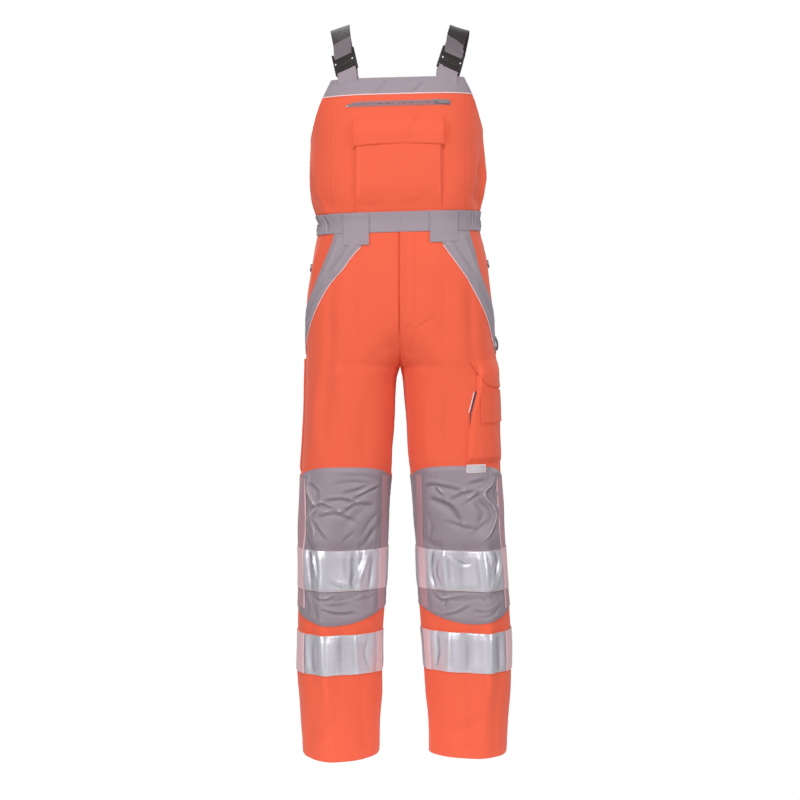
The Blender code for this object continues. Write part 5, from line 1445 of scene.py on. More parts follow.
# %% Chest pocket with bellows, under its flap
POCKET = Box(-87.5, 81.5, -206, WAIST_TOP - 2)
FLAP = Box(-89.5, 83.5, -190, -248)
FLAP_ARCH, FLAP_BEND = 4, 30
BELLOWS, BELLOWS_RAMP = 7, 6
POCKET_CREASES = [
    Crease(LEFT, [(150, -262), (146, -300), (152, -340)], 9, -1.2),
    Crease(RIGHT, [(196, -270), (188, -310), (196, -356)], 10, -1.3),
    Crease(LEFT, [(196, -340), (216, -356), (236, -360)], 6, -0.9, 0.4),
    Crease(RIGHT, [(166, -352), (190, -362), (214, -358)], 5, -0.9, 0.4),
]


def bellows(made):
    """Full in the middle and down to nothing at the sewn edges. It runs in under the waistband."""
    edge = np.minimum(np.minimum(made.left, made.right), (made.z - WAIST_TOP) / 9)
    creases = crease_heights(POCKET_CREASES, made.side, made.aside, made.z)
    full = BELLOWS * smooth(edge / BELLOWS_RAMP) * smooth((FLAP.top - made.z) / FLAP_BEND)
    return full + creases - 1.7 * smooth((WAIST_TOP + 3 - made.z) / 3)


def flap_bend(made):
    """The flap leans out over the pocket, waves a little and turns in at its corners."""
    across = np.minimum(made.left, made.right)
    droop = 0.8 * np.sin(made.left / 21) * smooth((FLAP.top - 20 - made.z) / 20)
    corner = -1.2 * np.exp(-((across / 12) ** 2)) * smooth((FLAP.top - 30 - made.z) / 20)
    return (BELLOWS + 2.2) * smooth((FLAP.top - made.z) / FLAP_BEND) + droop + corner


def chest_pocket():
    """The patch pocket, and the flap with its arched lower edge."""
    kinds = ("single", "single", "plain", "single")
    made = panel("chest_pocket", "orange_cloth", front_cut(POCKET), kinds, None, 4, ON_ONE, bellows)
    sew(made, ("left", "right"))
    sheet(made)
    middle, half = (FLAP.right + FLAP.left) / 2, (FLAP.left - FLAP.right) / 2
    share = np.linspace(-1, 1, 25)
    low = by_x([(middle + half * t, FLAP.bottom + FLAP_ARCH * (1 - t * t)) for t in share], soft=False)
    right, left, _, high = front_cut(FLAP)
    kinds = ("lap", "lap", "lap", "flush")
    made = panel("chest_flap", "orange_cloth", (right, left, low, high), kinds, None, 4, ON_ONE, flap_bend)
    sew(made, ("left", "right", "bottom"))
    sheet(made)


chest_pocket()

# %% [markdown]
# ## Hip pockets
#
# Grey panels sweep from the waistband to the side seam. Their piped edge is sewn down, and the other edge is
# the pocket's mouth, which stands a little open above the orange cloth.

# %% Hip panels
Edge = namedtuple("Edge", "right left z")
HIP_EDGE = [
    Edge(183, 176, WAIST_BOTTOM - 0.6),
    Edge(174.8, 163, -440),
    Edge(159.5, 153, -460),
    Edge(147, 140, -483),
    Edge(123, 122, -511),
    Edge(108, 107, -537),
    Edge(88, 86, -569),
    Edge(60, 64, -603),
    Edge(24, 40, -640),
    Edge(0.6, 0.6, -655),
]
MOUTH = [
    Edge(110.4, 93.5, WAIST_BOTTOM - 0.6),
    Edge(106, 94.5, -452),
    Edge(86, 86.5, -501),
    Edge(66, 64, -538),
    Edge(28, 26, -566),
    Edge(0, 0, -574),
]
HIP_GAPE, HIP_FULL = 2.6, 1.8
HIP_CREASES = [
    Crease(RIGHT, [(150, -424), (140, -452), (118, -490)], 6, -1.6, 0.6),
    Crease(RIGHT, [(126, -420), (120, -460), (96, -512)], 6, 1.6),
    Crease(RIGHT, [(102, -520), (72, -560), (30, -600)], 6, -1.4, 0.6),
    Crease(LEFT, [(146, -424), (132, -458), (112, -494)], 6, -1.6, 0.6),
    Crease(LEFT, [(118, -420), (112, -462), (94, -510)], 6, 1.6),
    Crease(LEFT, [(98, -524), (70, -562), (34, -598)], 6, -1.4, 0.6),
]


def gape(made):
    """The pocket's mouth stands open, and the panel has a few folds between its sewn edges."""
    open_here = smooth((WAIST_BOTTOM - 14 - made.z) / 30) * smooth((made.z + 580) / 40)
    from_mouth = made.right if made.side.flat[0] == LEFT else made.left
    creases = crease_heights(HIP_CREASES, made.side, made.aside, made.z)
    folds = np.maximum(HIP_FULL * smooth(made.edge_here / 16) + 1.5 * creases, 0)
    return HIP_GAPE * open_here * smooth(1 - from_mouth / 30) + folds * smooth(made.edge_here / 10)


def hip_panels():
    """A curved panel on each hip, between its piped edge and the pocket's mouth."""
    for side in (RIGHT, LEFT):
        name = SIDE_NAME[side]
        piped = by_girth(side, [(getattr(row, name), row.z) for row in HIP_EDGE[::-1]])
        mouth = by_girth(side, [(getattr(row, name), row.z) for row in MOUTH[::-1]])
        seam = through([piped[0], mouth[0]])
        top = through([piped[-1], mouth[-1]])
        if side == LEFT:
            cut = piped, mouth, seam, top
        else:
            cut = mouth, piped, seam[::-1], top[::-1]
        kinds = ("lap", "lap", "plain", "tuck")
        made = panel(f"hip_panel_{name}", "grey_cloth", cut, kinds, side, 3.6, ON_ONE, gape)
        sew(made, ("left", "right"))
        sheet(made)


hip_panels()

# %% [markdown]
# ## Thigh pockets
#
# The wearer's left thigh has a box pocket with a flap, a narrow phone pocket on it and a tab of tape. The
# right thigh has a long flat pocket for a folding rule.

# %% Cargo pocket, flap, phone pocket, rule pocket and tool loop
# Most of these are pairs of distance in front of the side seam and height. TOOL_LOOP and RULE are the front,
# back, top and bottom of a girth_cut.
CARGO_EDGE = [(122, -692), (124, -727), (133, -765), (140, -866)]
CARGO_BACK, CARGO_RISE, CARGO_RAMP = -62, 6, 16
CARGO_FLAP_FRONT = [(109, -707), (119, -693), (127, -680), (134, -664), (135, -660)]
CARGO_FLAP_LOW = [(109, -707), (99, -713.5), (86, -716), (-67, -716)]
PHONE = ((119, -724), (114, -787), (22, -787), (20, -724))
TOOL_LOOP = (17, -9, -618, -648)
RULE = (20, -58, -664, -888)
CARGO_CREASES = [
    Crease(LEFT, [(112, -806), (96, -836), (104, -860)], 7, -1.3, 0.5),
    Crease(LEFT, [(60, -800), (52, -826), (64, -858)], 8, -1.4),
    Crease(LEFT, [(10, -760), (-6, -800), (4, -850)], 8, -1.4, 0.5),
]


def girth_cut(side, front, back, top, bottom):
    """Four edges between two distances from the side seam and two heights."""
    start, end = (front, back) if side == LEFT else (back, front)
    left, right = (by_girth(side, [(aside, bottom), (aside, top)]) for aside in (start, end))
    low, high = (by_girth(side, [(start, z), (end, z)]) for z in (bottom, top))
    return left, right, low, high


def cargo_rise(made):
    """How far the cargo pocket stands off the thigh."""
    heights, edges = [-z for _, z in CARGO_EDGE], [aside for aside, _ in CARGO_EDGE]
    front = np.interp(-made.z, heights, edges)
    edge = np.minimum((front - made.aside) * 2.4, made.aside - CARGO_BACK)
    edge = np.minimum(edge, made.z - CARGO_EDGE[-1][1])
    creases = crease_heights(CARGO_CREASES, made.side, made.aside, made.z)
    flat = 1 - 0.72 * smooth((88 - made.aside) / 60)
    return (CARGO_RISE * smooth(edge / CARGO_RAMP) + creases) * flat


def cargo_flap_height(made):
    """The flap lies over the pocket's fullness and turns in at its front corner."""
    down = smooth((-660 - made.z) / 30)
    corner = -0.8 * np.exp(-((np.hypot(made.left, made.bottom) / 16) ** 2))
    return down * (cargo_rise(made) + 1.9) + corner


def cargo():
    """The box pocket, its flap, the phone pocket on it, and the label at its lower corner."""
    left = by_girth(LEFT, CARGO_EDGE[::-1])
    right = by_girth(LEFT, [(CARGO_BACK, -866), (CARGO_BACK, -692)])
    low = by_girth(LEFT, [(140, -866), (CARGO_BACK, -866)])
    high = by_girth(LEFT, [(122, -692), (CARGO_BACK, -692)])
    cut, kinds = (left, right, low, high), ("lap", "lap", "lap", "plain")
    made = panel("cargo_pocket", "orange_cloth", cut, kinds, LEFT, 4, ON_ONE, cargo_rise)
    sew(made, ("left", "right", "bottom"))
    sheet(made)

    left, low = by_girth(LEFT, CARGO_FLAP_FRONT), by_girth(LEFT, CARGO_FLAP_LOW)
    right = by_girth(LEFT, [(-67, -716), (-67, -660)])
    high = by_girth(LEFT, [(135, -660), (-67, -660)])
    cut, kinds = (left, right, low, high), ("lap", "lap", "lap", "flush")
    made = panel("cargo_flap", "orange_cloth", cut, kinds, LEFT, 4, ON_ONE, cargo_flap_height)
    sew(made, ("left", "right", "bottom"))
    sheet(made)

    corners = [by_girth(LEFT, pair) for pair in zip(PHONE, [*PHONE[1:], PHONE[0]])]
    cut = corners[0][::-1], corners[2], corners[1], corners[3][::-1]
    made = panel("phone_pocket", "orange_cloth", cut, ("single",) * 4, LEFT, 4, ON_TWO + 1.1, cargo_rise)
    sew(made)
    sheet(made)

    cut = girth_cut(LEFT, 139, 101, -867.4, -883)
    made = panel("cargo_tab", "label_silver", cut, ("tape",) * 4, LEFT, 2, ON_TWO + 3.2)
    sew(made)
    sheet(made)


def tool_loop_bow(made):
    """The loop bows out between its two sewn ends, a little more below."""
    along = (made.z - TOOL_LOOP[3]) / (TOOL_LOOP[2] - TOOL_LOOP[3])
    return 4.6 * np.sin(math.pi * np.clip(along, 0, 1)) ** 0.8 * (1.15 - 0.4 * along)


def rule_rise(made):
    """The rule pocket stands off the thigh a little inside its sewn edges."""
    edge = np.minimum(np.minimum(made.left, made.right), made.bottom)
    return 2.4 * smooth(edge / 12)


def side_pieces():
    """The tool loop on the left side and the rule pocket on the right thigh."""
    cut = girth_cut(LEFT, *TOOL_LOOP)
    kinds = ("tape", "tape", "plain", "plain")
    made = panel("tool_loop", "webbing", cut, kinds, LEFT, 2, 4, tool_loop_bow, 3.2)
    sheet(made)
    cut, kinds = girth_cut(RIGHT, *RULE), ("lap", "lap", "lap", "bound")
    made = panel("rule_pocket", "orange_cloth", cut, kinds, RIGHT, 4.5, ON_ONE, rule_rise)
    sew(made)
    sheet(made)


cargo()
side_pieces()

# %% [markdown]
# ## Knee patches
#
# The patches are two layers thick, so they crease more sharply than the legs: short dark troughs run in from
# the side seam, and a pale ridge wanders down the outer side of each knee. These are drawn line by line from
# the photograph, and differ between the knees.

# %% Knee creases
RIGHT_RIDGE = [(82, -892), (80, -911), (95, -940), (100, -947), (88, -973), (97, -997), (94, -1026)]
LEFT_RIDGE = [(80, -884), (84, -901), (107, -926), (104, -934)]
LEFT_RIDGE += [(84, -955), (80, -967), (90, -992), (108, -1014)]
KNEE_CREASES = [
    Crease(RIGHT, [(174, -936), (200, -923), (234, -911)], 3.6, -2.6, 1.2),
    Crease(RIGHT, [(156, -923), (175, -919), (196, -911)], 3.2, -1.8, 0.8),
    Crease(RIGHT, [(118, -941), (147, -937), (174, -942)], 3.6, -2.6, 1.3),
    Crease(RIGHT, [(90, -956), (109, -949), (137, -957)], 3.6, -2.4, 1.2),
    Crease(RIGHT, [(152, -963), (181, -947), (211, -949)], 4.2, -2.8, 1.2),
    Crease(RIGHT, [(108, -971), (135, -965), (174, -979)], 4.2, -2.8, 1.3),
    Crease(RIGHT, [(150, -893), (190, -890), (234, -901)], 5, -0.9, 0.3),
    Crease(RIGHT, RIGHT_RIDGE, 3.2, 4.0, -1.8),
    Crease(RIGHT, [(87, -909), (102, -922), (103, -935)], 3.2, -1.9, 0.8),
    Crease(RIGHT, [(85, -973), (101, -994), (119, -1016)], 4, -2.3, 1.0),
    Crease(RIGHT, [(152, -1019), (172, -1002)], 4, -1.3, 0.6),
    Crease(RIGHT, [(60, -905), (72, -950), (62, -990), (76, -1028)], 6, -3.2, 0.8),
    Crease(RIGHT, [(226, -965), (205, -985), (188, -1010)], 6, -1.8, 0.7),
    Crease(RIGHT, [(214, -1000), (200, -1026)], 4, -1.6, 0.8),
    Crease(RIGHT, [(238, -1012), (226, -1028)], 4, -1.4, 0.6),
    Crease(RIGHT, [(140, -905), (176, -901), (206, -906)], 4, -1.2, 0.5),
    Crease(RIGHT, [(30, -916), (44, -944), (38, -980)], 5, 2.0),
    Crease(LEFT, [(229, -915), (205, -909), (184, -912), (152, -918)], 4, -2.6, -1.3),
    Crease(LEFT, [(201, -915), (187, -928)], 3.2, -2.5, -1.6),
    Crease(LEFT, [(167, -936), (150, -927), (128, -922)], 4, -2.4, -1.2),
    Crease(LEFT, [(140, -942), (112, -924)], 3.6, -2.0, -1.0),
    Crease(LEFT, [(207, -939), (188, -945), (172, -954), (156, -978)], 5.5, -3.2, -1.4),
    Crease(LEFT, [(174, -981), (150, -990), (128, -994)], 4.4, -2.3, -1.2),
    Crease(LEFT, [(128, -1000), (103, -982)], 4, -1.9, -0.8),
    Crease(LEFT, LEFT_RIDGE, 3.2, 4.0, 1.8),
    Crease(LEFT, [(133, -905), (104, -899)], 3.6, -1.5, -0.8),
    Crease(LEFT, [(60, -905), (76, -930), (58, -956), (68, -1000)], 6, -3.0, 0.8),
    Crease(LEFT, [(226, -960), (214, -990), (222, -1024)], 5, -1.6, 0.6),
    Crease(LEFT, [(124, -944), (112, -968), (122, -990)], 6, -2.2, 0.8),
    Crease(LEFT, [(28, -900), (22, -940), (30, -976)], 5, 2.0),
    Crease(RIGHT, [(84, -1126), (106, -1137), (136, -1130), (164, -1122)], 3.4, -3.4, 1.6),
    Crease(RIGHT, [(132, -1138), (160, -1131), (190, -1123), (222, -1117)], 3.4, -3.4, 1.6),
    Crease(RIGHT, [(108, -1156), (130, -1163), (170, -1164)], 3.0, -2.4, 1.2),
    Crease(RIGHT, [(112, -1146), (140, -1147), (160, -1144)], 2.8, -1.2, 0.6),
    Crease(RIGHT, [(184, -1134), (200, -1132)], 2.6, -1.8, 1.0),
    Crease(RIGHT, [(168, -1139), (195, -1138), (221, -1131)], 3.4, -1.4, 0.6),
    Crease(RIGHT, [(94, -1152), (98, -1180)], 3.6, -1.6, 0.7),
    Crease(RIGHT, [(60, -1128), (74, -1150), (70, -1170)], 4, -1.6, 0.7),
    Crease(LEFT, [(222, -1126), (198, -1140), (172, -1135), (136, -1129)], 3.4, -3.4, -1.6),
    Crease(LEFT, [(188, -1138), (192, -1152)], 2.8, -1.6, 0.7),
    Crease(LEFT, [(170, -1138), (128, -1131), (96, -1132)], 3.4, -3.2, -1.5),
    Crease(LEFT, [(128, -1158), (106, -1160), (92, -1154)], 2.8, -1.4, -0.8),
    Crease(LEFT, [(194, -1171), (169, -1164), (145, -1151)], 3.6, -2.4, -1.1),
    Crease(LEFT, [(114, -1138), (92, -1122), (68, -1126)], 4, -1.7, -0.8),
    Crease(LEFT, [(120, -1172), (98, -1166), (80, -1150)], 4, -1.4, -0.7),
]
Knee = namedtuple("Knee", "top top_middle top_half bottom bottom_middle bottom_half")
KNEES = {RIGHT: Knee(-873, 158, 122, -1189, 128, 118), LEFT: Knee(-870, 150, 128, -1185, 138, 120)}
KNEE_TOP_DROP, KNEE_BOTTOM_LIFT, KNEE_BACK = 24, 31, (-1157, -895)
PATCH_INSET = 0.14
OUTER_STRIP = 58  # how far the outer seam strip reaches to the front
INNER_STRIP = {RIGHT: (50, 48, 39), LEFT: (65, 59, 46)}  # x of the inner seam strip's outer edge
CREASE_BASE, CREASE_DEPTH = 3.4, 1.9  # padding that lets a crease sink, and how much deeper they are drawn
TAPE_UPPER, TAPE_LOWER = (-1119, -1038), (-1285, -1205)


def off_strip(made):
    """0 under the two seam strips and 1 away from them, so that the strips lie flat."""
    strip = np.interp(made.z, (-1285, -1163, -897), INNER_STRIP[int(made.side.flat[0])])
    inner = smooth((np.abs(made.base[..., 0]) - strip) / 9)
    outer = np.where(made.aside > -8, smooth((made.aside - OUTER_STRIP) / 10), 1)
    return np.where(made.base[..., 1] > 0, 1, inner) * outer


def knee_form(made):
    """Padding and creases, which leave the tape across the shin flat."""
    clear = np.where(made.z > TAPE_UPPER[1], made.z - TAPE_UPPER[1], TAPE_UPPER[0] - made.z) - 2
    beside = np.minimum(made.left, made.right)
    fade = smooth(clear / 10) * smooth(beside / 12) * smooth(np.minimum(made.top, made.bottom) / 10)
    fade = fade * off_strip(made)
    creases = CREASE_DEPTH * crease_heights(KNEE_CREASES, made.side, made.aside, made.z)
    padding = CREASE_BASE * smooth(clear / 22) * smooth(beside / 45)
    return fade * np.maximum(creases + padding, 0)


def knees():
    """A patch in front of each knee, with curved edges, and a plain one behind."""
    for side, knee in KNEES.items():
        name = SIDE_NAME[side]
        columns = side * np.linspace(PATCH_INSET, COLUMNS - PATCH_INSET, 49)[::side]

        def edge(z, middle, half, lift, power):
            """A level edge that bends by lift towards the sides, away from its middle."""
            aside = cloth_at(columns, np.full(49, float(z)), side)[2]
            away = np.minimum(np.abs(aside - middle) / half, 1)
            return np.column_stack([columns, z + lift * away**power])

        top = edge(knee.top, knee.top_middle, knee.top_half, -KNEE_TOP_DROP, 2.6)
        bottom = edge(knee.bottom, knee.bottom_middle, knee.bottom_half, KNEE_BOTTOM_LIFT, 1.7)
        cut = through([bottom[0], top[0]]), through([bottom[-1], top[-1]]), bottom, top
        kinds = ("single", "single", "lap", "lap")
        made = panel(f"knee_patch_{name}", "patch_cloth", cut, kinds, side, 2.3, ON_ONE + 0.35, knee_form)
        sew(made)
        sheet(made)
        start = (COLUMNS if side == LEFT else 2 * COLUMNS) + PATCH_INSET
        cut = flat_cut(*KNEE_BACK, start, start + COLUMNS - 2 * PATCH_INSET)
        made = panel(f"knee_back_{name}", "patch_cloth", cut, kinds, side, 5.8, ON_ONE + 0.35)
        sew(made)
        sheet(made)


knees()

# %% [markdown]
# ## Reflective tapes
#
# Two bands run round each leg. The tape is stiffer than the cloth, so it bends in flat facets with fairly
# sharp lines between them, and each facet mirrors its own part of the room.

# %% Tapes
TAPE_RAISE = {"upper": {RIGHT: 0, LEFT: 0}, "lower": {RIGHT: -2, LEFT: 2.5}}
TAPE_FULL = 2.0  # how far a tape stands off between its creases
TAPE_CREASES = [
    # right shin: bright strip, dark wedge, bright field, grey field with a slanting streak
    Crease(RIGHT, [(70, -1040), (74, -1080), (78, -1118)], 6, 2.2),
    Crease(RIGHT, [(82, -1040), (88, -1070), (92, -1104)], 4, -2.2, 0.8),
    Crease(RIGHT, [(90, -1038), (94, -1066), (98, -1092)], 3.6, 2.8),
    Crease(RIGHT, [(100, -1046), (101, -1084), (97, -1119)], 3.6, -3.6),
    Crease(RIGHT, [(108, -1040), (107, -1118)], 5, 2.0),
    Crease(RIGHT, [(160, -1040), (158, -1118)], 5, 1.8),
    Crease(RIGHT, [(170, -1042), (165, -1118)], 5, -2.8),
    Crease(RIGHT, [(206, -1042), (190, -1078), (172, -1116)], 4, 3.2, -1.2),
    Crease(RIGHT, [(194, -1042), (180, -1074)], 6, -1.8),
    Crease(RIGHT, [(216, -1050), (204, -1112)], 6, -2.4),
    Crease(RIGHT, [(120, -1102), (140, -1110), (152, -1112)], 4, -0.9, 0.4),
    # left shin: crumpled grey, bright field, streaked outer field
    Crease(LEFT, [(232, -1044), (226, -1080), (232, -1116)], 4, 1.3, 0.5),
    Crease(LEFT, [(214, -1042), (222, -1082), (212, -1116)], 5, -2.6, 1.0),
    Crease(LEFT, [(204, -1060), (208, -1090), (200, -1110)], 4, -2.0, -0.8),
    Crease(LEFT, [(190, -1042), (188, -1084), (184, -1117)], 4, 2.2),
    Crease(LEFT, [(178, -1044), (162, -1058), (148, -1064), (138, -1062)], 4, -0.8, 0.5),
    Crease(LEFT, [(120, -1042), (114, -1117)], 4, 2.4),
    Crease(LEFT, [(106, -1042), (101, -1080), (104, -1117)], 5, -3.0, 0.8),
    Crease(LEFT, [(98, -1040), (94, -1056), (98, -1068)], 3, 2.0, 0.8),
    Crease(LEFT, [(84, -1042), (80, -1066), (86, -1082)], 3, -2.2, 0.9),
    Crease(LEFT, [(60, -1050), (72, -1080), (88, -1112)], 3.6, 3.0, 1.2),
    Crease(LEFT, [(50, -1060), (60, -1100)], 4, -2.0, 0.8),
    # lower bands
    Crease(RIGHT, [(110, -1208), (111, -1286)], 6, 1.6),
    Crease(RIGHT, [(90, -1210), (86, -1284)], 9, -3.2),
    Crease(RIGHT, [(64, -1210), (70, -1284)], 5, 1.4),
    Crease(RIGHT, [(138, -1212), (134, -1284)], 8, -1.3),
    Crease(RIGHT, [(170, -1212), (176, -1284)], 6, 1.2),
    Crease(RIGHT, [(200, -1212), (192, -1250), (204, -1284)], 6, -1.5, 0.6),
    Crease(RIGHT, [(222, -1212), (228, -1280)], 5, 1.3),
    Crease(LEFT, [(102, -1204), (101, -1282)], 6, 1.6),
    Crease(LEFT, [(84, -1206), (80, -1282)], 8, -2.8),
    Crease(LEFT, [(54, -1206), (50, -1282)], 5, 1.2),
    Crease(LEFT, [(150, -1206), (144, -1280)], 9, -1.4),
    Crease(LEFT, [(184, -1206), (180, -1280)], 6, 1.3),
    Crease(LEFT, [(212, -1206), (206, -1244), (216, -1280)], 6, -1.6, 0.6),
    Crease(LEFT, [(236, -1206), (240, -1276)], 5, 1.2),
    # the backs
    Crease(RIGHT, [(-50, -1042), (-62, -1116)], 6, -1.8, 0.6),
    Crease(RIGHT, [(-86, -1042), (-80, -1116)], 5, 1.6),
    Crease(RIGHT, [(-128, -1042), (-120, -1116)], 8, -1.7),
    Crease(RIGHT, [(-170, -1042), (-182, -1116)], 5, 1.5),
    Crease(RIGHT, [(-214, -1044), (-206, -1112)], 6, -1.3, 0.5),
    Crease(LEFT, [(-62, -1042), (-56, -1116)], 6, -1.8, 0.6),
    Crease(LEFT, [(-98, -1042), (-104, -1116)], 5, 1.6),
    Crease(LEFT, [(-136, -1042), (-140, -1116)], 8, -1.6),
    Crease(LEFT, [(-184, -1042), (-172, -1116)], 5, 1.5),
    Crease(LEFT, [(-222, -1044), (-228, -1112)], 6, -1.3, 0.5),
    Crease(RIGHT, [(-84, -1208), (-90, -1284)], 5, 1.6),
    Crease(RIGHT, [(-130, -1208), (-124, -1284)], 9, -1.8),
    Crease(RIGHT, [(-190, -1208), (-196, -1284)], 5, 1.4),
    Crease(LEFT, [(-96, -1206), (-90, -1282)], 6, -1.8, 0.6),
    Crease(LEFT, [(-140, -1206), (-146, -1282)], 5, 1.6),
    Crease(LEFT, [(-196, -1206), (-188, -1282)], 8, -1.6),
]


def tape_form(made):
    """The tape stands off a little and bends in facets, and its ends and rims lie down."""
    facets = crease_heights(TAPE_CREASES, made.side, made.aside, made.z)
    ends = smooth(np.minimum(made.left, made.right) / 8)
    rims = 0.6 + 0.4 * smooth(np.minimum(made.top, made.bottom) / 16)
    return np.maximum(TAPE_FULL + facets, 0) * ends * rims * off_strip(made)


def tapes():
    """Two bands round each leg, each in a front and a back part."""
    for band, (low, high) in (("upper", TAPE_UPPER), ("lower", TAPE_LOWER)):
        over = ON_THREE - 0.9 if band == "upper" else ON_ONE + 0.2
        for side in (RIGHT, LEFT):
            raised = TAPE_RAISE[band][side]
            fronts = -COLUMNS if side == RIGHT else 0
            backs = 2 * COLUMNS if side == RIGHT else COLUMNS
            for half, start in (("front", fronts), ("back", backs)):
                name = f"tape_{band}_{half}_{SIDE_NAME[side]}"
                ends = start + PATCH_INSET, start + COLUMNS - PATCH_INSET
                cut = flat_cut(low + raised, high + raised, *ends)
                made = panel(name, "reflective_tape", cut, ("tape",) * 4, side, 2.6, over, tape_form, 0.8)
                sew(made, ("bottom", "top"))
                sheet(made)


tapes()

# %% [markdown]
# ## Piping and seam strips
#
# Piping is a thin cord in a folded strip, caught in the seam. A tube that follows the seam at the right
# height catches a long highlight, which a painted line can't do. Where the patches and tapes end beside a
# leg seam, the felled seam shows as a narrow paler strip.

# %% Tubes along a line
PIPE_RADIUS, HIP_PIPE_RADIUS = 1.35, 1.0
PIPE_SIDES, PIPE_TAPER = 10, 3  # sides of a cord, and the length over which its ends round off


def ring_faces(rings, around):
    """Faces of a closed form made of rings of points, one above the other."""
    index = np.arange(rings * around).reshape(rings, around)
    after = np.roll(index, -1, axis=1)
    quads = np.stack([index[:-1], after[:-1], after[1:], index[1:]], axis=-1).reshape(-1, 4)
    return [*quads, index[0][::-1], index[-1]]


def tube(name, points, out, radius):
    """A round cord through points, closed at its ends. out is the direction away from the cloth."""
    ahead = unit(np.gradient(points, axis=0))
    side = unit(np.cross(ahead, out))
    up = np.cross(side, ahead)
    along = lengths_along(points)
    ends = np.minimum(along, along[-1] - along)
    size = radius * np.sqrt(np.clip(1 - (1 - np.minimum(ends / PIPE_TAPER, 1)) ** 2, 0.02, 1))
    turn = np.linspace(0, 2 * math.pi, PIPE_SIDES, endpoint=False)[None, :, None]
    ring = side[:, None] * np.cos(turn) + up[:, None] * np.sin(turn)
    rings = points[:, None] + ring * size[:, None, None]
    faces = [face[::-1] for face in ring_faces(len(points), PIPE_SIDES)]
    return new_mesh(name, rings.reshape(-1, 3), faces, "piping", 60)


def lay_cord(name, places, side, height, radius, *nodes):
    """Lays a cord of piping at a height above the body along columns and heights."""
    points, out = cloth_at(places[:, 0], places[:, 1], side)[:2]
    points = points + out * height
    ride(tube(name, points, out, radius), "piping", *nodes)
    print(f"{name}: {lengths_along(points)[-1]:.0f} mm long")


def beside(points, away):
    """A line that runs at a distance to the left of another, in girth and height."""
    ahead = np.gradient(np.array(points, float), axis=0)
    ahead /= np.linalg.norm(ahead, axis=1, keepdims=True)
    return np.array(points) + np.column_stack([-ahead[:, 1], ahead[:, 0]]) * away


def piping():
    """The cords under the yoke, along both hip panels and on both sides of the cargo pocket's slit."""
    first, last = (column_aside(side, armhole_aside(YOKE_SEAM), YOKE_SEAM) for side in (RIGHT, LEFT))
    lay_cord("piping_yoke", level(YOKE_SEAM - 0.4, first, last, 160), None, 0.9, PIPE_RADIUS, "yoke_piping")
    for side in (RIGHT, LEFT):
        name = SIDE_NAME[side]
        edge = through([(getattr(row, name), row.z) for row in HIP_EDGE[1:-1]], step=3)
        places = by_girth(side, beside(edge, 1.3), soft=False)
        lay_cord(f"piping_hip_{name}", places, side, 1.3, HIP_PIPE_RADIUS, f"hip_piping_{name}")
    places = by_girth(LEFT, [(127.5, -724), (132, -745), (137, -768)])
    lay_cord("piping_cargo", places, LEFT, 1.2, 1.1, "cargo_piping")
    places = by_girth(LEFT, [(119.5, -724), (121.5, -738), (127, -752)])
    lay_cord("piping_cargo_inner", places, LEFT, 2.6, 0.9)


def pocket_mouth():
    """The cargo pocket's slit gapes a little, and a narrow wedge in it is coloured dark as painted shade
    inside the pocket.
    """
    left = by_girth(LEFT, [(133.5, -806), (134, -767), (126, -724)])
    right = by_girth(LEFT, [(133, -806), (127.5, -760), (120.5, -724)])
    low = by_girth(LEFT, [(133.5, -806), (133, -806)])
    high = by_girth(LEFT, [(126, -724), (120.5, -724)])
    cut, kinds = (left, right, low, high), ("plain",) * 4
    made = panel("cargo_slit_shade", "painted_slit_shade", cut, kinds, LEFT, 1.6, 2.4, thick=0.5)
    ride(made.object, "orange_cloth")


piping()
pocket_mouth()


# %% Strips over the leg seams beside patches and tapes
# For each strip: its x at the top and bottom, from its outer to its inner edge, its heights and finish.
SeamStrip = namedtuple("SeamStrip", "name side top bottom high low finish lift")
WELT, WELT_RISE = (-1.6, -1.47), 1.1  # columns from the side seam, and height over the strip
SEAM_STRIPS = [
    SeamStrip("knee_inner", RIGHT, (37.5, 25.5), (39.5, 29), -891, -1037.5, "seam_cloth", 3.2),
    SeamStrip("upper_inner", RIGHT, (43, 29), (45, 33), -1037.5, -1119.5, "pale_cloth", 3.9),
    SeamStrip("shin_inner", RIGHT, (45, 33), (47, 35), -1119.5, -1160, "seam_cloth", 3.0),
    SeamStrip("lower_inner", RIGHT, (47, 37), (49, 38), -1206, -1287.5, "pale_cloth", 2.9),
    SeamStrip("knee_inner", LEFT, (33, 45), (37, 49), -890, -1037.5, "seam_cloth", 3.2),
    SeamStrip("upper_inner", LEFT, (38, 51), (42, 55), -1037.5, -1119.5, "pale_cloth", 3.9),
    SeamStrip("shin_inner", LEFT, (42, 55), (46, 58), -1119.5, -1158, "seam_cloth", 3.0),
    SeamStrip("lower_inner", LEFT, (48, 60), (54, 64), -1201.5, -1283, "pale_cloth", 2.9),
]


def strip(name, finish, cut, side, lift):
    """One narrow strip of cloth over a seam."""
    kinds = ("flush_thin", "flush_thin", "plain", "plain")
    made = panel(f"seam_{name}_{SIDE_NAME[side]}", finish, cut, kinds, side, 3, lift, thick=0.7)
    ride(made.object, "grey_cloth" if finish == "seam_cloth" else "reflective_tape")


def inner_strips():
    """The strips beside the inner leg seams, from the table."""
    for row in SEAM_STRIPS:
        ends = ((row.top, row.high), (row.bottom, row.low))
        corners = [(row.side * x, z) for pair, z in ends for x in pair]
        pairs = ((2, 0), (3, 1), (2, 3), (0, 1))
        cut = [by_x([corners[start], corners[end]], row.side) for start, end in pairs]
        strip(row.name, row.finish, cut, row.side, row.lift)


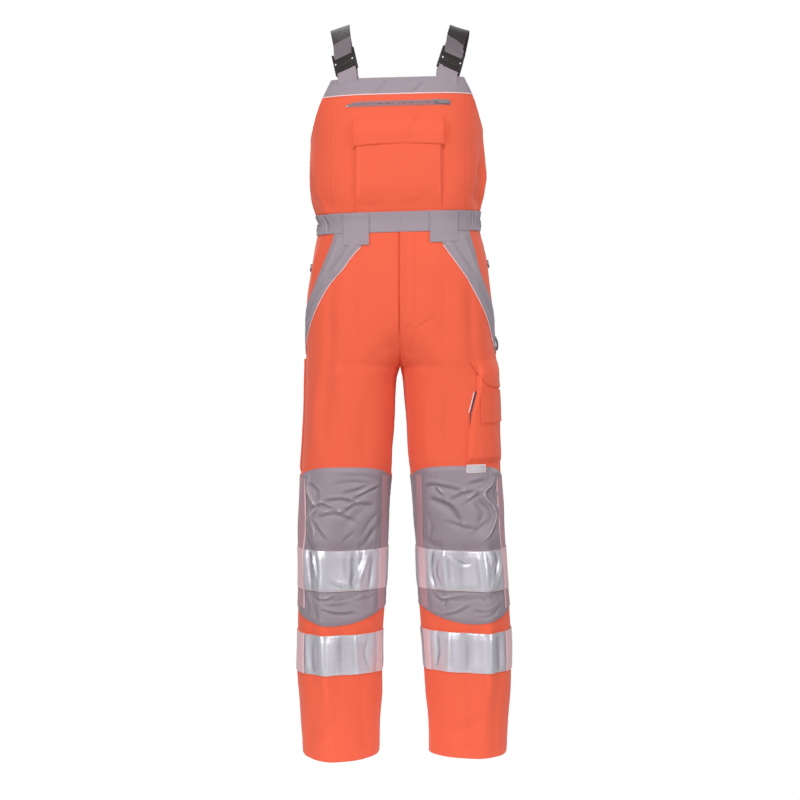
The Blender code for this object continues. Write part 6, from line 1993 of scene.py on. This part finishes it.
def outer_strips():
    """The strips in front of the side seams, each with a narrow pale welt along the seam."""
    zones = (
        ("knee", -1157, -897, "seam_cloth", 2.6),
        ("upper", *TAPE_UPPER, "pale_cloth", 3.8),
        ("lower", *TAPE_LOWER, "pale_cloth", 2.6),
    )
    for side in (RIGHT, LEFT):
        for zone, low, high, finish, lift in zones:
            raised = TAPE_RAISE[zone][side] if zone in TAPE_RAISE else 0
            for part, start, end in (("outer", -1.5, 0.19), ("outer_welt", *WELT)):
                ends = sorted(side * (COLUMNS + place) for place in (start, end))
                cut = flat_cut(low + raised, high + raised, *ends)
                if part == "outer":
                    strip(f"{zone}_{part}", finish, cut, side, lift)
                else:
                    strip(f"{zone}_{part}", "pale_cloth", cut, side, lift + WELT_RISE)


inner_strips()
outer_strips()
print("seam strips:", len(SEAM_STRIPS), "inner and 12 outer")

# %% [markdown]
# ## Zip, slider and buttons
#
# The zip is a flat tape with a closed coil down the middle. The coil is a row of small beads. The slider and
# its hinged pull are the plain solids themselves, with their edges rounded by a bevel modifier, so that the
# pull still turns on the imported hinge.

# %% Zip
ZIP = Box(-104, 98, -161.4, -171.6)
ZIP_MIDDLE = (ZIP.top + ZIP.bottom) / 2
COIL_PITCH = 1.7
ZIP_RISE = [
    (0, 3.4), (6, 6), (14, 8.4), (24, 9.8), (40, 10.2), (90, 10.2),
    (140, 10.2), (190, 10.2), (198, 9.4), (202, 7.6),
]  # fmt: skip


def zip_groove(made):
    """The tape rises along the coil, with a fine groove in its middle."""
    away = made.z - ZIP_MIDDLE
    return 0.5 * np.exp(-((away / 2.4) ** 2)) - 0.5 * np.exp(-((away / 0.5) ** 2))


def beads(name, finish, centres, right, up, out, size):
    """A row of small eight-sided beads. size is half their extent along right, up and out."""
    ring = ((1, 0), (0.6, 0.75), (0, 1), (-0.6, 0.75), (-1, 0), (-0.6, -0.75), (0, -1), (0.6, -0.75))
    ways = np.array([*[(*way, 0) for way in ring], (0, 0, 1)]) * size
    corners = [centres + right * a + up * b + out * c for a, b, c in ways]
    faces = np.array([(i, (i + 1) % 8, 8) for i in range(8)])
    points = np.stack(corners, axis=1)
    faces = faces[None] + 9 * np.arange(len(centres))[:, None, None]
    return new_mesh(name, points.reshape(-1, 3), faces.reshape(-1, 3), finish, 60)


def zip_fastener():
    """The tape, the coil's two rows of beads and the stop at its end."""
    low = front_cut(ZIP)[2]
    left = by_x([(ZIP.right, ZIP.bottom), (ZIP.right, ZIP.bottom + 3.4)])
    high = by_x([(ZIP.right + along, ZIP.bottom + up) for along, up in ZIP_RISE])
    right = by_x([(ZIP.left, ZIP.bottom), (ZIP.left, ZIP.bottom + 7.6)])
    kinds = ("plain", "plain", "tape", "tape")
    made = panel("zip_tape", "zip_tape", (left, right, low, high), kinds, None, 1.6, 1.25, zip_groove, 0.8)
    sew(made, ("bottom", "top"), trim=3)
    sheet(made)
    start = column_across(RIGHT, -ZIP.right - 12, ZIP_MIDDLE)
    end = column_across(LEFT, ZIP.left - 4, ZIP_MIDDLE)
    count = int((ZIP.left - ZIP.right - 16) / COIL_PITCH)
    for way, offset in (("upper", 0.7), ("lower", -0.7)):
        z = np.full(count, ZIP_MIDDLE + offset)
        points, out = cloth_at(np.linspace(start, end, count), z)[:2]
        right = unit(np.gradient(points, axis=0))
        up = np.cross(out, right)
        coil = beads(f"zip_coil_{way}", "coil", points + out * 1.35, right, up, out, (0.62, 1.15, 0.55))
        ride(coil, "zip_tape")
    print("zip coil: two rows of", count, "beads")
    points, out = cloth_at(column_across(RIGHT, -ZIP.right - 2.5, ZIP.bottom + 2), ZIP.bottom + 2)[:2]
    points, out = points.reshape(1, 3), out.reshape(1, 3)
    right = np.array([[1.0, 0, 0]])
    stop = beads("zip_stop", "rivet", points + out * 1.3, right, np.cross(out, right), out, (1.5, 1.2, 0.8))
    ride(stop, "zip_tape")


zip_fastener()

# %% Places on the cloth
Place = namedtuple("Place", "origin right up out")  # a point and three directions at right angles


def place_on(column, z, side, height=0):
    """A place on the body, with its directions to the viewer's right, up and out."""
    where = np.array([column, column - 0.3, column + 0.3])
    points, out = cloth_at(where, np.full(3, float(z)), side)[:2]
    out = out[0]
    right = points[2] - points[1]
    right = unit(right - np.dot(right, out) * out)
    return Place(points[0] + out * height, right, np.cross(out, right), out)


def world_points(place, points):
    """Points given along a place's own directions, on the body."""
    points = np.asarray(points, float)
    right, up, out = points[:, :1], points[:, 1:2], points[:, 2:3]
    return place.origin + right * place.right + up * place.up + out * place.out


def turned(name, finish, place, profile, around=40):
    """A piece turned on a lathe, from a list of radius and height."""
    angles = np.linspace(0, 2 * math.pi, around, endpoint=False)
    circle = np.column_stack([np.cos(angles), np.sin(angles)])
    rings = [np.column_stack([circle * radius, np.full(around, height)]) for radius, height in profile]
    faces = ring_faces(len(profile), around)
    return new_mesh(name, world_points(place, np.vstack(rings)), faces, finish, 35)


def carried(name, finish, bevel):
    """Keeps a plain solid, with a finish and rounded edges."""
    node = frame["nodes"][name]
    node.data.materials.clear()
    node.data.materials.append(FINISHED[finish])
    round_off = node.modifiers.new("rounded edges", "BEVEL")
    round_off.width, round_off.segments, round_off.limit_method = bevel * MM, 3, "ANGLE"


# %% Buttons, slider and pull
BUTTONS = (("upper", -399, BAND_OUT + 0.4, 1.6), ("lower", -478, 0.3, 0.5))  # name, height, base, shank
BUTTON_FACE = [  # radius and height
    (2.6, 0), (8.2, 0), (8.6, 0.3), (8.7, 0.9), (8.5, 1.5), (8.0, 2.2), (7.4, 2.6), (6.8, 2.5),
    (6.2, 2.0), (5.4, 1.8), (4.0, 1.9), (2.6, 2.15), (1.3, 2.3), (0.3, 2.35),
]  # fmt: skip

for side in (RIGHT, LEFT):
    for name, z, base, shank in BUTTONS:
        place = place_on(side * COLUMNS, z, side, base)
        face = [(radius, shank + height) for radius, height in BUTTON_FACE]
        profile = [(2.6, -0.4), (2.6, shank - 0.01), *face]
        node = f"button_{name}_{SIDE_NAME[side]}"
        ride(turned(f"metal_{node}", "metal", place, profile), "metal", node)
carried("zip_slider", "metal", 0.35)
carried("zip_pull", "metal", 0.2)
print("buttons:", 2 * len(BUTTONS), "and the zip's slider and pull kept as packed")

# %% [markdown]
# ## Braces and buckles
#
# Each brace is three pieces: a tab of grey cloth from the yoke round the buckle's lower bar, webbing round
# its upper bar, and elastic over the shoulder down to the back yoke. They pass through stations measured on
# the body form, with a direction across at each, so a brace can twist as it turns over the shoulder.

# %% Where the braces run
WEB_WIDTH, WEB, ELASTIC = 40, 1.4, 1.6
Station = namedtuple("Station", "x y z across_x across_y across_z")
BRACES = {
    RIGHT: [
        Station(-113.6, -57, -38.5, 33, -17, 11),
        Station(-115.6, -40, -25, 34, -15, 11.3),
        Station(-117.6, -20, -12.8, 35, -9, 11.6),
        Station(-119.0, 0, -7.4, 35.7, 0, 11.8),
        Station(-118.6, 20, -12.5, 35.5, 8, 11.6),
        Station(-116.5, 40, -26.5, 35, 14, 11),
        Station(-113.0, 57, -46, 36, 14, 9),
        Station(-108.5, 71, -70, 38, 12, 6),
        Station(-103.5, 82, -98, 39, 9, 3),
    ],
    LEFT: [
        Station(108.4, -57, -37.5, -32.5, -18, 12.6),
        Station(112.5, -40, -24.6, -32.6, -17, 12),
        Station(116, -20, -13, -33, -10, 11),
        Station(118.3, 0, -7.6, -34, 0, 10.4),
        Station(119.2, 20, -12.6, -35, 8, 10.5),
        Station(117.5, 40, -26.5, -35, 14, 10.5),
        Station(113.5, 57, -46, -36, 14, 9),
        Station(107, 71, -70, -38, 12, 6),
        Station(99, 82, -98, -39, 9, 3),
    ],
}
Buckle = namedtuple("Buckle", "middle up across")
BUCKLES = {
    RIGHT: Buckle((-106.4, -87.5, -84.4), (-9.75, 22, 42.5), (40.6, -16, 14.8)),
    LEFT: Buckle((98.4, -87.5, -82), (13.3, 22, 42.3), (-40.8, -9, 15.2)),
}
BAR_UP, BAR_DOWN, BAR_OUT, TURN = 13.4, -21.3, -0.5, 3.2
TAB_Z, BACK_Z, TAB_X = (-113, -130, -146), (-126, -145, -163), {RIGHT: 101, LEFT: 90.5}
ELASTIC_X = 97  # of the elastic's middle on the back yoke
TAB_ON_YOKE = ((-112, 2.6), (-120, 1.2), (-131, -1.4))  # height, and how far off the yoke's outer face


def buckle_place(side):
    """Where a buckle sits, facing out from the brace."""
    buckle = BUCKLES[side]
    up = unit(buckle.up)
    across = np.array(buckle.across, float)
    right = unit(across - np.dot(across, up) * up) * -side
    return Place(np.array(buckle.middle, float), right, up, unit(np.cross(right, up)))


def at(place, up, out):
    """A point in the middle of a buckle's width."""
    return place.origin + place.up * up + place.out * out


def turn_round(place, bar, start, end, count=14):
    """Points round one of the buckle's bars, from one angle to another, where 0 is up the brace."""
    angles = np.radians(np.linspace(start, end, count))
    return [at(place, bar + TURN * math.cos(angle), BAR_OUT + TURN * math.sin(angle)) for angle in angles]


INSIDE_YOKE = -2.4 - ELASTIC / 2


def by_yoke(side, x, heights, half, height=INSIDE_YOKE):
    """Points at a height over the yoke's outer face, with the direction across the strap there."""
    points, across = [], []
    for z in heights:
        offsets = (-WEB_WIDTH / 2, 0, WEB_WIDTH / 2)
        columns = [column_across(side, abs(x) + offset, z, half) for offset in offsets]
        way = None if half == "back" else side
        places, out = cloth_at(np.array(columns), np.full(3, float(z)), way)[:2]
        points.append((places[0] + places[2]) / 2 + out[1] * height)
        across.append(unit(places[0] - places[2]))
    return points, across


# %% Straps
def strap(name, finish, centres, across, width, thick, soft=True, wave=0.0):
    """A strap through centres, thinner at its rounded edges, with an uneven lie; and its length."""
    centres, across = np.array(centres, float), np.array(across, float)
    knots = lengths_along(centres)
    line = through(centres, 1.6, soft)
    at_line = lengths_along(line)
    at_line *= knots[-1] / at_line[-1]
    wide = read_at(at_line, knots, across)
    ahead = unit(np.gradient(line, axis=0))
    side = unit(wide - np.sum(wide * ahead, axis=1, keepdims=True) * ahead)
    out = np.cross(ahead, side)
    share = np.concatenate([[-0.5, -0.493, -0.478], np.linspace(-0.455, 0.455, 25), [0.478, 0.493, 0.5]])
    edge = (0.5 - np.abs(share)) * width
    half = thick / 2 * np.sqrt(np.clip(1 - (1 - np.minimum(edge / 0.9, 1)) ** 2, 0.05, 1))
    lift = wave * np.sin(at_line / 17)[:, None] * np.cos(share * 5)[None]
    middle = line[:, None] + side[:, None] * (share * width)[None, :, None] + out[:, None] * lift[..., None]
    off = out[:, None] * half[None, :, None]
    points = np.vstack([(middle + off).reshape(-1, 3), (middle - off).reshape(-1, 3)])
    grid = middle.shape[:2]
    made = new_mesh(name, points, shell_faces(*grid)[:, ::-1], finish, 50)
    over, along, rims = (np.broadcast_to(values, grid) for values in (share * width, at_line[:, None], edge))
    store_cloth(made, *(np.concatenate([values.reshape(-1)] * 2) for values in (over, along, rims)))
    return made, knots[-1]


def strap_sheet(made, slot, long, node):
    """Attaches a strap in place of its plain solid, and prints its length."""
    ride(made, slot, node)
    print(f"{made.name}: {long:.0f} mm long")


def braces():
    """The three pieces of each brace, from the yoke over the shoulder to the back."""
    for side in (RIGHT, LEFT):
        name = SIDE_NAME[side]
        place = buckle_place(side)
        inner_way = -side * place.right
        stations = np.array(BRACES[side], float)

        points, across = by_yoke(side, TAB_X[side], TAB_Z, "front")
        tab = [*points[::-1], at(place, -30, BAR_OUT - TURN), *turn_round(place, BAR_DOWN, -90, 90)]
        tab += [by_yoke(side, TAB_X[side], [z], "front", over)[0][0] for z, over in TAB_ON_YOKE]
        across = [*across[::-1], *[inner_way] * (len(tab) - len(across))]
        made, long = strap(f"cloth_tab_{name}", "grey_cloth", tab, across, WEB_WIDTH + 0.6, WEB, False, 0.5)
        strap_sheet(made, "grey_cloth", long, f"strap_tab_{name}")

        web = [at(place, 36, BAR_OUT - TURN), *turn_round(place, BAR_UP, 270, 90)]
        web += [at(place, 20, BAR_OUT + TURN), stations[0, :3]]
        across = [*[inner_way] * (len(web) - 1), stations[0, 3:]]
        made, long = strap(f"cloth_web_{name}", "webbing", web, across, WEB_WIDTH, WEB, False)
        strap_sheet(made, "webbing", long, f"strap_{name}")

        ahead = unit(stations[1, :3] - web[-2])
        points, across = by_yoke(side, ELASTIC_X, BACK_Z, "back")
        elastic = [stations[0, :3] + ahead * 0.3, *stations[1:, :3], *points]
        across = [*stations[:, 3:], *across]
        made, long = strap(f"cloth_elastic_{name}", "elastic", elastic, across, WEB_WIDTH, ELASTIC, wave=0.3)
        strap_sheet(made, "elastic", long, f"elastic_{name}")


braces()

# %% [markdown]
# ### Buckles
#
# A side-release buckle in black plastic. Two rails carry an upper and a lower bar, and the cover plate has a
# grained panel, a lip along its lower edge and a small rivet at each end.

# %% Make the buckles
def rounded_box(place, spans, radius):
    """Points and faces of a box with rounded edges, from its spans along right, up and out."""
    mesh = bmesh.new()
    bmesh.ops.create_cube(mesh, size=1)
    for vert in mesh.verts:
        vert.co = [(low + high) / 2 + share * (high - low) for share, (low, high) in zip(vert.co, spans)]
    bmesh.ops.bevel(
        mesh, geom=mesh.edges[:], offset=radius, segments=3, profile=0.5, affect="EDGES", clamp_overlap=True
    )
    points = world_points(place, [vert.co[:] for vert in mesh.verts])
    mesh.verts.index_update()
    faces = [np.array([vert.index for vert in face.verts]) for face in mesh.faces]
    mesh.free()
    return points, faces


def joined(name, finish, pieces):
    """One object from several closed shapes."""
    points, faces, start = [], [], 0
    for piece_points, piece_faces in pieces:
        points.append(piece_points)
        faces += [face + start for face in piece_faces]
        start += len(piece_points)
    return new_mesh(name, np.vstack(points), faces, finish, 50)


RIVET = [(1.9, -0.6), (1.9, 0.2), (1.5, 0.6), (0.8, 0.8), (0.2, 0.85)]  # radius and height


def buckles():
    """A frame, a cover plate and two rivets on each brace."""
    for side in (RIGHT, LEFT):
        name, place = SIDE_NAME[side], buckle_place(side)
        shapes = []
        for way in (-1, 1):
            rail = sorted((way * 20.3, way * 23.9))
            shapes.append(rounded_box(place, [rail, (-24.5, 24.0), (-1.8, 4.6)], 0.9))
            cheek = sorted((way * 19.6, way * 23.1))
            shapes.append(rounded_box(place, [cheek, (-17.5, 15.8), (3.4, 6.3)], 0.8))
        for bar in (BAR_UP, BAR_DOWN):
            shapes.append(rounded_box(place, [(-21, 21), (bar - 1.5, bar + 1.5), (-1.8, 0.8)], 0.9))
        frame_made = joined(f"hard_buckle_{name}", "black_plastic", shapes)
        ride(frame_made, "black_plastic", f"buckle_frame_{name}")
        plate = [
            rounded_box(place, [(-20.3, 20.3), (-13.2, 10.6), (3.8, 5.4)], 0.6),
            rounded_box(place, [(-18.4, 18.4), (-9.4, 8.6), (5.0, 5.8)], 0.35),
            rounded_box(place, [(-21.4, 21.4), (-18.6, -12.6), (2.6, 6.7)], 1.2),
            rounded_box(place, [(-19.8, 19.8), (-12.0, -10.8), (5.0, 6.15)], 0.4),
        ]
        plate_made = joined(f"hard_plate_{name}", "plate_plastic", plate)
        ride(plate_made, "black_plastic", f"buckle_plate_{name}")
        print(f"buckle {name}:", len(shapes) + len(plate), "rounded boxes")
        for way in (-1, 1):
            middle = world_points(place, [(way * 18.6, 1.5 * way * side - 1.5, 6.0)])[0]
            head = place._replace(origin=middle)
            end = "right" if way < 0 else "left"
            rivet = turned(f"hard_rivet_{name}_{end}", "rivet", head, RIVET, 20)
            ride(rivet, "metal")


buckles()

# %% Make the stitches
make_stitches()

# %% [markdown]
# ## Studio
#
# The garment stands on a plain pale floor in a white room, under large soft lights from the front, weak ones
# at the sides and two behind. The camera is 4 m away, almost level with the garment's middle, with a long
# lens, which is the photograph's own angle.

# %% Floor, light and camera
FLOOR_Z, FLOOR_RADIUS = -1.62, 0.62
CAMERA_BACK, CAMERA_Z, CAMERA_DOWN, LENS = 4.0, -0.546, 0.05, 90


def stage():
    """The floor, which is not part of the garment."""
    middle = (0, 0, FLOOR_Z)
    bpy.ops.mesh.primitive_circle_add(vertices=128, radius=FLOOR_RADIUS, fill_type="NGON", location=middle)
    floor = bpy.context.object
    floor.name = "floor"
    look = Finish("floor_white", (0.3, 0.3, 0.3), 0.9)
    grain = look.noise(look.place(), 3.0, 2)
    look.paint(look.shaded(look.ranged(grain, 0.3, 0.7, 0, 1), -0.01))
    look.set("Emission Color", (1, 1, 1, 1))
    look.set("Emission Strength", 0.8)
    floor.data.materials.append(look.material)


def softbox(name, place, aim, size, power):
    """A round area light of this size in metres and power in watts."""
    light = bpy.data.lights.new(name, "AREA")
    light.shape, light.size, light.energy = "DISK", size, power
    lamp = bpy.data.objects.new(name, light)
    lamp.location = place
    lamp.rotation_euler = (Vector(aim) - Vector(place)).to_track_quat("-Z", "Y").to_euler()
    bpy.context.scene.collection.objects.link(lamp)


def world():
    """A room that looks white and gives only a little light of its own."""
    scene = bpy.context.scene
    scene.world = bpy.data.worlds.new("white room")
    scene.world.use_nodes = True
    tree = scene.world.node_tree
    seen, lit = tree.nodes["Background"], tree.nodes.new("ShaderNodeBackground")
    ray, mix = tree.nodes.new("ShaderNodeLightPath"), tree.nodes.new("ShaderNodeMixShader")
    seen.inputs["Color"].default_value = lit.inputs["Color"].default_value = (1, 1, 1, 1)
    lit.inputs["Strength"].default_value = 0.18
    tree.links.new(ray.outputs["Is Camera Ray"], mix.inputs["Fac"])
    tree.links.new(lit.outputs[0], mix.inputs[1])
    tree.links.new(seen.outputs[0], mix.inputs[2])
    tree.links.new(mix.outputs[0], tree.nodes["World Output"].inputs["Surface"])
    scene.view_settings.view_transform = "Standard"


def camera():
    """A long lens in front, a little above the middle and tilted down."""
    data = bpy.data.cameras.new("camera")
    data.lens, data.sensor_width = LENS, 36
    made = bpy.data.objects.new("camera", data)
    made.location = (0, -CAMERA_BACK, CAMERA_Z)
    made.rotation_euler = (math.pi / 2 - math.atan(CAMERA_DOWN), 0, 0)
    bpy.context.scene.collection.objects.link(made)
    bpy.context.scene.camera = made


stage()
world()
softbox("key", (-0.5, -4.4, 2.9), (0, 0, -0.7), 1.5, 180)
softbox("front_left", (-2.7, -3.2, -0.4), (0, 0, -0.7), 1.0, 66)
softbox("front_right", (2.9, -3.0, -0.4), (0, 0, -0.7), 1.0, 52)
softbox("left", (-2.6, -0.9, 0.1), (0, 0, -0.8), 0.8, 9)
softbox("right", (2.6, -0.9, 0.1), (0, 0, -0.8), 0.8, 11)
softbox("back", (-1.0, 3.4, 3.0), (0, 0, -0.8), 1.4, 210)
softbox("back_fill", (2.2, 2.6, 0.0), (0, 0, -0.8), 1.4, 20)
camera()
print("lights:", len(bpy.data.lights), "and the camera", CAMERA_BACK, "m away")
